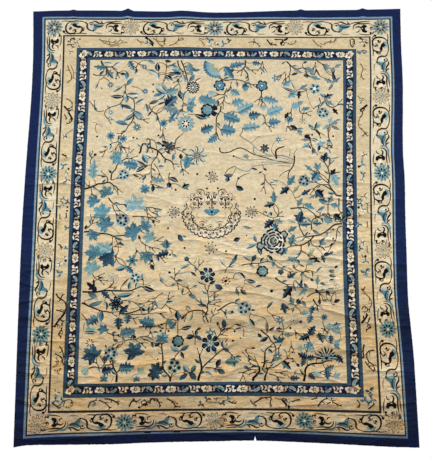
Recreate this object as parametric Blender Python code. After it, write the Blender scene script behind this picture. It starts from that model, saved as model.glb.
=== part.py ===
"""A room-sized carpet of knotted wool pile with Chinese borders, lying flat.

The carpet is knotted in one piece, so it is one solid: pile and foundation together, with its
four uneven edges, the small peaks of its far end, the tear in its near end and the low ripples
that cross its near half. Metres, +Z up, +Y towards the far end, the underside resting at z = 0.

A point of the carpet is named by u, its distance from the left edge, and v, its distance from
the near end, both measured on a perfect rectangle. The function lay turns u and v into the
place where the real, uneven carpet has that point.
"""

from math import cos, hypot, pi, sin

import bmesh
import bpy
from mathutils import Matrix

# Driving sizes, in metres
WIDTH = 2.740
LENGTH = 3.200
THICKNESS = 0.010
RIM_ROUNDING = 0.003
RIM_STEPS = 2

# How far in from an edge its unevenness has died away, and how quickly it does
EDGE_FADE = 0.52
EDGE_FADE_POWER = 1.2
PEAK_FADE = 0.11

# The side edges: distance from the near end, how far the edge lies to the right of true
LEFT_EDGE = (
    (0.000, 0.000),
    (0.500, -0.005),
    (1.007, -0.010),
    (1.629, -0.011),
    (2.109, 0.000),
    (2.494, 0.012),
    (2.848, 0.012),
    (3.200, -0.002),
)
RIGHT_EDGE = (
    (0.000, 0.000),
    (0.254, -0.005),
    (0.435, -0.008),
    (0.626, -0.013),
    (0.818, -0.024),
    (1.007, -0.034),
    (1.283, -0.032),
    (1.586, -0.029),
    (1.892, -0.022),
    (2.098, -0.026),
    (2.610, -0.006),
    (2.940, -0.006),
    (3.200, 0.000),
)

# The ends: distance from the left edge, how far the end lies beyond true, towards +Y
NEAR_END = (
    (0.000, 0.000),
    (0.095, 0.014),
    (0.384, 0.018),
    (0.676, 0.022),
    (0.937, 0.033),
    (1.373, 0.042),
    (1.623, 0.046),
    (2.019, 0.032),
    (2.298, 0.018),
    (2.554, 0.005),
    (2.740, 0.000),
)
FAR_END = (
    (0.000, 0.000),
    (0.200, 0.006),
    (0.579, 0.003),
    (0.752, -0.002),
    (0.992, -0.007),
    (1.117, -0.002),
    (1.303, -0.017),
    (1.477, -0.019),
    (1.679, -0.014),
    (1.906, -0.008),
    (2.414, -0.006),
    (2.740, 0.000),
)

# How sharp the far end's peaks are; 1 would be straight-sided
PEAK_SHARPNESS = 1.5

# Small peaks where the far end was pinned and pulled: distance from the left edge, height, width
PEAKS = (
    (0.301, 0.008, 0.070),
    (0.709, 0.022, 0.100),
    (1.999, 0.010, 0.080),
    (2.459, 0.013, 0.090),
)

# The tear in the near end: distance from the left edge, depth, width at its mouth
TEAR_U = 1.636
TEAR_DEPTH = 0.034
TEAR_WIDTH = 0.018

# The width and length of a three-sided prism whose corners lie at radius 1
PRISM_WIDTH = 3 ** 0.5
PRISM_LENGTH = 1.5

# How bluntly a ripple ends; 1 would be a half sine along its length
RIPPLE_END_POWER = 0.7

# Low ripples: from u, from v, to u, to v, sideways bow, width, height
RIPPLES = (
    (1.04, 0.915, 1.54, 0.855, -0.012, 0.090, 0.0045),
    (1.62, 0.855, 2.18, 0.845, 0.014, 0.090, 0.0055),
    (2.26, 0.795, 2.78, 0.830, -0.006, 0.090, 0.0040),
    (1.50, 1.110, 2.78, 1.125, -0.030, 0.100, 0.0055),
    (1.50, 1.165, 2.16, 1.195, 0.010, 0.090, 0.0040),
    (0.88, 0.735, 1.28, 0.690, 0.010, 0.090, 0.0040),
    (1.44, 0.695, 1.76, 0.745, 0.010, 0.090, 0.0035),
    (1.40, 0.470, 2.08, 0.450, 0.010, 0.080, 0.0035),
    (0.20, 0.240, 0.82, 0.225, 0.004, 0.080, 0.0030),
    (1.04, 0.215, 1.52, 0.200, 0.004, 0.080, 0.0025),
    (0.94, 1.110, 1.21, 0.990, 0.008, 0.090, 0.0035),
    (1.02, 1.640, 1.44, 1.720, 0.022, 0.090, 0.0035),
    (1.42, 1.510, 1.66, 1.670, 0.010, 0.090, 0.0030),
    (1.92, 2.035, 2.14, 2.075, 0.006, 0.080, 0.0025),
)

# Spacing of the rows and columns of faces, and the bands of v where the rows are fine
COARSE_STEP = 0.100
FINE_STEP = 0.032
FINE_ROWS = ((0.160, 0.290), (0.400, 1.260), (1.500, 1.760))
ROWS_IN_PEAK_FADE = 2
COLUMNS_PER_PEAK = 6
SHORTEST_LAST_STEP = 0.033
SAME_PLACE = 1e-6

# A face counts as part of the side wall when its normal leans up by less than this
WALL_NORMAL_Z = 0.5

# The carpet's ground colour, roughness and metallic value
WOOL_COLOR = (0.604, 0.491, 0.332, 1.0)
WOOL_ROUGHNESS = 0.92
WOOL_METALLIC = 0.0


def clear_scene():
    """Empty the scene of its objects."""
    for obj in list(bpy.data.objects):
        bpy.data.objects.remove(obj, do_unlink=True)


def new_collection(name):
    """Add a collection to the scene."""
    collection = bpy.data.collections.new(name)
    bpy.context.scene.collection.children.link(collection)
    return collection


def curve_at(points, s):
    """Height at s of the smooth curve through points of (distance, height)."""
    last = len(points) - 1
    s = min(max(s, points[0][0]), points[last][0])
    k = 0
    while k < last - 1 and s > points[k + 1][0]:
        k += 1
    (s0, h0), (s1, h1) = points[k], points[k + 1]
    before = points[max(k - 1, 0)]
    after = points[min(k + 2, last)]
    step = s1 - s0
    slope0 = (h1 - before[1]) / (s1 - before[0]) * step
    slope1 = (after[1] - h0) / (after[0] - s0) * step
    t = (s - s0) / step
    rise = t * t * (3 - 2 * t)
    return h0 + (h1 - h0) * rise + slope0 * t * (1 - t) ** 2 - slope1 * t * t * (1 - t)


def fade(distance, reach, power=1.0):
    """One at an edge, falling to nothing at the given reach from it."""
    return max(0.0, 1 - max(distance, 0.0) / reach) ** power


def peak_height(u):
    """How far the pinned peaks push out the far end at u."""
    total = 0.0
    for centre, height, width in PEAKS:
        off = abs(u - centre) / (width / 2)
        if off < 1:
            total += height * (1 - off) ** PEAK_SHARPNESS
    return total


def ripple_height(u, v):
    """How far the ripples lift the carpet at u and v."""
    total = 0.0
    for u0, v0, u1, v1, bow, width, height in RIPPLES:
        length = hypot(u1 - u0, v1 - v0)
        along_u, along_v = (u1 - u0) / length, (v1 - v0) / length
        t = ((u - u0) * along_u + (v - v0) * along_v) / length
        if not 0 < t < 1:
            continue
        side = (v - v0) * along_u - (u - u0) * along_v - bow * 4 * t * (1 - t)
        if abs(side) < width / 2:
            total += height * cos(pi * side / width) ** 2 * sin(pi * t) ** RIPPLE_END_POWER
    return total


def lay(u, v):
    """The place of a point of the true rectangle on the carpet as it lies."""
    left = curve_at(LEFT_EDGE, v) * fade(u, EDGE_FADE, EDGE_FADE_POWER)
    right = curve_at(RIGHT_EDGE, v) * fade(WIDTH - u, EDGE_FADE, EDGE_FADE_POWER)
    near = curve_at(NEAR_END, u) * fade(v, EDGE_FADE, EDGE_FADE_POWER)
    far = curve_at(FAR_END, u) * fade(LENGTH - v, EDGE_FADE, EDGE_FADE_POWER)
    peaks = peak_height(u) * fade(LENGTH - v, PEAK_FADE)
    return u + left + right, v + near + far + peaks, ripple_height(u, v)


def stations(length, fine_spans):
    """Positions from 0 to length: evenly coarse, and finer inside each span of (from, to, step)."""
    marks = [0.0]
    while marks[-1] < length:
        here = marks[-1]
        step = COARSE_STEP
        for start, end, fine_step in fine_spans:
            if start - COARSE_STEP < here < start - SAME_PLACE:
                step = min(step, start - here)
            if start - SAME_PLACE <= here < end:
                step = fine_step
        marks.append(here + step)
    if length - marks[-2] < SHORTEST_LAST_STEP:
        marks.pop(-2)
    marks[-1] = length
    return marks


def column_marks():
    """Positions of the grid's columns: coarse, with a few across each peak."""
    spans = []
    for centre, _, width in PEAKS:
        spans.append((centre - width / 2, centre + width / 2, width / COLUMNS_PER_PEAK))
    return stations(WIDTH, spans)


def row_marks():
    """Positions of the grid's rows: fine where the carpet ripples and at its far end."""
    spans = [(start, end, FINE_STEP) for start, end in FINE_ROWS]
    spans.append((LENGTH - PEAK_FADE, LENGTH, PEAK_FADE / ROWS_IN_PEAK_FADE))
    return stations(LENGTH, spans)


def make_wool():
    """Dense wool pile."""
    wool = bpy.data.materials.new("wool_pile")
    wool.use_nodes = True
    shader = wool.node_tree.nodes["Principled BSDF"]
    shader.inputs["Base Color"].default_value = WOOL_COLOR
    shader.inputs["Roughness"].default_value = WOOL_ROUGHNESS
    shader.inputs["Metallic"].default_value = WOOL_METALLIC
    return wool


def make_carpet(collection):
    """The knotted carpet: a grid laid to its uneven outline, thickened and rounded at the rim."""
    columns = column_marks()
    rows = row_marks()
    bm = bmesh.new()
    bmesh.ops.create_grid(
        bm, x_segments=len(columns) - 1, y_segments=len(rows) - 1, size=0.5
    )
    for vert in bm.verts:
        column = round((vert.co.x + 0.5) * (len(columns) - 1))
        row = round((vert.co.y + 0.5) * (len(rows) - 1))
        vert.co = lay(columns[column], rows[row])

    # Centre the outline on the origin
    low_x = min(vert.co.x for vert in bm.verts)
    high_x = max(vert.co.x for vert in bm.verts)
    low_y = min(vert.co.y for vert in bm.verts)
    high_y = max(vert.co.y for vert in bm.verts)
    centre = (-(low_x + high_x) / 2, -(low_y + high_y) / 2, 0)
    bmesh.ops.translate(bm, verts=bm.verts, vec=centre)

    # Thicken upwards, and turn the sheet that stays below to face the floor
    sheet = list(bm.faces)
    top = bmesh.ops.extrude_face_region(bm, geom=sheet, use_keep_orig=True)["geom"]
    raised = [item for item in top if isinstance(item, bmesh.types.BMVert)]
    bmesh.ops.translate(bm, verts=raised, vec=(0, 0, THICKNESS))
    bmesh.ops.recalc_face_normals(bm, faces=bm.faces)

    # Round the upper rim, where the pile turns down to the bound edge
    raised = set(raised)
    rim = []
    for edge in bm.edges:
        if all(vert in raised for vert in edge.verts):
            sideways = [face for face in edge.link_faces if abs(face.normal.z) < WALL_NORMAL_Z]
            if sideways:
                rim.append(edge)
    bmesh.ops.bevel(
        bm, geom=rim, offset=RIM_ROUNDING, segments=RIM_STEPS, profile=0.5, affect="EDGES"
    )

    mesh = bpy.data.meshes.new("rug")
    bm.to_mesh(mesh)
    bm.free()
    carpet = bpy.data.objects.new("rug", mesh)
    carpet.data.materials.append(make_wool())
    collection.objects.link(carpet)
    return carpet, centre


def cut_tear(carpet, centre, cutters):
    """Cut the small wedge-shaped tear in the near end."""
    mouth_x, mouth_y, _ = lay(TEAR_U, 0.0)
    # A three-sided prism of radius 1 points a corner towards +Y, which becomes the tear's tip.
    # The prism is twice as long and wide as the tear, and half of it lies off the carpet.
    bpy.ops.mesh.primitive_cylinder_add(vertices=3, radius=1.0, depth=1.0)
    cutter = bpy.context.object
    cutter.name = "tear_cutter"
    scale_x = 2 * TEAR_WIDTH / PRISM_WIDTH
    scale_y = 2 * TEAR_DEPTH / PRISM_LENGTH
    cutter.data.transform(Matrix.Diagonal((scale_x, scale_y, 4 * THICKNESS, 1.0)))
    cutter.location = (
        mouth_x + centre[0],
        mouth_y + centre[1] + TEAR_DEPTH - scale_y,
        THICKNESS / 2,
    )
    cutter.hide_render = True
    cutter.display_type = "WIRE"
    for holder in list(cutter.users_collection):
        holder.objects.unlink(cutter)
    cutters.objects.link(cutter)

    tear = carpet.modifiers.new("tear", "BOOLEAN")
    tear.operation = "DIFFERENCE"
    tear.solver = "EXACT"
    tear.object = cutter


def main():
    """Build the carpet."""
    clear_scene()
    parts = new_collection("rug")
    cutters = new_collection("cutters")
    carpet, centre = make_carpet(parts)
    cut_tear(carpet, centre, cutters)


main()
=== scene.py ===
"""The looks of a Chinese carpet of knotted wool pile that lies flat, with its floor and camera.

The pile's pattern is drawn as coloured outlines on a flat plan of the carpet, measured in
centimetres: u from the left edge, v from the near end. Later outlines cover earlier ones. The
finished drawing is cut into one sheet of triangles, coloured corner by corner, and laid down in
the place where the carpet's solid lies, edges, tear and ripples included.
"""

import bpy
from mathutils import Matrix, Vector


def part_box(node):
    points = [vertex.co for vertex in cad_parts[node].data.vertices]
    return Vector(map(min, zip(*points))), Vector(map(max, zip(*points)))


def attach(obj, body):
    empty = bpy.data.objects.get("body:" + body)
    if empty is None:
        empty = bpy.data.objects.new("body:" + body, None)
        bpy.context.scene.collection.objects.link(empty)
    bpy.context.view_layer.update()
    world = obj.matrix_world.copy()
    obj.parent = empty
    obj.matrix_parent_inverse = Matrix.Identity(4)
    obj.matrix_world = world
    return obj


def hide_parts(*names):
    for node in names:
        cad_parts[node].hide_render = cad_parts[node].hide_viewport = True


bl_info = {
    "name": "Chinese Carpet",
    "version": (1, 0, 0),
    "blender": (4, 5, 0),
    "location": "View3D > Sidebar > Carpet",
    "description": "Knotted wool carpet with scroll borders and a field of flowering sprays",
    "category": "Object",
}

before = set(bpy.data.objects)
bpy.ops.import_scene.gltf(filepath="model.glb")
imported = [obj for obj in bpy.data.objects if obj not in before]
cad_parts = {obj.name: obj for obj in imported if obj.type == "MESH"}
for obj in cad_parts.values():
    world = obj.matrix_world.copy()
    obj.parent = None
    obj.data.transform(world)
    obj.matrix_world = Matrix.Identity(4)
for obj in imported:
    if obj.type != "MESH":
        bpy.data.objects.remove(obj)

import random
from math import atan2, cos, hypot, pi, radians, sin, sqrt

import bpy
from bpy.props import FloatProperty, FloatVectorProperty, IntProperty, PointerProperty
from mathutils import Vector
from mathutils.geometry import delaunay_2d_cdt

CM = 0.01

# The flat carpet, in centimetres
WIDTH = 274.0
LENGTH = 320.0

# How far in from an edge its unevenness has died away, and how quickly it does
EDGE_FADE = 52.0
EDGE_FADE_POWER = 1.2
PEAK_FADE = 11.0
PEAK_SHARPNESS = 1.5

# The side edges: distance from the near end, how far the edge lies to the right of true
LEFT_EDGE = (
    (0, 0.0), (50, -0.5), (100.7, -1.0), (162.9, -1.1),
    (210.9, 0.0), (249.4, 1.2), (284.8, 1.2), (320, -0.2),
)
RIGHT_EDGE = (
    (0, 0.0), (25.4, -0.5), (43.5, -0.8), (62.6, -1.3), (81.8, -2.4), (100.7, -3.4), (128.3, -3.2),
    (158.6, -2.9), (189.2, -2.2), (209.8, -2.6), (261, -0.6), (294, -0.6), (320, 0.0),
)

# The ends: distance from the left edge, how far the end lies beyond true, away from the camera
NEAR_END = (
    (0, 0.0), (9.5, 1.4), (38.4, 1.8), (67.6, 2.2), (93.7, 3.3), (137.3, 4.2),
    (162.3, 4.6), (201.9, 3.2), (229.8, 1.8), (255.4, 0.5), (274, 0.0),
)
FAR_END = (
    (0, 0.0), (20, 0.6), (57.9, 0.3), (75.2, -0.2), (99.2, -0.7), (111.7, -0.2), (130.3, -1.7),
    (147.7, -1.9), (167.9, -1.4), (190.6, -0.8), (241.4, -0.6), (274, 0.0),
)

# Small peaks of the far end: distance from the left edge, height, width
PEAKS = ((30.1, 0.8, 7.0), (70.9, 2.2, 10.0), (199.9, 1.0, 8.0), (245.9, 1.3, 9.0))

# The tear in the near end: distance from the left edge, depth, width at its mouth
TEAR_U = 163.6
TEAR_DEPTH = 3.4
TEAR_WIDTH = 1.8

# Low ripples: from u, from v, to u, to v, sideways bow, width, height
RIPPLE_END_POWER = 0.7
RIPPLES = (
    (104, 91.5, 154, 85.5, -1.2, 9, 0.45),
    (162, 85.5, 218, 84.5, 1.4, 9, 0.55),
    (226, 79.5, 278, 83.0, -0.6, 9, 0.40),
    (150, 111.0, 278, 112.5, -3.0, 10, 0.55),
    (150, 116.5, 216, 119.5, 1.0, 9, 0.40),
    (88, 73.5, 128, 69.0, 1.0, 9, 0.40),
    (144, 69.5, 176, 74.5, 1.0, 9, 0.35),
    (140, 47.0, 208, 45.0, 1.0, 8, 0.35),
    (20, 24.0, 82, 22.5, 0.4, 8, 0.30),
    (104, 21.5, 152, 20.0, 0.4, 8, 0.25),
    (94, 111.0, 121, 99.0, 0.8, 9, 0.35),
    (102, 164.0, 144, 172.0, 2.2, 9, 0.35),
    (142, 151.0, 166, 167.0, 1.0, 9, 0.30),
    (192, 203.5, 214, 207.5, 0.6, 8, 0.25),
)

# Where the bands part, by side. Each row: place along the side, then the distances from the
# left edge or the near end of the plain edge, pale line, dark line, middle line, middle line's
# far side, guard, guard's inner ground, guard's inner line, field
BAND_LINES = {
    "left": (
        (10, 6.4, 7.9, 9.0, 22.5, 23.8, 32.2, 34.6, 40.2, 42.5),
        (80, 7.0, 8.4, 9.5, 22.9, 24.2, 32.6, 35.0, 40.2, 42.5),
        (120, 7.8, 9.1, 10.1, 23.1, 24.4, 33.0, 35.3, 40.6, 42.9),
        (160, 7.8, 9.1, 10.2, 23.1, 24.4, 32.9, 35.2, 40.6, 42.9),
        (200, 7.3, 8.6, 9.6, 22.7, 23.9, 32.9, 35.2, 40.9, 43.2),
        (240, 7.0, 8.3, 9.3, 22.7, 24.0, 33.2, 35.5, 41.4, 43.6),
        (310, 7.0, 8.3, 9.4, 22.6, 23.9, 33.2, 35.6, 41.6, 43.6),
    ),
    "right": (
        (10, 266.5, 265.4, 264.6, 249.6, 248.2, 237.9, 235.6, 229.6, 226.8),
        (40, 266.3, 265.0, 264.1, 249.4, 247.9, 237.9, 235.6, 229.4, 226.6),
        (80, 266.0, 264.9, 263.9, 249.1, 247.7, 237.6, 235.2, 229.2, 226.4),
        (120, 265.8, 264.6, 263.5, 248.6, 247.2, 237.3, 235.0, 228.9, 226.1),
        (160, 266.4, 265.2, 264.1, 248.9, 247.5, 237.7, 235.4, 229.3, 226.7),
        (200, 266.9, 265.7, 264.6, 249.4, 248.2, 238.3, 236.0, 230.4, 228.1),
        (240, 267.5, 266.3, 265.3, 250.4, 249.2, 239.1, 236.8, 231.5, 229.4),
        (280, 267.8, 266.7, 265.6, 251.3, 250.1, 240.3, 238.0, 232.3, 230.2),
        (310, 267.8, 266.6, 265.5, 251.4, 250.2, 240.6, 238.4, 232.4, 230.2),
    ),
    "near": (
        (10, 4.9, 6.3, 7.4, 22.0, 23.5, 32.6, 35.0, 40.6, 42.5),
        (40, 5.9, 7.4, 8.5, 22.1, 23.8, 32.6, 35.2, 40.6, 42.6),
        (70, 6.3, 7.7, 8.7, 22.4, 24.0, 32.9, 35.4, 40.8, 42.8),
        (100, 6.3, 7.5, 8.5, 22.5, 24.2, 33.0, 35.5, 41.2, 43.2),
        (137, 6.4, 7.7, 8.7, 22.4, 24.1, 33.1, 35.6, 41.6, 43.6),
        (170, 6.3, 7.4, 8.2, 22.4, 24.1, 33.0, 35.5, 41.6, 43.7),
        (205, 6.1, 7.4, 8.3, 22.3, 24.0, 32.9, 35.4, 41.0, 43.0),
        (235, 6.0, 7.4, 8.4, 22.3, 24.0, 33.0, 35.5, 40.9, 42.9),
        (265, 5.9, 7.3, 8.4, 22.3, 24.0, 33.4, 35.7, 40.9, 43.0),
    ),
    "far": (
        (10, 315.1, 313.8, 312.7, 300.3, 299.1, 290.3, 288.0, 282.4, 280.5),
        (40, 314.6, 313.5, 312.4, 300.2, 299.1, 290.2, 287.9, 282.5, 280.5),
        (60, 314.7, 313.5, 312.3, 299.9, 298.8, 290.1, 287.8, 282.5, 280.6),
        (100, 314.9, 313.7, 312.5, 299.9, 298.9, 290.6, 288.2, 282.9, 281.0),
        (137, 315.3, 314.2, 312.9, 300.0, 299.1, 290.3, 287.9, 282.7, 280.8),
        (170, 315.0, 313.8, 312.6, 299.1, 298.2, 289.6, 287.3, 282.4, 280.5),
        (205, 313.9, 312.7, 311.7, 298.2, 297.2, 289.0, 286.8, 281.0, 279.2),
        (235, 313.9, 312.5, 311.5, 298.1, 297.2, 288.2, 286.2, 280.9, 279.1),
        (265, 313.8, 312.4, 311.4, 298.2, 297.2, 288.2, 286.2, 280.8, 279.0),
    ),
}
EDGE_LINE, PALE_LINE, MAIN, MIDDLE_LINE, SECOND, GUARD, GUARD_GROUND, GUARD_LINE, FIELD = range(9)


def from_srgb(red, green, blue):
    """A screen colour of 0 to 255 a channel as linear light."""
    linear = []
    for value in (red, green, blue):
        value /= 255
        linear.append(value / 12.92 if value <= 0.04045 else ((value + 0.055) / 1.055) ** 2.4)
    return tuple(linear)


def curve_at(points, s, column=1):
    """Value at s of the smooth curve through rows of (distance, values...)."""
    last = len(points) - 1
    s = min(max(s, points[0][0]), points[last][0])
    k = 0
    while k < last - 1 and s > points[k + 1][0]:
        k += 1
    s0, s1 = points[k][0], points[k + 1][0]
    h0, h1 = points[k][column], points[k + 1][column]
    before = points[max(k - 1, 0)]
    after = points[min(k + 2, last)]
    step = s1 - s0
    slope0 = (h1 - before[column]) / (s1 - before[0]) * step
    slope1 = (after[column] - h0) / (after[0] - s0) * step
    t = (s - s0) / step
    rise = t * t * (3 - 2 * t)
    return h0 + (h1 - h0) * rise + slope0 * t * (1 - t) ** 2 - slope1 * t * t * (1 - t)


def fade(distance, reach, power=1.0):
    """One at an edge, falling to nothing at the given reach from it."""
    return max(0.0, 1 - max(distance, 0.0) / reach) ** power


def peak_height(u):
    """How far the small peaks push out the far end at u."""
    total = 0.0
    for centre, height, width in PEAKS:
        off = abs(u - centre) / (width / 2)
        if off < 1:
            total += height * (1 - off) ** PEAK_SHARPNESS
    return total


def ripple_height(u, v):
    """How far the ripples lift the carpet at u and v."""
    total = 0.0
    for u0, v0, u1, v1, bow, width, height in RIPPLES:
        length = hypot(u1 - u0, v1 - v0)
        along_u, along_v = (u1 - u0) / length, (v1 - v0) / length
        t = ((u - u0) * along_u + (v - v0) * along_v) / length
        if not 0 < t < 1:
            continue
        side = (v - v0) * along_u - (u - u0) * along_v - bow * 4 * t * (1 - t)
        if abs(side) < width / 2:
            total += height * cos(pi * side / width) ** 2 * sin(pi * t) ** RIPPLE_END_POWER
    return total


def lay(u, v):
    """Where a point of the flat plan lies on the real, uneven carpet, in centimetres."""
    left = curve_at(LEFT_EDGE, v) * fade(u, EDGE_FADE, EDGE_FADE_POWER)
    right = curve_at(RIGHT_EDGE, v) * fade(WIDTH - u, EDGE_FADE, EDGE_FADE_POWER)
    near = curve_at(NEAR_END, u) * fade(v, EDGE_FADE, EDGE_FADE_POWER)
    far = curve_at(FAR_END, u) * fade(LENGTH - v, EDGE_FADE, EDGE_FADE_POWER)
    peaks = peak_height(u) * fade(LENGTH - v, PEAK_FADE)
    return u + left + right, v + near + far + peaks, ripple_height(u, v)


# How far apart a band outline's points are, on the plain sides and on the far end with its peaks
BAND_STEP = 9.0
PEAK_STEP = 1.8


def band_line(side, line, along):
    """Distance of a band's line from the left edge or the near end, at a place along a side."""
    return curve_at(BAND_LINES[side], along, 1 + line)


def band_corner(line, across, end):
    """The corner of a band's line: across is left or right, end is near or far."""
    u = band_line(across, line, 0 if end == "near" else LENGTH)
    v = band_line(end, line, u)
    return band_line(across, line, v), v


def band_outline(line):
    """The closed outline of everything inside a band's line, with the sides' gentle sway."""
    corners = {}
    for across in ("left", "right"):
        for end in ("near", "far"):
            corners[across, end] = band_corner(line, across, end)
    outline = []
    for side, start, stop in (
        ("near", ("left", "near"), ("right", "near")),
        ("right", ("right", "near"), ("right", "far")),
        ("far", ("right", "far"), ("left", "far")),
        ("left", ("left", "far"), ("left", "near")),
    ):
        axis = 0 if side in ("near", "far") else 1
        a, b = corners[start][axis], corners[stop][axis]
        count = max(2, round(abs(b - a) / (BAND_STEP if side != "far" else PEAK_STEP)))
        outline.append(corners[start])
        for k in range(1, count):
            along = a + (b - a) * k / count
            level = band_line(side, line, along)
            outline.append((along, level) if axis == 0 else (level, along))
    return outline


class Drawing:
    """Coloured outlines on the carpet's plan; a later one covers an earlier one."""

    def __init__(self):
        self.shapes = []

    def fill(self, outline, yarn, other=None, start=None, stop=None):
        """Add an outline in one yarn, or shading from one yarn to another from start to stop."""
        if other is None:
            other, start, stop = yarn, (0, 0), (1, 0)
        self.shapes.append((outline, yarn, other, start, stop))


def place(points, at, angle, scale=1.0, flip=1):
    """Turn, scale and move local points; angle in degrees, flip is -1 to mirror across x."""
    turn_cos, turn_sin = cos(radians(angle)) * scale, sin(radians(angle)) * scale
    return [
        (at[0] + x * turn_cos - y * flip * turn_sin, at[1] + x * turn_sin + y * flip * turn_cos)
        for x, y in points
    ]


def smooth_path(points, step):
    """Points along a smooth curve through the given ones."""
    if len(points) == 2:
        return list(points)
    path = []
    last = len(points) - 1
    for k in range(last):
        before, a, b, after = points[max(k - 1, 0)], points[k], points[k + 1], points[min(k + 2, last)]
        count = max(1, round(hypot(b[0] - a[0], b[1] - a[1]) / step))
        for i in range(count):
            t = i / count
            path.append(tuple(
                0.5 * (2 * a[n] + (b[n] - before[n]) * t
                       + (2 * before[n] - 5 * a[n] + 4 * b[n] - after[n]) * t * t
                       + (3 * a[n] - before[n] - 3 * b[n] + after[n]) * t ** 3)
                for n in (0, 1)
            ))
    path.append(tuple(points[last]))
    return path


def ribbon(path, width_at):
    """The outline of a band of changing width along a path; width_at takes 0 to 1."""
    last = len(path) - 1
    left, right = [], []
    for k, (x, y) in enumerate(path):
        ahead, behind = path[min(k + 1, last)], path[max(k - 1, 0)]
        dx, dy = ahead[0] - behind[0], ahead[1] - behind[1]
        size = hypot(dx, dy) or 1.0
        half = width_at(k / last) / 2
        left.append((x - dy / size * half, y + dx / size * half))
        right.append((x + dy / size * half, y - dx / size * half))
    return left + right[::-1]


# How much wider the lines are knotted than the widths in the tables
BRUSH = 1.4
# How far apart the points of a stem and of a stroke are
STEM_STEP = 2.0
STROKE_STEP = 1.1


def stem(drawing, points, width, yarn="brown", tip=0.6):
    """A stem that thins towards its tip."""
    path = smooth_path(points, STEM_STEP)
    width *= BRUSH
    drawing.fill(ribbon(path, lambda t: width * (1 - t * (1 - tip))), yarn)


def stroke(drawing, points, width, yarn="brown"):
    """A brush-like stroke: thin at both ends and full in the middle."""
    path = smooth_path(points, STROKE_STEP)
    width *= BRUSH
    drawing.fill(ribbon(path, lambda t: width * (0.25 + 0.75 * sin(pi * t) ** 0.7)), yarn)


def arc(centre, radius, start, stop, steps):
    """Points along part of a circle; angles in degrees."""
    points = []
    for k in range(steps + 1):
        angle = radians(start + (stop - start) * k / steps)
        points.append((centre[0] + radius * cos(angle), centre[1] + radius * sin(angle)))
    return points


def dot(drawing, at, radius=0.6, yarn="black", sides=7):
    """A round dot."""
    drawing.fill(arc(at, radius, 0, 360 - 360 / sides, sides - 1), yarn)


# A curl winds this many degrees, in so many steps, and draws in by this share of its radius
CURL_WINDING = 400
CURL_STEPS = 9
CURL_DRAW_IN = 0.72


def curl(drawing, at, radius, angle, yarn, turn, width):
    """A small spiral that winds inwards to a dot; angle is where its outer end lies."""
    points = []
    for k in range(CURL_STEPS + 1):
        t = k / CURL_STEPS
        around = radians(angle + turn * CURL_WINDING * t)
        reach = radius * (1 - CURL_DRAW_IN * t)
        points.append((at[0] + reach * cos(around), at[1] + reach * sin(around)))
    drawing.fill(ribbon(points, lambda t: width * BRUSH * (0.6 + 0.4 * t)), yarn)
    dot(drawing, at, radius * 0.34, "black" if yarn != "tan" else "brown")


# One side of a lance leaf, large and small: place along it, reach to the side
LEAF_EDGE = ((0.0, 0.0), (0.12, 0.22), (0.3, 0.42), (0.5, 0.5), (0.7, 0.42), (0.87, 0.2), (1.0, 0.0))
SMALL_LEAF_EDGE = ((0.0, 0.0), (0.22, 0.34), (0.5, 0.5), (0.8, 0.28), (1.0, 0.0))
# From this length on a lance leaf has its full edge, and from the next a pale midrib
LONG_LEAF = 6
RIBBED_LEAF = 7
RIB_WIDTH = 0.30
LEAF_FULLNESS = 1.28
# The next lighter and the next darker yarn
LIGHTER = {
    "black": "indigo", "navy": "indigo", "indigo": "blue", "blue": "pale_blue", "teal": "pale_blue",
    "pale_blue": "cream", "grey": "cream", "green": "cream",
}
DARKER = {
    "cream": "teal", "green": "teal", "pale_blue": "blue", "teal": "indigo", "blue": "indigo",
    "indigo": "navy", "grey": "indigo",
}


def leaf(drawing, at, angle, length, colours, width, bend=0.12):
    """A lance leaf whose two halves are of two yarns, each shaded, with a pale midrib."""
    def edge(side):
        return [
            (x * length, (side * y * width * LEAF_FULLNESS + bend * 2 * x * (1 - x)) * length)
            for x, y in (LEAF_EDGE if length > LONG_LEAF else SMALL_LEAF_EDGE)
        ]

    rib = edge(0)
    ends = place([(0, 0), (length, 0)], at, angle)
    first, second = colours
    deep = "black" if first in ("navy", "black") else "navy"
    drawing.fill(place(edge(1) + rib[-2:0:-1], at, angle), deep, first, *ends)
    drawing.fill(place(edge(-1) + rib[-2:0:-1], at, angle), second, LIGHTER.get(second, second), *ends)
    if length > RIBBED_LEAF:
        pale = "cream" if first in ("navy", "black") else LIGHTER.get(second, "cream")
        drawing.fill(ribbon(place(rib[1:-1], at, angle), lambda t: RIB_WIDTH * (1 - 0.6 * t)), pale)


# One side of a broad toothed leaf: place along it, reach to the side as a share of half its width
LOBE_EDGES = {
    2: ((0.05, 0.30), (0.14, 0.74), (0.27, 0.46), (0.38, 1.10), (0.56, 0.42), (0.64, 0.40), (0.90, 0.10)),
    3: ((0.05, 0.34), (0.10, 1.02), (0.25, 0.46), (0.30, 1.16), (0.48, 0.42), (0.52, 0.86), (0.72, 0.34),
        (0.78, 0.26), (0.94, 0.08)),
    4: ((0.04, 0.30), (0.07, 0.94), (0.20, 0.52), (0.22, 0.84), (0.32, 0.40), (0.36, 1.16), (0.54, 0.44),
        (0.56, 0.88), (0.74, 0.34), (0.78, 0.38), (0.94, 0.08)),
}
# How far forward the lobes' tips sweep, and how wide the leaf is for its nominal width
LOBE_SWEEP = 0.11
LOBE_FULLNESS = 0.66


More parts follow.
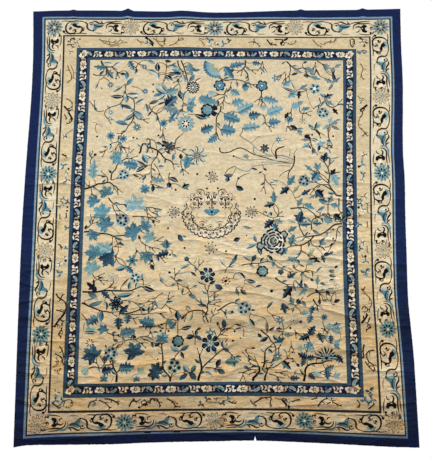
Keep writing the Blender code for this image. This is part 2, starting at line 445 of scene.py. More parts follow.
def lobed_leaf(drawing, at, angle, length, colours, lobes, width):
    """A broad leaf with pointed lobes that sweep forward, its two halves of two shaded yarns."""
    def side(sign):
        points = []
        for k, (x, y) in enumerate(LOBE_EDGES[lobes]):
            forward = LOBE_SWEEP if k % 2 else 0.0
            points.append(((x + forward) * length, sign * y * width * LOBE_FULLNESS * length))
        return points

    rib = [(0, 0)] + side(0)[1::2] + [(length, 0)]
    first, second = colours
    for sign, yarn, other in ((1, DARKER.get(first, first), first), (-1, first, second)):
        half = [(0, 0)] + side(sign) + [(length, 0)] + rib[-2:0:-1]
        shading = place([(0, sign * width * length * 0.5), (0, 0)], at, angle)
        drawing.fill(place(half, at, angle), yarn, other, *shading)
    if length > RIBBED_LEAF:
        drawing.fill(ribbon(place(rib[:-1], at, angle), lambda t: RIB_WIDTH), DARKER.get(first, "navy"))
        for x in (0.22, 0.5):
            vein = place([(x * length, 0), ((x + 0.2) * length, -width * 0.34 * length)], at, angle)
            drawing.fill(ribbon(vein, lambda t: RIB_WIDTH * (1.2 - t)), DARKER.get(second, "navy"))


# A maple leaf's outline on one side: angle at its middle, distance from there as a share of its size
MAPLE_EDGE = (
    (0, 0.80), (7, 0.62), (14, 0.66), (23, 0.46), (32, 0.50), (40, 0.62), (46, 0.60), (54, 0.78),
     (63, 0.60),
    (72, 0.62), (84, 0.42), (95, 0.46), (104, 0.60), (113, 0.70), (124, 0.54), (137, 0.50), (152, 0.34),
    (168, 0.30), (180, 0.22),
)
# How far its middle lies from its stalk end, the directions of its lobes, and its size in the table's
MAPLE_MIDDLE = 0.40
MAPLE_LOBES = (0, 54, -54, 112, -112)
MAPLE_SIZE = 0.9


def maple_leaf(drawing, at, angle, size, colours):
    """A five-lobed maple or vine leaf with toothed lobes and dark and light hatching along its veins."""
    points = []
    for turn, reach in MAPLE_EDGE:
        points.append((MAPLE_MIDDLE + reach * cos(radians(turn)), reach * sin(radians(turn))))
    outline = points + [(x, -y) for x, y in points[-2:0:-1]]
    shape = place([(x * size, y * size) for x, y in outline], at, angle)
    first, second = colours
    shading = place([(size * 0.1, size * 0.5), (size * 0.8, -size * 0.4)], at, angle)
    drawing.fill(shape, first, second, *shading)

    def spoke(turn, start, stop, width, yarn):
        ends = [
            ((MAPLE_MIDDLE + share * cos(radians(turn))) * size, share * sin(radians(turn)) * size)
            for share in (start, stop)
        ]
        drawing.fill(ribbon(place(ends, at, angle), lambda t: width * (1.2 - t)), yarn)

    for turn in MAPLE_LOBES:
        spoke(turn, 0.10 if turn else -0.2, 0.62, 0.34, DARKER.get(first, "navy"))
        spoke(turn + 11, 0.34, 0.60, 0.46, LIGHTER.get(second, "pale_blue") if size > 7 else second)
        spoke(turn - 12, 0.30, 0.58, 0.40, DARKER.get(second, "navy"))


# A ring of petals that reaches less far than this has plain four-cornered ones
FULL_PETALS = 3


def petal_ring(drawing, at, count, inner, outer, width, yarn, start, other=None):
    """Separate pointed petals around a centre."""
    middle = (inner + outer) / 2
    petal = [(inner, 0), (middle, width / 2), (outer, 0), (middle, -width / 2)]
    if outer >= FULL_PETALS:
        petal[2:3] = [(outer * 0.94, width * 0.34), (outer, 0), (outer * 0.94, -width * 0.34)]
    for k in range(count):
        angle = start + 360 * k / count
        shape = place(petal, at, angle)
        if other:
            drawing.fill(shape, yarn, other, *place([(inner, 0), (outer, 0)], at, angle))
        else:
            drawing.fill(shape, yarn)


def rosette(at, radius, petals, depth, start, steps=4):
    """The scalloped outline of a flower with rounded petals."""
    points = []
    total = petals * steps
    for k in range(total):
        angle = start + 360 * k / total
        reach = radius * (1 - depth + depth * abs(sin(pi * k / steps)) ** 0.6)
        points.append((at[0] + reach * cos(radians(angle)), at[1] + reach * sin(radians(angle))))
    return points


def border_flower(drawing, at, radius, start, yarn):
    """A large ragged flower: two turns of grey-blue petals and a star of dark strokes."""
    drawing.fill(rosette(at, radius * 0.80, 13, 0.2, start, 3), yarn)
    petal_ring(drawing, at, 13, radius * 0.45, radius * 1.02, radius * 0.34, yarn, start, "grey")
    petal_ring(drawing, at, 13, radius * 0.52, radius * 0.90, radius * 0.08, "indigo", start + 4)
    petal_ring(drawing, at, 13, radius * 0.50, radius * 0.84, radius * 0.09, "pale_blue", start + 16)
    petal_ring(drawing, at, 8, radius * 0.20, radius * 0.58, radius * 0.20, "black", start + 8)
    dot(drawing, at, radius * 0.14, "cream", 7)


# The flowers of the main border, clockwise from the far left corner: u, v, blue or pale
BORDER_FLOWERS = (
    (16.0, 306.5, "blue"), (73.5, 307.0, "pale"), (136.0, 306.5, "blue"), (195.5, 306.0, "pale"),
    (259.0, 305.5, "blue"),
    (257.8, 251.0, "pale"), (257.2, 192.5, "blue"), (256.6, 136.0, "pale"), (257.2, 80.0, "blue"),
    (258.0, 15.5, "pale"),
    (197.0, 15.5, "blue"), (136.5, 15.0, "pale"), (75.0, 15.0, "blue"), (15.8, 14.5, "pale"),
    (16.2, 77.0, "blue"), (16.6, 136.0, "pale"), (16.4, 193.0, "blue"), (16.2, 249.0, "pale"),
)
BORDER_FLOWER_REACH = 6.3
# The repeat between two flowers, as it is drawn in border_scroll: length and depth
UNIT_LENGTH = 57.5
UNIT_DEPTH = 12.3
SIDE_OF_UNIT = ("far",) * 4 + ("right",) * 5 + ("near",) * 4 + ("left",) * 5


class BorderUnit:
    """Maps x along the main border and y outwards from its inner line on to the plan."""

    def __init__(self, start, stop, side):
        self.side = side
        self.axis = 0 if side in ("far", "near") else 1
        self.start, self.stop = start[self.axis], stop[self.axis]

    def at(self, x, y):
        """The plan's point for a place in the repeat."""
        along = self.start + (self.stop - self.start) * x / UNIT_LENGTH
        inner = band_line(self.side, MIDDLE_LINE, along)
        outer = band_line(self.side, MAIN, along)
        level = inner + (outer - inner) * y / UNIT_DEPTH
        return (along, level) if self.axis == 0 else (level, along)

    def points(self, pairs):
        """Several points at once."""
        return [self.at(x, y) for x, y in pairs]


def border_scroll(drawing, unit):
    """One repeat of the main border between two flowers: scroll, ring, bud and dark curl."""
    def line(pairs, width, yarn="brown"):
        stroke(drawing, unit.points(pairs), width, yarn)

    def blob(pairs, yarn, other=None):
        ends = unit.at(*pairs[0]), unit.at(*pairs[len(pairs) // 2])
        drawing.fill(unit.points(pairs), yarn, other, *ends)

    # A large open scroll with a dark crown and a grey lining
    blob([
        (11.8, 8.4), (13.0, 10.2), (16.4, 10.6), (18.6, 9.4), (17.4, 8.0), (14.0, 7.4),
    ], "teal", "pale_blue")
    line([(4.8, 10.6), (9.0, 11.2), (13.0, 10.8), (17.0, 11.3), (21.5, 10.8), (24.0, 9.6)], 0.7)
    line([
        (12.2, 10.6), (9.6, 8.8), (8.6, 5.8), (9.2, 3.0), (11.4, 1.2), (14.8, 1.5), (17.0, 3.2),
    ], 1.0, "black")
    blob([
        (13.2, 8.3), (15.4, 9.6), (16.6, 8.6), (17.4, 7.6), (19.6, 7.4), (20.4, 6.0), (18.0, 5.5),
        (15.4, 6.4), (14.0, 7.0),
    ], "black")
    line([(20.0, 7.2), (21.0, 5.0), (20.2, 2.6), (18.6, 1.0)], 0.9, "black")
    line([(11.2, 6.6), (13.0, 5.8), (13.4, 4.4)], 0.7)
    dot(drawing, unit.at(11.8, 4.9), 0.95, "black")
    dot(drawing, unit.at(15.8, 3.4), 0.8)
    line([(13.4, 2.8), (15.2, 4.4), (17.2, 4.4)], 0.6)
    line([(20.4, 5.6), (22.4, 5.8), (22.8, 4.2)], 0.7)
    dot(drawing, unit.at(21.6, 4.0), 1.0)
    dot(drawing, unit.at(7.2, 2.8), 1.1)
    line([(6.6, 4.0), (7.6, 1.8), (10.0, 0.8)], 0.6)
    line([(14.0, 0.7), (19.0, 1.4), (25.0, 1.2)], 0.6, "black")
    # A ring with a small curl and a slanting blue leaf
    line([(21.8, 10.8), (24.6, 9.2), (24.6, 6.4), (26.2, 4.2), (29.4, 3.6)], 1.0)
    blob([
        (26.4, 7.4), (27.0, 5.4), (29.4, 4.6), (30.6, 6.2), (29.4, 8.4), (27.4, 8.8),
    ], "cream", "pale_blue")
    line([(25.6, 9.0), (27.4, 10.2), (29.0, 9.4), (28.6, 7.8)], 0.7)
    dot(drawing, unit.at(27.6, 8.4), 0.75)
    blob([
        (29.0, 9.0), (31.4, 9.4), (33.6, 8.6), (37.6, 8.0), (35.2, 6.2), (32.4, 5.6), (30.8, 3.4),
        (29.0, 4.4), (29.8, 6.4),
    ], "teal", "indigo")
    line([(29.6, 8.6), (32.0, 7.0), (36.4, 7.2)], 0.6, "navy")
    dot(drawing, unit.at(29.4, 3.6), 0.85, "navy")
    line([(28.6, 10.6), (31.0, 11.0), (33.0, 9.8), (36.2, 8.8)], 0.9, "black")
    line([(35.0, 11.4), (35.8, 9.8), (37.4, 9.0)], 0.8)
    line([(36.0, 8.6), (39.0, 10.2), (44.0, 10.8), (50.4, 11.2)], 0.7)
    line([(30.4, 2.4), (33.0, 1.6), (36.6, 1.8)], 0.5, "tan")
    # A dark curled leaf with a pale lining
    line([(39.0, 5.2), (39.4, 8.0), (42.0, 9.6), (45.8, 9.4), (50.8, 9.8)], 0.9, "brown")
    line([(40.2, 6.2), (42.0, 7.4), (44.6, 6.4), (44.0, 4.8)], 0.9, "black")
    line([(40.6, 3.2), (42.6, 3.6), (43.2, 5.4)], 0.7, "brown")
    blob([
        (44.2, 7.2), (45.6, 8.7), (47.8, 8.6), (48.4, 7.2), (47.0, 6.4), (47.2, 4.9), (48.8, 3.8),
        (47.6, 2.6), (45.2, 3.2), (44.6, 4.8), (45.6, 6.2),
    ], "black")
    blob([(47.6, 6.6), (49.4, 7.2), (50.6, 6.0), (50.0, 4.2), (48.4, 4.2)], "cream")
    curl(drawing, unit.at(51.2, 6.2), 1.6, 230, "brown", 1, 0.6)
    line([(49.2, 8.4), (51.8, 8.6), (53.4, 7.2)], 0.7, "grey")
    line([(50.0, 3.2), (52.2, 2.2), (52.6, 3.8)], 0.8, "black")
    dot(drawing, unit.at(50.6, 2.2), 0.8)
    line([(42.4, 2.2), (46.0, 1.4), (51.4, 1.2)], 0.6)
    if unit.side != "far":
        line([(37.6, 5.6), (37.8, 8.8), (40.8, 10.8), (44.6, 10.4)], 1.1, "blue")
        blob([(50.6, 10.2), (53.6, 11.2), (56.0, 10.0), (53.4, 9.2)], "indigo", "navy")


def draw_main_border(drawing):
    """The main border: flowers at even steps with a scroll repeat between each pair."""
    count = len(BORDER_FLOWERS)
    for k in range(count):
        start = BORDER_FLOWERS[k]
        stop = BORDER_FLOWERS[(k + 1) % count]
        border_scroll(drawing, BorderUnit(start, stop, SIDE_OF_UNIT[k]))
    for k, (u, v, kind) in enumerate(BORDER_FLOWERS):
        if kind == "blue":
            far = SIDE_OF_UNIT[k - 1] == "far" or k < 4
            border_flower(drawing, (u, v), BORDER_FLOWER_REACH, k * 7, "grey" if far else "teal")
        else:
            petal_ring(drawing, (u, v), 11, 1.6, 6.5, 2.3, "tan", k * 7)
            petal_ring(drawing, (u, v), 11, 2.0, 5.9, 1.3, "cream", k * 7, "chalk")
            petal_ring(drawing, (u, v), 11, 2.6, 5.0, 0.45, "green", k * 7)
            petal_ring(drawing, (u, v), 9, 0.6, 2.8, 0.8, "teal", k * 11)
            dot(drawing, (u, v), 0.7, "tan")


# The guard's repeat of 24 cm: place along it, motif
GUARD_LENGTH = 24.0
# The band's width for which its motifs are drawn full size
GUARD_DEPTH = 5.9
# How far the first repeat stands from the corner, and the repeats' ends from both corners together
GUARD_START = 5.2
GUARD_CORNERS = 8.0
GUARD_REPEAT = ((2.6, "leaf"), (9.2, "curls"), (17.4, "blossom"), (22.6, "bud"))
# Its shapes: yarn, second yarn, then the outline
GUARD_SHAPES = {
    "leaf": (
        ("grey", "pale_blue", (-2.8, -1.7), (-1.4, -0.2), (0.2, 0.2), (1.4, 1.5), (2.7, 1.0), (2.1, -0.7),
         (0.8, -1.9), (-0.9, -2.4)),
        ("indigo", "blue", (-2.6, 0.4), (-1.6, 1.7), (-0.6, 2.2), (-1.0, 0.9), (-1.9, 0.1)),
        ("navy", "navy", (-1.6, -1.4), (0.3, -0.6), (1.9, 0.6), (0.4, -1.0)),
    ),
    "curls": (
        ("cream", "ivory", (-4.1, 2.3), (-2.7, 2.4), (-1.9, 1.1), (-2.3, -0.5), (-3.0, -0.9), (-2.9, 0.5)),
        ("cream", "grey", (-1.6, 2.5), (0.1, 2.2), (0.7, 0.8), (0.0, -0.5), (-1.4, -0.7), (-0.6, 0.4),
         (-0.7, 1.4)),
        ("cream", "ivory", (-2.9, -1.3), (-1.3, -1.3), (0.8, -2.2), (-0.8, -2.6), (-2.6, -2.3)),
        ("cream", "cream", (1.1, 2.0), (2.6, 2.5), (4.0, 1.5), (3.4, 0.5), (2.5, 0.9), (1.9, -0.3),
         (2.9, -1.7), (1.5, -2.3), (0.6, -0.9), (1.0, 0.6)),
        ("brown", "brown", (0.4, -0.9), (1.0, -0.4), (1.2, 1.0), (1.6, 1.1), (1.4, -0.6), (0.8, -1.4)),
    ),
    "blossom": (
        ("cream", "ivory", (-3.9, 0.3), (-3.6, 1.9), (-2.3, 1.8), (-1.3, 2.5), (0.3, 1.9), (1.6, 2.5),
         (2.8, 1.7), (3.7, 0.9), (3.1, -0.4), (3.5, -1.7), (1.9, -1.9), (0.5, -2.5), (-0.8, -1.8),
         (-2.3, -2.4), (-2.8, -1.0)),
        ("brown", "black", (-1.2, 0.5), (-0.5, 2.2), (-0.2, 0.6), (2.0, 1.5), (0.6, 0.1), (2.0, -1.2),
         (0.2, -0.5), (-0.5, -2.0), (-0.9, -0.4), (-2.9, -0.3)),
        ("ivory", "cream", (-0.6, 0.3), (0.2, 0.5), (0.5, 0.0), (0.0, -0.3), (-0.6, -0.1)),
    ),
    "bud": (
        ("tan", "cream", (-1.4, -2.2), (-0.9, -0.6), (-1.2, 1.2), (-0.2, 2.2), (0.4, 0.8), (0.0, -1.2)),
        ("cream", "ivory", (0.4, 2.3), (1.3, 1.9), (1.2, 0.7), (0.6, 0.9)),
    ),
}


def guard_motif(drawing, at, angle, kind, wide, flip=1):
    """One motif of the guard, on its navy ground."""
    size = wide / GUARD_DEPTH
    ends = place([(-3, 0), (3, 0)], at, angle, size)
    for yarn, other, *outline in GUARD_SHAPES[kind]:
        drawing.fill(place(outline, at, angle, size, flip), yarn, other, *ends)


def draw_guard(drawing):
    """The guard's ivory blossoms and leaves on navy, all the way round."""
    for side in ("far", "right", "near", "left"):
        axis = 0 if side in ("far", "near") else 1
        low = band_corner(GUARD_GROUND, "left", "near")[axis]
        high = band_corner(GUARD_GROUND, "right", "far")[axis]
        length = high - low - GUARD_CORNERS
        repeats = round(length / GUARD_LENGTH)
        step = length / repeats / GUARD_LENGTH
        for repeat in range(repeats):
            for offset, kind in GUARD_REPEAT:
                along = low + GUARD_START + (repeat * GUARD_LENGTH + offset) * step
                inner = band_line(side, GUARD_LINE, along)
                outer = band_line(side, GUARD_GROUND, along)
                level = (inner + outer) / 2
                at = (along, level) if axis == 0 else (level, along)
                guard_motif(drawing, at, axis * 90, kind, abs(outer - inner), 1 if repeat % 2 else -1)
    for across in ("left", "right"):
        for end in ("near", "far"):
            outer = band_corner(GUARD_GROUND, across, end)
            inner = band_corner(GUARD_LINE, across, end)
            at = ((outer[0] + inner[0]) / 2, (outer[1] + inner[1]) / 2)
            guard_motif(drawing, at, 45, "blossom", 5.6)


def draw_grounds(drawing):
    """The plain bands, from the outer edge inwards, and the field's ground."""
    for line, yarn in (
        (EDGE_LINE, "edge_blue"), (PALE_LINE, "edge_dark"), (MAIN, "chalk"), (MIDDLE_LINE, "edge_dark"),
        (SECOND, "sand"), (GUARD, "guard_line"), (GUARD_GROUND, "navy"), (GUARD_LINE, "guard_line"),
        (FIELD, "ivory"),
    ):
        drawing.fill(band_outline(line), yarn)


# The second border's thin sprigs: width, yarn, then the places they pass
SPRIGS = (
    # Far side
    (0.45, "tan", (50, 297), (54, 294), (58, 292.5), (62, 293), (66, 297)),
    (0.4, "tan", (52, 296), (57, 295), (60, 294.5), (63, 295.5)),
    (0.4, "tan", (58, 291.3), (63, 292), (67, 294), (71, 295)),
    (0.9, "black", (84.3, 298.7), (88, 296), (90.2, 293.8), (89, 292.2)),
    (0.5, "tan", (78, 297), (80, 295), (84, 294.5), (88, 293)),
    (0.5, "tan", (90, 298), (93, 296), (97, 295), (99.3, 297.7)),
    (0.5, "tan", (93, 296), (95, 292.6), (98, 292)),
    (0.4, "brown", (99.3, 297.7), (98, 293)),
    (0.5, "tan", (102, 292), (106, 293), (109, 296), (112, 298)),
    (0.4, "tan", (109, 295.4), (113, 296.5)),
    (0.4, "tan", (124, 297), (126.5, 295.4), (128.6, 292)),
    (0.4, "tan", (124.5, 298.2), (127, 297), (130.5, 298.2)),
    (0.4, "brown", (161, 294.4), (164, 295), (167, 293.4), (169.5, 291)),
    (0.4, "brown", (165, 297.4), (165, 294.4)),
    (0.6, "brown", (174.5, 296.7), (176, 294), (177.4, 292), (181.5, 292.6)),
    (0.8, "black", (190, 297.3), (187, 295.2), (184.5, 293.5), (185, 292), (187.4, 291.9)),
    (0.6, "brown", (180, 296.4), (186.5, 296.3)),
    (0.5, "tan", (189.5, 293.4), (193, 292), (196.4, 294.8)),
    (0.5, "tan", (208.4, 296.2), (211, 292.4), (215, 290.2)),
    (0.4, "tan", (213.5, 292.8), (217, 292), (219, 293.8), (222.4, 295)),
    (0.4, "brown", (221, 294), (224, 294), (225.2, 297)),
    (0.5, "brown", (236, 296), (236.4, 291), (238, 289.2)),
    (0.6, "brown", (237, 296.4), (239, 295.6), (239.2, 292)),
    (0.7, "brown", (243, 297), (246, 295.2), (248.6, 292.2)),
    (0.5, "brown", (243.6, 294.6), (246, 292.6), (247.4, 290)),
    (0.6, "indigo", (241, 286.4), (243, 284), (244.2, 286.6), (246.2, 284.2), (248.4, 286.2)),
    (0.6, "brown", (26.6, 294.6), (29, 297.4), (31.6, 298)),
    (0.5, "brown", (25.6, 292.4), (28.4, 292.8), (30.6, 290)),
    (0.4, "tan", (31, 295), (33.6, 292), (36.4, 291.4)),
    # Near side
    (0.6, "brown", (25, 29.6), (28.6, 26.6), (30.6, 25)),
    (0.5, "tan", (33, 27), (34.6, 31), (38.6, 31), (39.4, 27.4), (36, 25.6)),
    (0.5, "brown", (50, 25.6), (50.6, 28), (52.4, 30.2), (56, 31)),
    (0.5, "grey", (52.6, 26.6), (55.4, 27.4), (54.6, 29.4), (52.8, 28.6)),
    (0.5, "brown", (57, 31), (61, 29.2), (64, 26.6), (65.2, 25)),
    (0.6, "brown", (61, 31.8), (65, 31.6), (69, 29.6), (71.2, 28)),
    (0.6, "brown", (78, 26), (79, 29), (81, 30.2), (84, 29.6), (88, 29.4)),
    (0.9, "black", (84.3, 24.9), (87, 27.2), (90.4, 28.2)),
    (0.6, "brown", (88, 31), (90, 29), (92.4, 30.4), (94.4, 31.6), (95.2, 29.6)),
    (0.6, "brown", (92, 31.4), (97, 31.4), (98, 29), (99.6, 25.8)),
    (0.6, "brown", (103.6, 31.6), (107, 29.6), (109, 27), (110.2, 25)),
    (0.4, "brown", (106.6, 28.6), (111.4, 28)),
    (0.4, "brown", (109.6, 26), (113, 25)),
    (0.5, "teal", (131, 29), (135, 28.8), (140, 29)),
    (0.6, "brown", (145.6, 29.6), (148, 28), (151, 27.6)),
    (0.5, "brown", (160.5, 30.2), (162, 27.6), (165, 26)),
    (0.6, "brown", (163, 27.8), (166.6, 30.4), (170, 32), (175, 32)),
    (0.5, "brown", (175, 31.6), (174, 28.4), (175.2, 25.4)),
    (0.5, "tan", (177, 32), (181.6, 30.4)),
    (0.9, "black", (182, 31), (184, 28.2), (187.4, 25.2)),
    (0.6, "brown", (182.4, 31.4), (184.6, 31.2), (184, 29.4)),
    (0.5, "brown", (188.6, 29), (191, 30.2), (194.4, 31.2)),
    (0.5, "brown", (202, 31), (206.4, 32.2)),
    (0.6, "brown", (206.4, 26), (208.6, 29.6), (212, 31.6), (216.4, 32)),
    (0.5, "brown", (212.6, 28), (216, 29.6), (218.4, 28.4), (222.4, 26.6)),
    (0.5, "brown", (233, 31.4), (235, 28.4), (234, 25.4)),
    (0.6, "brown", (240.6, 25), (245.2, 28.8)),
    # Left side
    (0.5, "tan", (25, 54), (28, 56), (29, 58.2), (26.6, 60.4)),
    (0.5, "brown", (26, 63.4), (29, 62), (31.4, 59), (32, 55.6)),
    (0.5, "brown", (29, 68.6), (31, 66), (32, 62), (31.6, 58)),
    (0.6, "brown", (25.5, 105.6), (27, 103), (29, 101.6), (32, 99.4), (32.8, 95), (32, 92)),
    (0.5, "brown", (28.8, 102), (30.2, 105.4)),
    (0.5, "brown", (26, 94), (28.4, 93.4), (32, 92)),
    (0.8, "black", (32, 92), (29.6, 88.6), (26.4, 84.4), (25.4, 81.8)),
    (0.6, "brown", (28, 88), (31.4, 85.4)),
    (0.6, "brown", (30.4, 85), (30, 80), (28, 76.8), (30.4, 75)),
    (0.4, "tan", (25.6, 117.4), (27.6, 118)),
    (0.5, "brown", (25.6, 140.8), (27, 140.4), (29, 138)),
    (0.5, "green", (26.4, 157.2), (25.2, 155.6), (25.2, 152)),
    (0.5, "tan", (26, 173), (28.4, 170.6)),
    (0.5, "tan", (26, 163), (26.2, 159)),
    (0.5, "brown", (30.4, 164), (31, 160)),
    (0.4, "tan", (25.4, 185.4), (27.4, 186.4), (28, 184.6)),
    (0.7, "brown", (25.6, 207.8), (27.2, 206.8), (29, 206.6)),
    (0.5, "green", (27, 204.6), (28.2, 202.4)),
    (0.6, "grey", (32.8, 226.4), (29.6, 224.4), (27.4, 222), (26.2, 219.4)),
    (0.8, "black", (25.3, 244.6), (27.4, 242.2), (29.6, 240.2)),
    (0.8, "black", (28.6, 240), (30.6, 236.8), (32.2, 234)),
    (0.5, "tan", (26.6, 250.4), (30, 248.4), (31.4, 245), (31, 241)),
    (0.5, "brown", (25.6, 238.4), (28, 234.6)),
    (0.5, "brown", (27.6, 231), (30, 231.6), (32, 233.4)),
    (0.5, "tan", (26.6, 276.4), (28, 273), (30, 268), (29.2, 264.6), (26.8, 262.4)),
    (0.4, "tan", (29, 276.4), (31.2, 271.4), (31.4, 266)),
    # Right side
    (0.7, "brown", (239.6, 69.6), (238.6, 66), (238.8, 60)),
    (0.6, "brown", (246.4, 65.6), (242.6, 65), (240.2, 62.4)),
    (0.5, "brown", (240.6, 61.6), (242, 58), (245, 55.6), (246.4, 52)),
    (0.5, "brown", (239.6, 58), (242, 54.4), (245.6, 50.8)),
    (0.5, "tan", (239, 108.6), (242, 105), (245, 102.2), (246.6, 98.4), (244.6, 94.4), (240.4, 91.6)),
    (0.9, "black", (238.4, 84.4), (240.6, 86.8), (243.2, 90.4)),
    (0.5, "brown", (239, 94), (241, 96.4), (244, 93.6)),
    (0.6, "brown", (244.8, 88.4), (243, 84.4), (245, 81.4), (241, 79.6)),
    (0.5, "brown", (242, 109.8), (240.6, 107.2)),
    (0.5, "tan", (240.4, 133), (241, 130.4)),
    (0.6, "tan", (245, 157), (245.4, 152.4)),
    (0.5, "tan", (244.4, 139), (244.4, 134)),
    (0.4, "tan", (238.6, 163.4), (240.2, 160.6)),
    (0.5, "tan", (245.4, 167.6), (245.4, 163)),
    (0.5, "grey", (247, 207), (243.4, 205.4), (243.4, 202.6)),
    (0.5, "tan", (242, 226.2), (245, 223.4), (247.2, 220)),
    (0.4, "brown", (245.4, 223), (243.6, 219.8)),
    (0.5, "tan", (241.4, 233.4), (240.4, 229), (242.6, 225.4)),
    (0.5, "brown", (241.4, 234), (244, 237.6), (242.2, 241)),
    (0.9, "black", (247.4, 244.4), (245, 242.2), (241.8, 240.2)),
    (0.5, "tan", (240.6, 251), (243, 248.6), (244.6, 249.8)),
    (0.5, "tan", (243, 276.6), (245, 272.4), (243.4, 268), (245, 263.6)),
)

# The second border's small blossoms: place, width, height, yarn
PATCHES = (
    (132, 296.6, 4.2, 2.2, "indigo"), (135.6, 293.6, 3.6, 2.2, "pale_blue"),
    (138, 293.2, 1.8, 1.8, "navy"), (142.6, 293.4, 4.8, 2.2, "teal"), (146.6, 296.2, 2.8, 3.0, "brown"),
    (133, 292, 4, 1.4, "cream"), (86.2, 294.6, 3.6, 2.2, "teal"), (187.6, 293.6, 3.0, 2.0, "grey"),
    (165, 297.2, 1.0, 1.0, "brown"), (33.4, 294.4, 2.0, 3.2, "grey"), (35.4, 297, 1.2, 1.4, "brown"),
    (28.4, 287, 3.6, 3.4, "green"), (28, 295.4, 3.0, 2.0, "grey"), (245, 294, 3.6, 4.0, "grey"),
    (27.6, 30.8, 4.6, 2.8, "indigo"), (32.6, 30.4, 4.2, 2.6, "indigo"), (31.2, 28, 2.6, 2.6, "teal"),
    (33.6, 30, 1.0, 1.0, "black"), (35.2, 25.8, 1.1, 1.1, "brown"), (38.6, 29, 1.1, 1.1, "brown"),
    (86.2, 28.6, 3.8, 2.2, "grey"), (81, 31.2, 2.0, 1.2, "brown"), (126.6, 27.4, 3.8, 3.2, "navy"),
    (131, 31, 3.6, 3.0, "navy"), (137, 31, 2.6, 2.2, "navy"), (141.6, 27.8, 3.8, 3.4, "navy"),
    (145.4, 31.2, 3.0, 2.4, "indigo"), (186.8, 28.6, 3.2, 2.2, "grey"), (215.6, 30.8, 3.0, 1.8, "grey"),
    (238.6, 31.2, 4.6, 2.8, "indigo"), (243.6, 31.4, 4.6, 2.8, "indigo"),
    (241.2, 29.4, 2.6, 2.4, "navy"), (242, 37.4, 5.4, 3.6, "navy"), (242, 36.4, 2.0, 2.4, "sand"),
    (28, 36.6, 4.0, 3.8, "teal"), (28, 36.4, 1.8, 1.8, "cream"), (28.4, 51.4, 4.0, 3.8, "tan"),
    (28.4, 51.4, 2.8, 2.6, "sand"), (29, 82.4, 2.6, 3.0, "grey"), (27.6, 120, 4.2, 2.6, "indigo"),
    (27.8, 119.6, 2.0, 1.4, "teal"), (31.3, 129, 1.9, 2.2, "navy"), (30.8, 132, 2.4, 2.4, "pale_blue"),
    (27, 127, 3.4, 3.0, "grey"), (30.4, 126.6, 2.2, 2.0, "pale_blue"), (31, 138.4, 2.6, 2.2, "indigo"),
    (31, 152.8, 3.4, 3.4, "indigo"), (25.6, 168.6, 3.6, 2.2, "teal"),
    (28.6, 169.4, 2.6, 2.6, "pale_blue"), (31, 171.6, 3.0, 3.2, "navy"),
    (31.2, 168.2, 1.7, 1.7, "black"), (31, 165.4, 1.7, 1.7, "navy"), (28.2, 174.4, 3.8, 1.7, "teal"),
    (30, 188.4, 4.6, 1.8, "grey"), (27, 199.2, 4.8, 3.6, "teal"), (30.7, 196.6, 1.7, 1.9, "black"),
    (29, 194.2, 3.4, 1.6, "pale_blue"), (26.4, 221, 3.0, 2.2, "grey"), (242.4, 84.6, 2.6, 2.6, "grey"),
    (242.6, 120.2, 5.6, 2.6, "indigo"), (243, 119.2, 2.8, 1.4, "teal"), (239.4, 137, 3.8, 3.0, "indigo"),
    (241.6, 141.4, 3.6, 2.8, "grey"), (243, 131.6, 2.0, 2.2, "black"), (243.2, 128.2, 2.6, 4.4, "teal"),
    (239, 154.6, 3.8, 3.2, "indigo"), (239.2, 172.6, 3.4, 2.6, "navy"), (240.4, 170.2, 4.6, 1.7, "teal"),
    (239, 167, 2.2, 1.8, "navy"), (242.4, 165.6, 3.4, 3.2, "pale_blue"),
    (245.4, 169.8, 2.4, 3.0, "teal"), (243.4, 175.2, 4.6, 1.8, "green"), (242.6, 199, 4.8, 4.4, "teal"),
    (240, 197.4, 2.0, 2.2, "black"), (243.2, 191.8, 3.2, 3.8, "indigo"),
    (242.4, 187.6, 3.2, 1.6, "grey"), (244.6, 206.6, 4.0, 1.8, "grey"), (243, 247.2, 3.4, 2.6, "grey"),
    (246, 222, 1.6, 1.6, "brown"),
)


# How much wider the sprigs are knotted than the widths in their table
SPRIG_STRENGTH = 1.4
# Every other sprig thinner than this has a pale smudge on each side, from and to these places
SMUDGED_SPRIG = 0.8
SMUDGE = ((1.5, -0.7), (2.9, 0.9))
# The widest blossom of the second border that is drawn round; wider ones are tufts of leaves
SMALLEST_TUFT = 2.3


def draw_second_border(drawing):
    """The faint sprigs and small blossoms of the second border."""
    for k, (width, yarn, *points) in enumerate(SPRIGS):
        if k % 2 and width < SMUDGED_SPRIG:
            middle = points[len(points) // 2]
            for side, pale in ((1, "pale_blue"), (-1, "green")):
                smudge = [(middle[0] + side * x, middle[1] + y) for x, y in SMUDGE]
                stroke(drawing, smudge, 0.9, pale)
        stem(drawing, points, width * SPRIG_STRENGTH, yarn, 0.7)
        tip, before = points[-1], points[-2]
        angle = atan2(tip[1] - before[1], tip[0] - before[0]) * 180 / pi
        stem(drawing, place([(-1.4, 0), (0.2, 1.4 if k % 2 else -1.4)], tip, angle), width, yarn, 0.7)
        for turn, joint in enumerate(points[1:-1]):
            swing = 42 if (k + turn) % 2 else -42
            twiglet = place([(0, 0), (1.4, 0.5), (2.8, 0.2)], joint, angle + swing)
            stem(drawing, twiglet, width, "black" if turn % 2 else yarn, 0.6)
    for k, (u, v, wide, high, yarn) in enumerate(PATCHES):
        if max(wide, high) > SMALLEST_TUFT:
            for turn in range(3):
                length = max(wide, high) * (0.86 - 0.1 * turn)
                leaf(drawing, (u, v), k * 31 + turn * 127, length, (yarn, LIGHTER.get(yarn, yarn)), 0.5)
            dot(drawing, (u, v), 0.5, "navy" if k % 2 else "brown", 6)
        else:
            drawing.fill(rosette((u, v), max(wide, high) / 2, 5, 0.24, k * 31, 3), yarn)


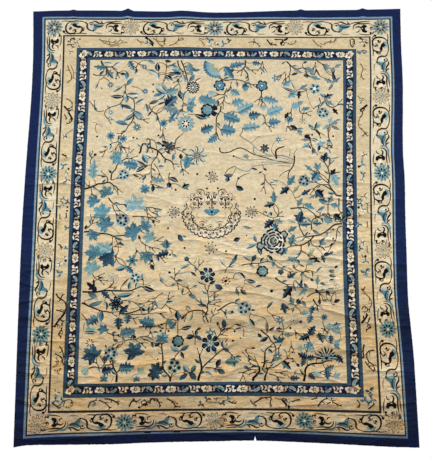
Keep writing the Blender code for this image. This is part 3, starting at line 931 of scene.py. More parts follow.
# The field's stems: width, yarn, then the places they pass, each along u and v
STEMS = (
    # Far left
    (1.0, "brown", (52, 280), (52.5, 278), (54, 276), (56, 275), (61, 275)),
    (0.8, "brown", (56, 275), (57, 272)),
    (0.6, "brown", (60, 275), (62, 273), (65, 270)),
    (0.6, "brown", (46, 269.5), (48, 268.5), (52, 268.3), (56, 269), (56.5, 270.5)),
    (0.5, "brown", (79.5, 277.5), (77.5, 274)),
    (0.6, "brown", (70, 262), (70.6, 258), (70.3, 254)),
    (0.7, "brown", (71, 253), (75, 250.5), (77, 248), (77.3, 241), (76.5, 238.5)),
    (0.5, "tan", (75, 259.5), (79, 258.8), (82, 257)),
    (0.6, "brown", (69.5, 251), (66.5, 246), (60, 243.5), (56.3, 241), (55.7, 238), (57.5, 235),
     (59, 234)),
    (0.5, "brown", (55, 240.8), (50, 240.5), (47.5, 245.5)),
    (0.7, "brown", (77, 238), (76, 233), (73, 229), (71, 225), (68, 223)),
    (0.6, "brown", (77, 238), (80, 234.5), (85, 233.5)),
    (0.7, "brown", (90, 240.5), (94, 237), (95.5, 232), (97, 229)),
    (0.5, "brown", (98.5, 227), (98.3, 222)),
    (0.5, "brown", (100.3, 276), (100, 271), (100, 267)),
    (0.4, "tan", (46, 245), (50, 241)),
    (0.4, "tan", (47, 232), (50, 231.5)),
    (0.5, "tan", (50, 231), (49, 227), (51, 223)),
    (0.4, "tan", (53, 266), (55, 268), (58, 270)),
    # Far middle
    (0.8, "brown", (108.5, 280), (109.5, 275), (113, 270.5)),
    (0.8, "brown", (111, 280), (113, 275), (114.5, 270), (116, 264), (116.5, 261)),
    (0.5, "brown", (105, 262), (109, 264)),
    (0.5, "brown", (105, 257.5), (110, 261.5), (110.5, 255)),
    (0.7, "brown", (138, 267), (143, 264), (150, 264.5), (156, 263.5), (160, 261.5), (165, 260)),
    (0.5, "brown", (148, 263), (147.5, 258)),
    (0.9, "brown", (158.5, 280), (158.3, 275), (157, 273), (160, 269), (160.5, 262)),
    (0.5, "brown", (160, 273), (164, 271.5)),
    (0.5, "brown", (157, 274), (155.5, 271.5)),
    (0.8, "brown", (145, 257.5), (143, 253), (143, 250), (141.5, 246)),
    (0.5, "brown", (143, 253), (138, 253)),
    (0.5, "brown", (143, 251), (139, 249.5), (136, 246.5)),
    (0.8, "brown", (140.5, 244), (140, 240), (137.5, 236), (137, 230), (137, 223)),
    (0.5, "brown", (140, 240), (144, 237.5)),
    (0.5, "brown", (137.5, 229), (141, 225)),
    (0.5, "brown", (112, 251), (113, 246), (112, 241)),
    # Far right
    (0.7, "brown", (170, 255), (170, 252), (168, 248.5)),
    (0.5, "brown", (170, 252), (171, 246.5)),
    (0.5, "brown", (171, 279), (169.5, 273)),
    (0.5, "brown", (171, 279), (172, 273)),
    (0.8, "brown", (189, 278.5), (192.5, 274.5), (196, 272.5), (201, 273.5), (203, 271)),
    (0.6, "brown", (191, 276), (191.5, 271.5), (190, 266)),
    (0.5, "brown", (188, 270.5), (184, 267)),
    (0.5, "brown", (188, 269), (187.5, 264)),
    (0.6, "brown", (210, 278), (209.5, 275), (208, 272.5)),
    (0.5, "brown", (210, 275), (210.5, 271)),
    (0.6, "brown", (211, 279), (216, 275.5)),
    (0.4, "tan", (203, 257), (203.5, 252), (206, 244), (208, 241)),
    (0.6, "brown", (171, 237), (172.5, 234), (173, 230), (176, 227.5)),
    (0.6, "brown", (197.5, 240), (199, 238), (203, 238)),
    (0.5, "brown", (192, 241), (191, 238)),
    (0.6, "black", (188.5, 231), (189, 227.5)),
    (0.6, "brown", (212, 250), (213, 246), (211, 243)),
    (0.7, "black", (216.5, 247.5), (218, 244), (222, 242.5), (226.5, 245)),
    (0.7, "black", (210, 225), (212, 222.5)),
    # Upper left: the gnarled branch, and the long branch from the side
    (1.0, "black", (81.5, 208), (82.5, 210), (82.8, 213), (84, 215.3), (86, 215.3), (87, 213.5),
     (87.6, 212.5), (91, 212), (93, 211), (95, 210), (97, 208), (99, 205), (101, 203.5), (104, 202.5),
     (106.5, 199.5)),
    (0.8, "black", (86.5, 218), (87.5, 219.3), (89, 218.5), (89.3, 212.5)),
    (0.5, "brown", (89, 218.5), (92, 218), (93.5, 215), (94.3, 211), (95, 209)),
    (0.6, "brown", (95, 209), (94.5, 206), (92.5, 203.5), (90.5, 200), (90.3, 195), (90.5, 191.5),
     (91.3, 190)),
    (0.4, "brown", (93.5, 205), (88.5, 205)),
    (0.4, "brown", (90.5, 199.5), (86.5, 198.5)),
    (0.4, "brown", (90.3, 195), (88.5, 192.5), (86, 192), (85, 190.5)),
    (0.5, "brown", (92, 200.5), (94, 198), (96, 194), (96.4, 191.5)),
    (0.6, "brown", (66.5, 222), (65.8, 218), (66.5, 215.5), (71, 212)),
    (0.5, "brown", (66.5, 215.5), (64, 211)),
    (0.5, "brown", (66, 217), (62, 216), (60.2, 215), (59, 212.5), (56, 209.5)),
    (0.5, "brown", (67, 214), (67.3, 212)),
    (0.8, "brown", (61.5, 188), (62, 193), (64.5, 196), (66, 200), (68.5, 202), (71.5, 204),
     (73.5, 205), (74.7, 209)),
    (0.5, "brown", (72.5, 204.2), (76.5, 204.2)),
    (1.0, "black", (43, 181.5), (46, 182.5), (49, 183.5), (52, 185.3), (56, 185.5), (58.5, 186.3),
     (60.5, 186.5), (63, 184.5), (65.5, 183), (67, 180.5)),
    (0.7, "brown", (58.5, 186.3), (59.3, 188.5), (58.4, 191), (56.3, 191.9)),
    (0.6, "brown", (46.5, 182.5), (45.5, 184.5)),
    (0.5, "brown", (50, 182.5), (55, 178.5)),
    (0.5, "brown", (47.5, 182), (48.3, 177)),
    (0.5, "brown", (62, 188), (67, 190)),
    (0.6, "brown", (63, 184.5), (63.7, 181.7)),
    (0.7, "black", (60, 175), (62.5, 171.5), (64.5, 170), (70, 170), (76, 170.5)),
    (0.6, "brown", (63.3, 170), (63.8, 167), (66.5, 162)),
    (0.5, "brown", (65.5, 169.5), (68.7, 164.8)),
    (0.5, "brown", (46.5, 200), (46.3, 203), (47.6, 205.7)),
    (0.8, "brown", (82.3, 169), (85, 169), (87, 167.5), (92, 167.5), (94, 166.3)),
    (0.6, "brown", (83, 168.7), (86, 166), (88.7, 162.3)),
    (0.4, "brown", (89, 167), (91, 164), (93, 163.7)),
    (0.5, "brown", (90, 187.5), (90.5, 185), (92, 184)),
    (0.4, "tan", (90.5, 185), (88, 183)),
    (0.6, "brown", (103.8, 193.5), (103, 190.5), (103.4, 185)),
    # Upper middle
    (0.7, "brown", (110.3, 220.7), (108, 218.5), (107.3, 215), (106.5, 211.5)),
    (0.5, "brown", (107, 212.3), (109, 211), (113, 209), (116, 206.5)),
    (0.6, "brown", (111.5, 202.3), (112, 198), (113.7, 195)),
    (0.7, "brown", (139.6, 212.2), (140, 209), (143, 208.2), (147, 208.9), (151, 211), (155, 211.8),
     (159, 210), (164, 207), (172, 204.5), (182, 201.5), (192.5, 200)),
    (0.5, "grey", (150, 205.6), (156, 203), (160, 202.7), (170, 203), (181, 202), (192.5, 201)),
    (0.6, "grey", (154, 221.5), (157, 219), (161, 216.5), (164, 213.5), (167, 210.5), (175, 206.5),
     (186, 203.6), (193, 201.5)),
    (0.4, "tan", (169, 221), (166, 219), (163, 216)),
    (0.6, "grey", (164.5, 213), (163.8, 208.5), (166, 206.5), (176, 205.5), (186, 205.5), (193, 203)),
    (0.6, "grey", (150.5, 198), (154, 195.5), (158, 194.3), (161, 194.7), (163, 197.5), (167, 198.7),
     (172, 199.2), (180, 200), (192.5, 200)),
    (0.5, "tan", (157.5, 192), (161, 192.7)),
    (0.4, "grey", (169, 201), (176, 200.9), (192, 199.7)),
    (0.9, "grey", (179, 206), (186, 205.6), (193, 202.5)),
    (0.8, "brown", (193.4, 206), (193, 200), (191, 196), (189, 193), (188.6, 189.5)),
    (0.5, "brown", (190, 195.3), (185, 193), (182.3, 190)),
    (0.5, "tan", (193, 206.5), (193.5, 208.5), (195.7, 211)),
    (1.0, "black", (180.4, 203.5), (180, 209), (182, 211.5), (186.3, 212.7)),
    (0.4, "tan", (179.5, 205.5), (177, 209), (177.5, 213), (179, 216), (181, 218)),
    (0.4, "tan", (190, 205), (190.3, 211.5)),
    (0.4, "tan", (183, 217), (188, 218.2)),
    (0.4, "tan", (182, 198.3), (190, 198)),
    # Upper right
    (0.5, "grey", (188.2, 182.6), (184, 186), (181, 187.3)),
    (0.5, "tan", (188.5, 182), (191.5, 178.5), (192.3, 176), (194.2, 172.3)),
    (0.9, "brown", (226.5, 175.7), (223, 176), (221, 178.5), (219, 181.5), (217.6, 184), (217.5, 187),
     (218.3, 190.5), (217.7, 194), (217, 197), (214.3, 201.5)),
    (0.5, "brown", (217, 196), (218.7, 200)),
    (0.6, "brown", (217.5, 185), (213, 188.5), (210, 192.5)),
    (0.5, "brown", (217.5, 186.5), (215, 190), (210.5, 193)),
    (0.5, "brown", (217, 184.2), (211.7, 184.2), (208, 186.4)),
    (0.7, "brown", (222, 178), (218, 181), (211.5, 184.2), (206, 180.4)),
    (0.4, "tan", (204, 195), (208.5, 193.8)),
    (0.7, "brown", (224.5, 174), (224.4, 168), (224.3, 165), (226.4, 162.8)),
    (0.6, "brown", (216.6, 169.5), (216.4, 162)),
    (0.8, "brown", (189.8, 166.4), (199, 167.2), (203, 165.3), (206, 163), (208, 160.5)),
    (0.5, "brown", (208, 164.5), (213.5, 162)),
    (0.6, "brown", (205, 217), (206, 213), (207, 209.5)),
    (0.5, "brown", (212, 213), (217.3, 211)),
    (0.7, "brown", (218, 223), (218.6, 217)),
    (0.5, "brown", (172, 191.3), (171.8, 187), (171, 181.5)),
    (0.5, "brown", (172, 188.7), (174, 185.5), (176.5, 184)),
    # Left side
    (0.9, "black", (43.5, 150), (50, 150), (53, 149), (58, 148.5), (61, 148), (64.5, 146.6),
     (67, 146.9), (76, 147.5)),
    (0.5, "brown", (64, 147), (63.5, 143), (63.5, 138), (62, 136)),
    (0.5, "brown", (65, 146.5), (67.4, 141.5), (68, 138), (67.8, 135), (66, 131.5)),
    (0.4, "brown", (63.7, 138.5), (66.5, 139.5)),
    (0.6, "green", (62, 154), (66, 151), (69, 148)),
    (0.6, "brown", (43.5, 153), (46, 153), (49, 156), (53, 156.8)),
    (0.5, "brown", (49.2, 156), (49.3, 158.8)),
    (0.4, "brown", (82, 150.5), (84.5, 150.4)),
    (0.6, "brown", (77.5, 161), (84, 161.2), (88, 160.5), (94.3, 159.8)),
    (0.5, "brown", (89, 160.3), (92.5, 157.6)),
    (0.6, "brown", (84.5, 142.2), (86.5, 140.6), (90, 139), (92.6, 137.6)),
    (0.5, "brown", (86.8, 140.3), (87.6, 136.5), (88, 134.5)),
    (0.5, "brown", (93, 143), (96.3, 143.6)),
    (0.4, "brown", (80.3, 138), (81.2, 135.4)),
    (0.5, "brown", (90, 133.4), (93.5, 133.2), (99.5, 130.3)),
    (0.5, "brown", (91.9, 133), (91.8, 129)),
    (0.5, "grey", (93, 132.6), (97, 128.4)),
    (0.5, "grey", (95, 138), (99, 136.4), (105.5, 136.6)),
    (1.0, "black", (43.6, 106.7), (53, 106.6), (60, 107.6), (70, 107.3), (77, 107.4), (80, 108.5),
     (84, 110.3), (87, 109.8)),
    (0.5, "brown", (86, 111), (86.2, 114.3), (85.2, 115.9)),
    (0.5, "green", (86.6, 111.3), (91, 113), (95.4, 116.3)),
    (0.5, "brown", (50.3, 119.5), (52, 116.5), (56.8, 114.4)),
    (0.4, "brown", (51.3, 117.2), (55.2, 117.7)),
    (0.5, "brown", (57, 107.5), (60, 108.7), (63.3, 110.4)),
    (0.5, "brown", (64, 107), (67, 103.6), (70.5, 101), (77, 100.2), (80.5, 98.8), (83, 96.6),
     (84.8, 94.8)),
    (0.5, "brown", (100, 106), (96, 103.5), (94.8, 101), (92.5, 98)),
    (0.4, "tan", (98.3, 120.3), (97, 119), (101, 112)),
    (0.9, "black", (43.5, 98.8), (46, 98), (47.5, 97), (51, 95.6), (55, 94), (57.5, 93), (60, 92.8),
     (65.5, 91.7)),
    (0.9, "black", (69.5, 91.7), (73, 91), (77, 91.7), (80, 92.5), (84.3, 94.2)),
    (0.4, "brown", (80, 99), (86, 98.3), (90.5, 100.2)),
    (0.5, "brown", (75.8, 90.6), (80.3, 87.4)),
    (0.5, "brown", (77, 90.8), (84, 90.7), (88, 90.6), (91, 92.3), (93.4, 94.8)),
    (0.5, "brown", (43.5, 91.2), (45, 89.6), (47.5, 86.6)),
    (0.5, "brown", (60.5, 79.6), (62, 78), (64.5, 76.6), (69, 76), (72, 74.6), (77, 75.3)),
    (0.6, "brown", (73, 71.6), (77, 73.1), (81, 73), (84, 75), (85.6, 74.6)),
    (0.5, "brown", (81, 73.2), (84, 71.2), (86.4, 70.3)),
    (0.7, "brown", (86.6, 73.6), (90, 72.4), (94, 70.8), (97, 69.9)),
    (0.7, "brown", (83.5, 82.1), (88, 82), (92, 82), (96.5, 82.6), (99, 83.7), (104, 84.7)),
    (0.5, "brown", (91.3, 81.8), (91.6, 77.5)),
    (0.5, "brown", (99.2, 94.8), (102, 98), (104.3, 102)),
    (0.4, "brown", (102, 97.5), (105.4, 94.4)),
    (0.4, "brown", (86, 91), (93, 91.4), (95, 92), (99, 91)),
    (0.4, "brown", (100, 88.8), (102, 88), (105.3, 86.4)),
    (0.5, "brown", (102.6, 84), (102.3, 79), (101.8, 75)),
    (1.2, "black", (68.8, 43.6), (69, 49), (67.8, 51.6), (66.4, 54), (66, 59)),
    (0.5, "brown", (66, 56), (60.4, 55.8), (60, 58)),
    (0.5, "brown", (64.8, 56), (64.5, 58.5)),
    (0.6, "brown", (69, 50.3), (71, 52.4)),
    (0.7, "brown", (50.5, 53.5), (53.5, 54.5), (57, 53.6), (60.3, 53)),
    (0.6, "brown", (57, 53.6), (54.4, 57.6)),
    (0.5, "brown", (57.5, 53.6), (60.3, 55.5)),
    (0.4, "tan", (66.6, 47), (65.4, 43.8)),
    (0.4, "green", (72, 46.6), (75, 47.3), (79, 47)),
    (0.6, "green", (88, 62.6), (91, 62.8), (94, 60.2), (97, 57.6), (100.3, 55)),
    (1.0, "black", (105.6, 43.8), (105.5, 47), (103, 50), (101, 52.6), (100.5, 56), (100.5, 61),
     (99.8, 66), (99.6, 70.4)),
    (0.5, "brown", (105, 48), (102, 50.5), (99.7, 50.7)),
    # Middle
    (0.5, "brown", (110.7, 77), (110.5, 83), (110.7, 87.3)),
    (0.6, "brown", (111.6, 64.6), (109, 61.6), (108.4, 59)),
    (0.8, "black", (105.6, 44), (106.5, 47.6), (107, 50)),
    (0.5, "tan", (106.5, 47.4), (110, 49.6), (114.5, 50.3)),
    (1.3, "black", (124.9, 44.3), (125.6, 48), (127, 51), (127.2, 54), (126.5, 58), (125.8, 61),
     (125.9, 63.4)),
    (0.9, "brown", (127.4, 53.3), (131, 57), (135, 60.5), (138, 63.5), (141, 65.6), (142.7, 66.6)),
    (0.6, "brown", (129.6, 53.9), (134, 53.7), (137.6, 53)),
    (0.6, "brown", (145.3, 64.9), (148, 62.6), (150.3, 60.2)),
    (0.5, "brown", (122.6, 69.5), (122.7, 75)),
    (0.6, "brown", (135.4, 78.6), (136.6, 77.6), (137.5, 74.2)),
    (0.6, "brown", (137.6, 74.2), (140.2, 77.4), (140.4, 81)),
    (0.4, "brown", (139.4, 76), (142, 76.8)),
    (0.4, "brown", (140.5, 78.6), (143.3, 80.5)),
    (0.5, "brown", (133.5, 84.6), (133.6, 88), (135.8, 90.7)),
    (0.6, "brown", (129.6, 84.8), (128, 87.6), (128.6, 89.6)),
    (0.7, "black", (131.8, 84.8), (130.4, 88), (129.9, 91), (131.3, 93.4), (131, 97), (132, 100),
     (131.5, 104), (131, 108)),
    (0.8, "black", (130, 91), (127.6, 93), (124, 93.5), (120, 93), (117, 91.6), (115.7, 89.8)),
    (0.6, "brown", (131.2, 94.2), (129.7, 97), (127, 98.4), (124.5, 100), (122, 102.5), (119.5, 106),
     (117, 109.6)),
    (0.5, "brown", (132, 97.8), (134, 99.8), (136.6, 101.3)),
    (0.4, "brown", (132.5, 97.6), (136.5, 97.8)),
    (0.8, "brown", (138, 93), (140.5, 94.6), (144, 97), (148, 98.9), (152, 98), (155, 96)),
    (0.6, "black", (140, 94.3), (143.4, 91.7)),
    (0.5, "tan", (160.4, 92), (163, 90), (168.3, 89)),
    (0.4, "brown", (157, 66), (160, 61.2)),
    (0.4, "brown", (155, 64.6), (160, 59.4)),
    (0.4, "grey", (155.6, 75.2), (160, 75.5), (166, 75)),
    (1.4, "black", (162.4, 44.2), (162.8, 46.5), (164.5, 48), (166, 50), (167, 51.7), (166.7, 54.2),
     (163, 54.8)),
    (0.5, "brown", (165, 51), (164.4, 52.2), (160, 52.5)),
    (0.5, "brown", (160, 49.5), (164.3, 50.7)),
    (0.5, "brown", (166.3, 54.6), (165.6, 57), (164, 58.7)),
    (0.5, "black", (152.5, 50.2), (157, 50.4)),
    (0.5, "black", (155.6, 50), (155.6, 47.2)),
    (0.5, "brown", (118, 128), (119.5, 126.5), (122, 125), (124, 122.5), (126.6, 120.3)),
    (0.4, "brown", (124.2, 122.6), (125.6, 126.4)),
    (0.4, "tan", (121.5, 126.6), (123.6, 130.4)),
    (0.9, "grey", (109, 119.5), (113, 119.8), (117, 120.7), (120, 120.4), (123, 117.8)),
    (0.6, "brown", (105, 117.6), (108, 115.2), (110.7, 111.8)),
    (0.5, "brown", (107.8, 115.5), (108.8, 119.3)),
    (0.5, "brown", (143.2, 119.8), (144, 122.5), (147, 125)),
    (0.4, "tan", (129.6, 112), (129.5, 108)),
    (0.4, "tan", (131.6, 111.5), (131.4, 107)),
    (0.5, "brown", (142, 109.2), (139, 107.3), (135.6, 106)),
    (0.4, "tan", (149, 116), (152.2, 115)),
    (0.4, "tan", (157, 115), (157, 112), (155.8, 109.4)),
    (0.6, "brown", (155, 125.4), (160, 126.4), (168, 126.9), (172, 127.9), (177, 127.3), (180, 124.5),
     (184, 122.5), (189.6, 120)),
    (0.5, "brown", (167, 126.6), (167, 122.6)),
    # Right side
    (0.5, "brown", (171, 162), (177.5, 159.6), (181.3, 161.2)),
    (0.4, "brown", (177.5, 159.6), (177.7, 157)),
    (0.9, "brown", (226.3, 155.2), (221, 154.6), (216, 150.5), (211, 147.5), (206, 146.5), (200, 146),
     (198, 149), (196, 153), (195.6, 157.5)),
    (0.8, "brown", (206, 146.3), (203, 143), (198, 140.1), (190, 139), (185.7, 137)),
    (0.5, "brown", (190, 139.5), (191, 142.6), (194.5, 145.2), (200, 146)),
    (0.7, "brown", (197, 140), (196.8, 136), (195.6, 132.6), (193, 130.3)),
    (0.6, "brown", (197, 136), (202.3, 132.2)),
    (0.6, "brown", (204, 144), (204, 141), (206, 139), (210.3, 138.9)),
    (0.4, "tan", (207.5, 138.5), (211, 134.6), (212.2, 132)),
    (0.6, "brown", (226.3, 153.6), (223.5, 152.6), (222.3, 149), (221.8, 144.5), (220, 141),
     (217.4, 138.7)),
    (0.7, "brown", (204.6, 150.8), (204.6, 155), (205.6, 158.2), (208, 159.8), (212, 159), (215, 158.2)),
    (0.6, "brown", (206.5, 162.5), (209, 160.3), (214.5, 162), (217, 159.5)),
    (0.4, "brown", (221, 157), (226, 156.9)),
    (0.4, "tan", (180, 127.5), (183.3, 125.6)),
    (0.4, "tan", (188, 123.6), (191, 121)),
    (0.6, "brown", (191, 124.3), (193, 122.2), (198, 120)),
    (0.9, "brown", (178.4, 116.3), (183, 113), (187.6, 111)),
    (0.5, "brown", (185, 110.2), (190, 110.2), (197, 109.2), (205, 108.5), (208, 107), (209.5, 104.5)),
    (0.4, "grey", (219.5, 122.6), (219.6, 112), (222, 109.5)),
    (0.4, "grey", (214, 111.2), (223, 111)),
    (0.4, "grey", (209, 107), (220, 106.4)),
    (0.6, "brown", (200.5, 102.8), (205, 105.5), (212, 106), (215.5, 106.6)),
    (0.4, "brown", (187, 94), (191, 95), (193, 97), (195.5, 98.7)),
    (0.9, "black", (204.7, 101.3), (206, 98.5), (207.7, 96.2)),
    (0.4, "brown", (174.8, 91), (177, 89.4)),
    (0.5, "brown", (183, 84.6), (183.6, 82), (184, 80), (182.6, 76.2)),
    (0.5, "tan", (184, 80.3), (186, 80.9), (188, 82.6), (190, 85)),
    (0.6, "brown", (191.3, 79.7), (192.6, 77.3)),
    (0.8, "brown", (168, 79.8), (171, 77), (173.5, 75), (175, 72), (177, 70.3), (178.2, 67),
     (178.3, 63)),
    (0.6, "black", (181, 71), (181.5, 69), (179.8, 66.4)),
    (0.4, "brown", (188.8, 72), (189, 67.4)),
    (0.5, "brown", (200.6, 75.4), (201.6, 72.5), (202, 70)),
    (0.4, "tan", (202.5, 75.5), (206.5, 75.3)),
    (1.2, "black", (197, 43.9), (198, 48), (198.2, 52), (200, 55), (204, 56.5), (209.5, 56.8),
     (213, 58.6)),
    (0.5, "brown", (210, 56.6), (211.5, 54), (212.6, 52)),
    (0.4, "brown", (205.6, 57), (206.5, 60.6)),
    (0.4, "brown", (199.8, 55), (199.5, 61), (199.6, 65.6)),
    (0.5, "brown", (200, 49.2), (204, 50.4), (209, 50.2)),
    (0.7, "brown", (170, 52.4), (173, 53.6), (177, 54), (181, 56.6), (184, 58.7), (186.5, 60.2)),
    (1.1, "black", (170.4, 44.4), (170.8, 47.5), (172, 50.5), (172.5, 53)),
    (1.0, "black", (168.8, 51.8), (170.4, 57), (170.7, 62), (171, 65.4), (173, 67.6), (175.3, 68.5)),
    (0.6, "black", (173.5, 49.2), (177, 48.4), (180, 46.5)),
    (0.6, "brown", (177.5, 50.4), (182, 50)),
    (0.5, "black", (168, 57.2), (175.5, 57.2)),
    (0.9, "grey", (183.6, 66.5), (185.4, 64.3), (186, 60.3)),
    (0.5, "brown", (215.6, 80.4), (213, 77.2), (211.4, 75)),
    (0.7, "brown", (209.8, 80.8), (212.6, 79.8)),
    (0.4, "brown", (212, 81.7), (212.3, 79)),
    (0.5, "tan", (216, 80.4), (220, 80.8), (224.5, 81)),
)

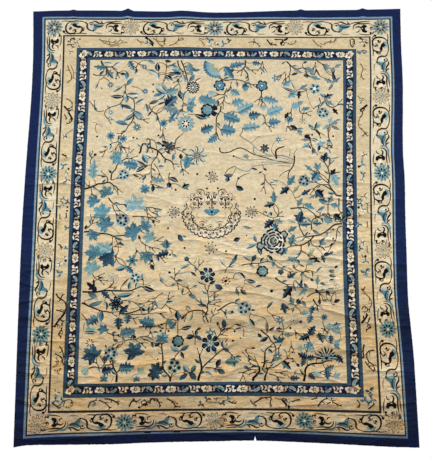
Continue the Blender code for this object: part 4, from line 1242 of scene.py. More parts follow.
# The field's leaves: base, tip, width, yarn on the left going up to the tip, yarn on the right
LEAVES = (
    (194, 272, 200, 270, 2.0, "grey", "grey"), (204, 274, 208, 267.6, 2.8, "grey", "teal"),
    (222, 267, 223.4, 273.4, 1.6, "grey", "teal"), (223, 263, 223.2, 269.4, 1.5, "black", "navy"),
    (222, 259.4, 219, 255.6, 1.4, "black", "black"), (222, 262, 215.6, 264.6, 2.4, "grey", "teal"),
    (222, 262.5, 228.6, 264.6, 2.2, "teal", "indigo"), (195.5, 255, 185, 258.6, 1.65, "black", "indigo"),
    (195, 255.5, 191.4, 264, 1.6, "teal", "green"), (195.5, 255, 188.8, 249.6, 3.6, "pale_blue", "teal"),
    (218, 250, 212.6, 253.4, 2.4, "pale_blue", "indigo"), (213, 243, 217, 248, 1.4, "navy", "teal"),
    (219, 230, 221, 235.8, 2.2, "pale_blue", "teal"), (220, 229.5, 227.4, 232.2, 2.2, "grey", "teal"),
    (219, 229.5, 227, 225.2, 1.6, "black", "navy"), (219, 229, 213.6, 225.4, 2.2, "pale_blue", "teal"),
    (208, 225, 210.2, 231.6, 1.6, "black", "indigo"), (207.5, 226, 203.8, 229.8, 1.8, "teal", "indigo"),
    (208.5, 226.5, 212.8, 229.8, 2.2, "pale_blue", "blue"),
    (208.5, 225.6, 212.2, 221, 1.4, "black", "black"), (187.5, 236, 193.4, 231.8, 2.4, "blue", "teal"),
    (187.5, 235, 189, 228, 1.7, "teal", "grey"), (196, 226, 190.6, 229.2, 1.5, "black", "navy"),
    (196.5, 226, 198.8, 220.4, 2.8, "grey", "teal"), (199, 240, 204.4, 243.2, 2.2, "teal", "pale_blue"),
    (206, 219, 211.4, 216, 1.6, "teal", "grey"), (103, 274.5, 107.6, 278.2, 2.2, "indigo", "teal"),
    (99, 268, 105, 264, 3.0, "teal", "grey"), (112, 268, 104, 266, 2.6, "grey", "pale_blue"),
    (113, 268, 113.6, 261.5, 3.0, "pale_blue", "grey"), (117, 263, 121, 269, 2.4, "teal", "indigo"),
    (94, 270, 86, 272, 2.6, "indigo", "teal"), (113, 249, 109, 255.4, 3.2, "indigo", "teal"),
    (113, 250, 116.4, 256.4, 2.4, "teal", "pale_blue"),
    (110, 240, 117.4, 238.6, 2.2, "pale_blue", "grey"), (116, 245, 122.4, 252, 3.6, "pale_blue", "teal"),
    (116, 245, 123, 244.6, 3.8, "teal", "pale_blue"), (116, 244, 120.4, 238.8, 3.6, "teal", "indigo"),
    (101, 255, 96, 262, 2.4, "grey", "teal"), (100, 254, 93, 248.8, 2.6, "teal", "grey"),
    (125, 237.5, 133, 234.6, 3.2, "blue", "pale_blue"), (86, 280, 92, 277, 2.2, "grey", "teal"),
    (99, 280, 104, 279, 2.0, "grey", "grey"), (121, 262, 127, 266, 2.0, "grey", "cream"),
    (54, 278.5, 61, 277.5, 2.0, "pale_blue", "grey"),
    (61, 275.5, 67, 278.5, 2.2, "pale_blue", "pale_blue"), (56, 274, 46, 275.5, 3.5, "teal", "navy"),
    (57, 272, 61.5, 265.5, 3.5, "grey", "navy"), (66, 270, 70.8, 269.3, 1.8, "black", "black"),
    (71, 271.5, 71, 265, 2.5, "blue", "indigo"), (72.3, 279.3, 77, 271.8, 3.6, "indigo", "pale_blue"),
    (78, 274, 78, 270, 1.8, "navy", "navy"), (93.5, 278, 94.5, 271, 3.2, "blue", "indigo"),
    (86, 272.2, 93.3, 269.3, 2.8, "teal", "pale_blue"),
    (94, 270, 94.7, 264.6, 2.6, "pale_blue", "pale_blue"),
    (71, 260.2, 76.3, 266.3, 2.4, "teal", "indigo"), (68.3, 260, 60.7, 255.2, 2.8, "grey", "grey"),
    (69.3, 252, 59.5, 252.3, 2.5, "navy", "indigo"), (71, 253.5, 81, 253.4, 3.0, "teal", "pale_blue"),
    (71.3, 253, 71, 246.6, 2.7, "teal", "blue"), (77.8, 245.8, 85, 250.3, 2.7, "teal", "grey"),
    (67, 245.2, 76, 241.8, 2.2, "indigo", "navy"), (77, 240.6, 84, 235.7, 3.4, "pale_blue", "teal"),
    (77, 238.5, 69.5, 233, 2.4, "navy", "indigo"), (73, 230, 63, 232.2, 2.8, "blue", "indigo"),
    (88, 245.7, 95, 248.5, 2.3, "grey", "navy"), (85.3, 246, 87.2, 238.6, 3.2, "blue", "grey"),
    (94, 245, 100.3, 247.2, 1.2, "black", "black"), (90.3, 240.5, 87.2, 236.2, 1.3, "black", "black"),
    (100, 254, 92.6, 258.4, 2.6, "indigo", "blue"), (97.3, 253.6, 90.7, 251.7, 2.2, "blue", "indigo"),
    (101, 275, 107, 275.2, 2.2, "teal", "grey"), (101, 269.7, 108, 269.4, 2.4, "teal", "indigo"),
    (101, 266, 104.8, 263.3, 1.8, "teal", "grey"), (50.2, 262.3, 47.8, 257.5, 2.0, "grey", "grey"),
    (100, 244, 106.5, 250.5, 4.6, "navy", "teal"), (104.6, 276, 109, 273.8, 2.2, "grey", "teal"),
    (105.8, 270, 111.6, 268.8, 2.2, "teal", "grey"), (106.3, 266.6, 110.6, 267.2, 1.8, "grey", "grey"),
    (117, 278, 119.2, 266.4, 4.2, "teal", "grey"), (119.6, 271.7, 125.6, 272.7, 1.7, "indigo", "indigo"),
    (125.5, 249, 138.6, 245.8, 4.2, "teal", "blue"), (121.2, 237.8, 130.4, 234.3, 3.0, "teal", "green"),
    (143.2, 275, 150.3, 264.2, 5.0, "indigo", "blue"), (152, 263.3, 152.2, 257.8, 2.4, "grey", "grey"),
    (105, 234, 108.3, 238.3, 2.4, "indigo", "grey"), (185, 276.5, 188.5, 278.5, 1.6, "grey", "grey"),
    (192, 267.6, 197.2, 269.2, 1.7, "teal", "pale_blue"),
    (197, 270.2, 201.5, 269, 1.6, "pale_blue", "grey"),
    (186, 259.2, 192.7, 264, 3.4, "teal", "pale_blue"), (190, 253.2, 195.2, 252.1, 2.2, "teal", "blue"),
    (197.5, 255.2, 197.2, 248.6, 2.3, "navy", "navy"), (198, 256.4, 204.3, 260.7, 2.1, "grey", "blue"),
    (201, 267.5, 207, 266.4, 1.9, "navy", "indigo"), (206, 266.4, 214.5, 263.8, 2.2, "teal", "grey"),
    (207, 267.5, 207.3, 273.2, 2.5, "teal", "teal"), (217.7, 271, 218.5, 277.2, 2.6, "teal", "blue"),
    (200.8, 277, 204.2, 278.3, 1.4, "grey", "grey"), (223.8, 273.3, 229.5, 276.4, 2.0, "teal", "grey"),
    (222, 269.7, 223, 273, 1.8, "grey", "teal"), (218, 264.7, 222.3, 261.4, 1.9, "grey", "teal"),
    (225, 262.3, 228.8, 265.8, 2.0, "teal", "grey"), (223, 268.7, 224.1, 263.5, 2.0, "black", "navy"),
    (222.7, 262.2, 219.2, 256, 1.3, "black", "black"), (200.8, 240.3, 205.5, 242.7, 2.0, "teal", "teal"),
    (187, 234.2, 189.7, 239.5, 2.0, "black", "navy"), (189, 231.3, 193.5, 234.6, 2.2, "indigo", "grey"),
    (215.8, 249.8, 223, 252.8, 2.7, "navy", "blue"), (216, 250.5, 212.6, 253.3, 2.0, "teal", "teal"),
    (216.6, 247.7, 223.3, 243.6, 2.3, "grey", "blue"),
    (221.8, 241.7, 225.8, 236.6, 2.2, "black", "navy"), (223.4, 232, 228, 232.2, 2.0, "grey", "grey"),
    (191.2, 228.7, 195.4, 225.3, 2.2, "indigo", "navy"), (195.7, 226, 200.5, 226, 1.5, "teal", "teal"),
    (195.7, 225, 198, 222.7, 1.5, "teal", "teal"), (204, 228.3, 208, 226.3, 2.0, "teal", "teal"),
    # Upper left
    (64.5, 212.6, 62.8, 209.8, 1.2, "green", "grey"), (67.5, 213.3, 71.8, 211.6, 1.2, "grey", "green"),
    (58.8, 213.2, 53.5, 213.4, 1.2, "green", "grey"), (67.3, 213.2, 67.4, 209.6, 2.2, "brown", "green"),
    (48.2, 189.5, 49.2, 204, 5.8, "pale_blue", "teal"), (86.7, 198.6, 79, 202.8, 2.6, "cream", "black"),
    (86.4, 198.2, 79.2, 193.8, 2.5, "black", "grey"), (87.8, 200.8, 84.2, 207.9, 3.4, "indigo", "blue"),
    (77, 192.3, 82.2, 190.3, 1.2, "tan", "brown"), (95.6, 203.2, 95.8, 200.4, 1.4, "grey", "teal"),
    (95.3, 198.3, 100, 197.8, 2.3, "teal", "grey"),
    (97.6, 217.4, 101.6, 214.7, 2.2, "pale_blue", "blue"),
    (100.5, 210, 104.6, 207.4, 1.3, "black", "navy"), (91.6, 184.6, 91.4, 178.9, 2.2, "black", "black"),
    (93.5, 182.5, 100.4, 181.7, 2.4, "grey", "pale_blue"), (94, 166.7, 98, 164.6, 1.7, "teal", "teal"),
    (103.4, 186.6, 103.6, 182, 3.2, "teal", "indigo"), (103, 189.7, 109.9, 186.4, 2.7, "black", "black"),
    # Upper middle
    (107.8, 212.4, 111.8, 211.9, 1.4, "brown", "grey"),
    (118.4, 206.4, 114.6, 195.6, 6.4, "blue", "indigo"),
    (105.7, 202.6, 106.2, 208.2, 2.0, "teal", "indigo"), (112, 203.3, 111.6, 208, 2.4, "teal", "blue"),
    (137.2, 220.6, 130.5, 215.8, 4.6, "blue", "indigo"),
    (137.3, 218.8, 141, 216.4, 1.5, "grey", "cream"), (142.8, 191, 149.4, 191.7, 2.6, "grey", "navy"),
    (145.3, 190.2, 144.6, 186.2, 3.0, "black", "indigo"),
    (151.2, 183.4, 156.8, 180.1, 3.0, "black", "indigo"),
    (113, 181.8, 118.2, 184.9, 3.6, "black", "teal"), (162.2, 196.4, 167, 194.8, 2.2, "black", "grey"),
    (170.8, 196.4, 173.4, 194.6, 1.5, "black", "black"),
    (167.4, 192.6, 170.6, 193.8, 1.7, "black", "grey"),
    # Upper right
    (188.4, 183.8, 193.6, 191.6, 3.8, "teal", "indigo"),
    (188.9, 182.3, 182.2, 176.8, 3.6, "black", "indigo"),
    (181.8, 187, 177.2, 188.5, 1.6, "teal", "grey"), (191.6, 178, 197.2, 184.3, 1.8, "green", "indigo"),
    (195, 168.4, 198.7, 174.4, 3.0, "teal", "teal"), (197.8, 176.5, 205, 180.7, 2.5, "indigo", "black"),
    (210.2, 193.2, 205.3, 186.4, 5.4, "blue", "black"),
    (206.2, 194.2, 199.8, 199.6, 2.0, "teal", "grey"), (209.6, 195, 208.2, 200.8, 2.8, "teal", "indigo"),
    (209.8, 195.2, 212.2, 200.8, 2.4, "teal", "blue"),
    (214.5, 201.4, 216.6, 208.6, 3.8, "black", "indigo"),
    (214.4, 202.6, 211.6, 205, 1.6, "black", "black"), (218.8, 200.4, 220.4, 204.3, 2.2, "teal", "grey"),
    (220, 203.3, 226.4, 204.7, 1.1, "grey", "grey"), (219.2, 191.2, 222.8, 196.2, 2.8, "black", "navy"),
    (221.4, 193.6, 227.2, 194, 1.5, "black", "teal"),
    (220.4, 191.6, 224.2, 182.9, 4.8, "pale_blue", "teal"),
    (208.2, 180, 213.8, 174, 5.0, "black", "indigo"), (208.2, 176.8, 202.6, 173.6, 1.8, "teal", "grey"),
    (217.3, 170.8, 220.2, 176.4, 2.8, "indigo", "grey"),
    (210, 172.8, 217.4, 170.8, 3.0, "indigo", "teal"), (218.4, 169.4, 225.6, 167.6, 3.0, "teal", "blue"),
    (199.8, 169.9, 207.4, 165.7, 3.2, "blue", "teal"),
    (208.8, 164.8, 214.4, 168.2, 1.7, "grey", "indigo"), (201, 221.4, 205.6, 218, 3.4, "navy", "black"),
    (204, 218, 197.6, 217.8, 1.8, "grey", "indigo"),
    (204.2, 215.4, 198.8, 211.3, 2.4, "teal", "pale_blue"),
    (205.7, 217.8, 210.2, 215.9, 1.3, "teal", "green"), (206.6, 211.8, 207.6, 207, 2.4, "grey", "navy"),
    (209.8, 213.6, 216.8, 216.4, 3.2, "pale_blue", "pale_blue"),
    (211.6, 213.7, 210.2, 209, 2.0, "blue", "grey"), (216.8, 217, 220.2, 215.6, 2.0, "teal", "teal"),
    (217.2, 212.5, 219.2, 213.8, 1.3, "black", "black"),
    (219.2, 213.8, 220.8, 211.6, 1.3, "black", "black"),
    (178.4, 170.8, 178, 180.2, 3.3, "teal", "indigo"), (178.4, 170.3, 170.2, 168, 3.0, "black", "teal"),
    (171, 164.4, 173.2, 162.4, 1.8, "black", "green"), (175.4, 164.2, 176.2, 161, 2.2, "black", "teal"),
    (203.6, 213.2, 205.4, 210.8, 1.2, "black", "black"),
    # Left side
    (65.3, 146, 71.6, 143.9, 1.5, "grey", "black"), (102, 137.6, 101.6, 144.7, 5.0, "teal", "navy"),
    (103.5, 134.7, 94, 132.3, 4.0, "navy", "indigo"),
    (63.2, 135.6, 52.2, 141.8, 5.2, "pale_blue", "teal"),
    (44.2, 151.6, 45.2, 155, 1.9, "black", "black"), (83.4, 143.8, 82.4, 147.6, 1.5, "brown", "brown"),
    (91, 126.6, 93.6, 122, 2.4, "teal", "teal"), (74, 124.9, 66, 122.6, 3.0, "indigo", "blue"),
    (73.8, 125, 79.6, 119, 3.6, "indigo", "blue"), (76.2, 108, 77.4, 114.2, 2.2, "indigo", "teal"),
    (70, 109.6, 76.8, 117, 1.9, "black", "grey"), (53.5, 107.4, 45.8, 114, 3.6, "navy", "black"),
    (51.3, 112, 51, 115.8, 1.6, "navy", "navy"), (47.4, 106, 54.4, 101.3, 3.2, "grey", "indigo"),
    (57.2, 107.3, 63.4, 101.2, 3.6, "indigo", "navy"), (78.6, 105.4, 67.6, 104.2, 2.9, "indigo", "blue"),
    (85.9, 110.2, 94.4, 107.2, 2.8, "navy", "indigo"), (99.2, 113, 99.3, 117.2, 2.5, "teal", "teal"),
    (48, 97, 58.2, 100.3, 2.7, "grey", "indigo"), (59.3, 100.4, 60.2, 93.2, 3.1, "indigo", "grey"),
    (45.6, 100.4, 54, 102.4, 1.8, "grey", "grey"), (70.2, 91.4, 76.6, 98, 3.6, "navy", "indigo"),
    (57.6, 93.2, 57.3, 85.3, 3.2, "indigo", "indigo"), (87, 75.2, 94.6, 71.2, 2.1, "pale_blue", "grey"),
    (98.6, 70.3, 94.2, 68.4, 2.1, "black", "black"), (66, 73, 69.6, 71.8, 2.0, "teal", "black"),
    (85.4, 94.4, 88.2, 93.4, 1.8, "black", "black"), (96.6, 95.6, 95.2, 102.2, 2.6, "pale_blue", "grey"),
    (93.2, 78.2, 97.6, 77.6, 2.6, "grey", "pale_blue"), (61.6, 67, 60.6, 69.8, 0.9, "brown", "brown"),
    (65.5, 68, 66.4, 70.6, 0.9, "brown", "tan"), (67.6, 66.8, 71.4, 70.2, 1.0, "brown", "tan"),
    # Middle
    (105, 80.8, 109.8, 86, 4.2, "teal", "navy"), (110.8, 86.8, 110.4, 93.6, 3.1, "navy", "indigo"),
    (112, 65.4, 118.6, 69.4, 2.3, "teal", "navy"), (112, 65.2, 105, 68.8, 3.0, "pale_blue", "teal"),
    (113, 65, 115.2, 59.8, 2.0, "teal", "pale_blue"), (119.2, 50.3, 114.6, 55.6, 3.3, "indigo", "teal"),
    (119.8, 50.2, 122.9, 55.8, 2.7, "teal", "black"), (118.6, 50.8, 123.4, 44.6, 3.4, "indigo", "black"),
    (117.6, 49.2, 112, 44.8, 2.7, "indigo", "black"), (137.4, 53.6, 140.4, 59.8, 2.7, "teal", "black"),
    (137.8, 52.9, 143.6, 49.8, 3.1, "indigo", "black"), (142.6, 66.8, 142.2, 73, 2.8, "indigo", "grey"),
    (143.2, 70.8, 145.4, 73.8, 1.2, "black", "grey"), (142.4, 66.9, 146.4, 64.3, 2.2, "indigo", "navy"),
    (122.3, 75.6, 116, 73.8, 2.9, "navy", "navy"), (122.8, 75.9, 127.4, 72.2, 2.3, "indigo", "navy"),
    (122.9, 76, 123.8, 80.4, 2.2, "navy", "indigo"), (123.6, 79.6, 127, 81.2, 1.6, "navy", "navy"),
    (142.2, 81, 142.3, 87.4, 2.8, "indigo", "navy"), (138.4, 82.6, 138.2, 85.6, 1.4, "grey", "grey"),
    (130, 96.2, 123.6, 97.4, 1.8, "grey", "black"), (116, 96.8, 119.6, 93.8, 1.5, "grey", "teal"),
    (115.7, 89.8, 112.8, 86.8, 1.6, "black", "black"), (120.8, 91, 118.6, 85.8, 1.5, "grey", "teal"),
    (112.6, 80.4, 120.4, 82.6, 2.4, "grey", "green"), (147, 92.4, 149.6, 91.8, 1.9, "black", "black"),
    (144, 90, 144.4, 95, 1.9, "indigo", "grey"), (161, 93.4, 164.8, 93.4, 1.2, "indigo", "black"),
    (150, 83.9, 155.2, 83, 1.1, "black", "brown"), (150, 79.8, 155.2, 81.4, 1.0, "brown", "brown"),
    (160.2, 87.8, 164, 82, 2.6, "black", "teal"), (161, 66.9, 164.6, 67, 1.1, "black", "brown"),
    (159.8, 52.2, 155.6, 55, 1.9, "grey", "black"), (161.2, 54.6, 166.4, 54.3, 1.5, "indigo", "black"),
    (166, 77.4, 168.8, 74.2, 2.0, "indigo", "teal"), (106, 133.4, 109.6, 131, 1.8, "grey", "teal"),
    (118.9, 126.3, 111.6, 122.3, 1.7, "indigo", "teal"),
    (119, 120.9, 123.2, 117.4, 1.5, "black", "black"), (147, 125.2, 152.1, 133.8, 2.2, "grey", "indigo"),
    (150.3, 129.2, 152.1, 133.8, 1.4, "black", "black"), (143.8, 124.4, 139, 130.2, 1.5, "teal", "grey"),
    (113.4, 104.6, 114.2, 109.6, 1.5, "grey", "black"), (105, 110.6, 109.4, 112.8, 1.6, "grey", "teal"),
    (130.4, 111.8, 123.6, 114.7, 1.5, "black", "grey"), (132, 112, 136.8, 114.6, 2.0, "teal", "black"),
    (141.8, 109, 136, 111.6, 3.0, "indigo", "black"), (121, 110.2, 124.2, 111, 1.9, "teal", "teal"),
    (152, 120.4, 157.6, 114.8, 2.7, "black", "grey"), (158, 115, 165, 113.3, 2.4, "black", "navy"),
    (164.3, 109.4, 169.6, 111.3, 1.2, "black", "black"),
    (151, 109.2, 153.2, 103.6, 1.9, "grey", "indigo"),
    (153.8, 107.8, 158.6, 104.2, 2.6, "grey", "black"),
    (110.2, 147.8, 113.8, 143, 3.0, "indigo", "black"),
    (113, 146.6, 115.8, 144.6, 2.2, "grey", "pale_blue"),
    (149.2, 143.2, 154.2, 145.2, 2.9, "grey", "black"), (162.4, 128, 165.4, 133, 2.7, "indigo", "black"),
    (162.2, 128.2, 155.6, 132.2, 1.9, "indigo", "grey"),
    (117.8, 104.4, 123.6, 101.4, 2.6, "grey", "indigo"),
    # Right side
    (177, 158, 171, 151.8, 5.0, "black", "indigo"), (178.4, 158, 184.8, 155.6, 3.3, "teal", "green"),
    (177.2, 155.4, 181.6, 148.8, 3.6, "indigo", "blue"), (165.9, 141, 159.4, 141, 1.3, "indigo", "grey"),
    (166, 140.6, 158, 137, 1.9, "indigo", "teal"), (165.7, 141.8, 164, 147.4, 1.9, "teal", "indigo"),
    (167.5, 141, 168.8, 132.4, 2.8, "blue", "indigo"), (189.2, 140, 192.4, 148.6, 3.8, "teal", "indigo"),
    (187.8, 149.7, 195, 153.8, 2.6, "teal", "indigo"), (194.3, 155.6, 187, 158, 1.7, "green", "teal"),
    (195.6, 156, 198, 165.4, 5.4, "indigo", "black"), (196.8, 155, 205.4, 155.2, 3.4, "teal", "black"),
    (205.4, 156.2, 212.4, 155.4, 3.2, "teal", "black"), (187.4, 138, 182, 131.4, 2.4, "teal", "indigo"),
    (205, 151.2, 210.4, 147.8, 1.7, "grey", "indigo"), (213.4, 158.6, 220.6, 156.8, 3.8, "teal", "teal"),
    (220.4, 162, 226.2, 157.6, 4.2, "black", "indigo"),
    (210.8, 139.8, 212.6, 145, 2.8, "indigo", "blue"), (212, 142.4, 214.8, 146, 1.8, "teal", "grey"),
    (210.2, 138.8, 213.9, 135.3, 1.6, "black", "grey"), (202, 133, 206.9, 137, 2.5, "green", "teal"),
    (212.6, 132.6, 217.4, 133.4, 2.4, "teal", "indigo"),
    (216.4, 133.4, 219.6, 135.5, 1.8, "grey", "black"),
    (211.4, 132.6, 213.5, 126.4, 2.1, "indigo", "black"),
    (202.6, 130.4, 209.6, 130.5, 1.5, "black", "black"),
    (203.5, 130.4, 211, 127.2, 2.3, "black", "navy"),
    (200.4, 125.8, 207, 129.4, 3.0, "pale_blue", "grey"),
    (193.7, 130.4, 186, 128.8, 2.5, "teal", "blue"), (189.6, 130, 187.6, 131.6, 1.3, "teal", "teal"),
    (193.4, 129.6, 195.4, 125.6, 2.2, "indigo", "teal"),
    (195, 126.2, 199.4, 123.6, 1.6, "black", "grey"), (173.4, 132.8, 177, 128, 1.9, "teal", "indigo"),
    (177.8, 128.4, 177.1, 123.9, 2.0, "teal", "indigo"),
    (217.4, 138.8, 219.8, 141.2, 1.4, "black", "brown"),
    (219, 150.6, 220.6, 151.6, 1.2, "black", "brown"), (219, 144, 220.6, 145, 1.0, "brown", "brown"),
    (187, 116.4, 193.4, 120, 2.7, "indigo", "navy"), (195.8, 118.2, 199.2, 118.8, 2.1, "teal", "teal"),
    (192.4, 124.4, 190.4, 125.6, 1.4, "teal", "indigo"),
    (189.8, 110, 183, 101.2, 4.2, "black", "indigo"),
    (197.2, 115.2, 196.4, 110.8, 1.6, "black", "black"),
    (194.8, 112.4, 198.4, 108.2, 2.2, "indigo", "black"),
    (198.4, 112.6, 201.8, 108.6, 2.0, "grey", "black"),
    (192.2, 114.8, 194.2, 110.6, 1.6, "teal", "grey"), (201, 109, 193.8, 103, 2.6, "pale_blue", "teal"),
    (203.5, 121.4, 204.4, 116.6, 1.7, "black", "green"), (203, 116, 205.4, 113.8, 1.6, "teal", "grey"),
    (207.2, 119.8, 212, 124.2, 1.7, "indigo", "grey"), (207.8, 111.2, 208.4, 118.8, 2.2, "teal", "grey"),
    (209.6, 112.6, 213.6, 111.2, 1.8, "teal", "black"),
    (215.8, 121.2, 220, 120.6, 1.6, "pale_blue", "black"), (220, 123, 222.8, 125, 1.5, "black", "grey"),
    (216, 117.8, 221.4, 117.6, 1.7, "green", "black"), (216, 114.2, 220, 114.4, 1.9, "black", "green"),
    (210, 107.6, 213.6, 107.4, 2.0, "pale_blue", "grey"),
    (214.4, 108, 219.6, 107.2, 2.2, "teal", "green"), (206, 107.6, 209.6, 105.4, 1.6, "brown", "black"),
    (172.4, 94.4, 177, 99.8, 1.7, "green", "black"), (183.4, 98.4, 185.6, 90.4, 3.6, "indigo", "navy"),
    (190.8, 98, 188.6, 103.6, 2.7, "indigo", "teal"), (192.8, 100.6, 196.4, 98, 2.8, "black", "black"),
    (193.2, 98.4, 195, 102, 1.5, "black", "black"), (197.2, 100.2, 199.8, 95.8, 2.3, "grey", "indigo"),
    (187, 97.8, 192, 96, 2.5, "pale_blue", "green"), (191, 95.4, 190, 91.6, 1.4, "black", "teal"),
    (196, 90.8, 202, 92.4, 2.8, "pale_blue", "teal"), (209, 101.4, 209.3, 97.2, 2.0, "black", "brown"),
    (211.4, 99.8, 215, 100.4, 2.2, "grey", "teal"), (215.6, 99.8, 218.6, 100.4, 2.0, "green", "teal"),
    (218.8, 98.6, 223.6, 100.8, 2.1, "black", "brown"), (217.4, 97.8, 220.4, 96.4, 1.5, "grey", "grey"),
    (172, 86, 172, 77.8, 1.8, "indigo", "black"), (173.2, 79.2, 178, 82, 1.6, "black", "black"),
    (178.4, 80, 184, 80.2, 2.3, "black", "grey"), (183.8, 76.4, 190.6, 75.6, 2.0, "teal", "grey"),
    (173.2, 74.9, 167.2, 71.8, 2.3, "black", "navy"), (178.8, 71.6, 185, 74.3, 3.2, "indigo", "black"),
    (180.2, 72.6, 176.4, 76.4, 2.5, "black", "teal"),
    (193, 66.6, 198.8, 66.8, 3.2, "green", "pale_blue"),
    (200.2, 66, 206, 64.8, 2.6, "pale_blue", "green"),
    (211.4, 74, 214.4, 76.4, 2.5, "pale_blue", "teal"),
    (222.4, 72.8, 217.6, 69, 2.7, "pale_blue", "pale_blue"),
    (218.6, 70, 222.6, 66, 2.8, "teal", "indigo"), (213, 81.6, 219.6, 83.4, 2.8, "pale_blue", "teal"),
    (218, 82.2, 224.4, 84, 2.7, "indigo", "pale_blue"), (217, 80, 224.8, 76.8, 3.0, "pale_blue", "grey"),
    (217.6, 47, 222.6, 49.8, 3.4, "pale_blue", "teal"),
    (204, 49.8, 209.4, 48.2, 2.6, "pale_blue", "teal"), (190.8, 49, 192.6, 52, 2.3, "pale_blue", "teal"),
    (182.6, 58.2, 188.8, 52, 3.6, "black", "teal"), (172.8, 66.8, 176.2, 63.4, 2.1, "black", "teal"),
    (192.2, 56.6, 194.3, 54, 1.8, "navy", "green"), (155.6, 153.8, 162.6, 152.2, 1.3, "black", "black"),
    (84, 49.4, 87.8, 54.4, 4.0, "pale_blue", "green"), (45.4, 49, 49.6, 53.6, 4.8, "pale_blue", "teal"),
    (46.4, 77.4, 54, 81.6, 4.6, "pale_blue", "pale_blue"), (45.6, 78.6, 55, 78.4, 1.6, "teal", "grey"),
    (143.4, 57.6, 154, 58.2, 4.0, "teal", "indigo"), (148.4, 57.4, 150.2, 54, 2.4, "indigo", "teal"),
    (129.2, 50.8, 134.8, 46.8, 3.0, "pale_blue", "green"),
    (179.6, 128, 176.8, 130.2, 1.0, "teal", "teal"),
)

# Broad leaves with toothed lobes: base, tip, width, yarn on the left, yarn on the right
LOBED_LEAVES = (
    (100, 254, 110, 257, 5.0, "teal", "pale_blue"), (109, 241, 98, 242.6, 4.6, "grey", "teal"),
    (109, 240.5, 102.5, 231, 4.8, "teal", "indigo"), (111, 270, 104, 273.4, 3.6, "teal", "pale_blue"),
    (124, 249.6, 137.4, 247.6, 6.0, "blue", "pale_blue"),
    (99.6, 245.6, 109, 251.4, 7.0, "indigo", "blue"), (147, 275, 158.5, 277.5, 4.0, "blue", "indigo"),
    (163.5, 277.8, 170.5, 276.6, 3.0, "indigo", "blue"), (156, 258, 161.5, 259, 5.0, "indigo", "blue"),
    (147.6, 256, 154.6, 252, 4.0, "blue", "pale_blue"),
    (131, 254, 137, 254, 3.2, "pale_blue", "pale_blue"),
    (148.5, 245.4, 157.8, 248.8, 4.6, "blue", "pale_blue"),
    (152.5, 239, 164.6, 245.6, 6.6, "pale_blue", "indigo"),
    (160.5, 236, 170, 237.4, 5.0, "indigo", "blue"), (142.5, 236.8, 155, 232.2, 6.4, "blue", "indigo"),
    (156, 227, 169.5, 228.5, 5.2, "pale_blue", "indigo"),
    (141, 226.5, 151.5, 224.5, 7.4, "blue", "indigo"), (126, 224.5, 135.5, 228.5, 5.2, "indigo", "blue"),
    (171.4, 249.8, 182.8, 246.6, 4.4, "blue", "pale_blue"),
    (174, 237.8, 186, 242.6, 6.4, "pale_blue", "blue"), (175, 231, 184.4, 232, 4.8, "blue", "indigo"),
    (169.5, 242.2, 174, 243, 3.0, "pale_blue", "pale_blue"),
    (192, 242.6, 198.4, 245.2, 5.0, "pale_blue", "blue"),
    (196.4, 245, 200.6, 247.4, 2.6, "grey", "teal"), (80.5, 198.4, 69.8, 201, 6.4, "blue", "indigo"),
    (91, 188.6, 100.8, 187.2, 3.4, "grey", "teal"), (75.8, 91, 75.2, 83.6, 4.0, "indigo", "blue"),
    (54.6, 88.8, 47.4, 83.6, 5.2, "indigo", "blue"), (69.2, 88.4, 69.6, 79.4, 4.6, "indigo", "navy"),
    (70.6, 77, 81.6, 79.6, 5.4, "blue", "indigo"), (58.6, 50.6, 66.8, 53.2, 4.6, "navy", "indigo"),
    (70.4, 53.4, 81.6, 54.2, 5.8, "indigo", "blue"), (94.3, 84, 83.4, 86.2, 6.4, "indigo", "blue"),
    (102.4, 85.6, 106.8, 85.8, 3.6, "teal", "indigo"), (204.4, 96.8, 202.4, 89.4, 2.8, "indigo", "teal"),
    (203, 90.2, 200.8, 83.8, 3.4, "indigo", "teal"), (201.4, 76.2, 205.8, 82.8, 4.2, "navy", "indigo"),
    (201.6, 75.9, 194, 72.8, 3.7, "black", "indigo"), (201.8, 71.4, 199.8, 65, 3.8, "blue", "indigo"),
    (208, 77.8, 210.4, 70.8, 3.2, "indigo", "navy"), (216.4, 76, 216.2, 69.6, 2.9, "indigo", "navy"),
    (219.4, 61.9, 224.6, 56.6, 3.8, "navy", "indigo"), (199.6, 60.4, 193, 63.8, 3.9, "navy", "indigo"),
    (199.6, 60.2, 206, 61, 3.2, "navy", "indigo"), (197.8, 59.8, 195.8, 54, 3.0, "indigo", "navy"),
    (212.4, 51.8, 218.4, 55.4, 3.3, "indigo", "teal"), (212.9, 51.8, 213.6, 45, 3.6, "indigo", "navy"),
    (200.8, 49.4, 205, 45.2, 3.6, "indigo", "navy"), (187.6, 46.2, 195, 46.4, 3.2, "indigo", "navy"),
)

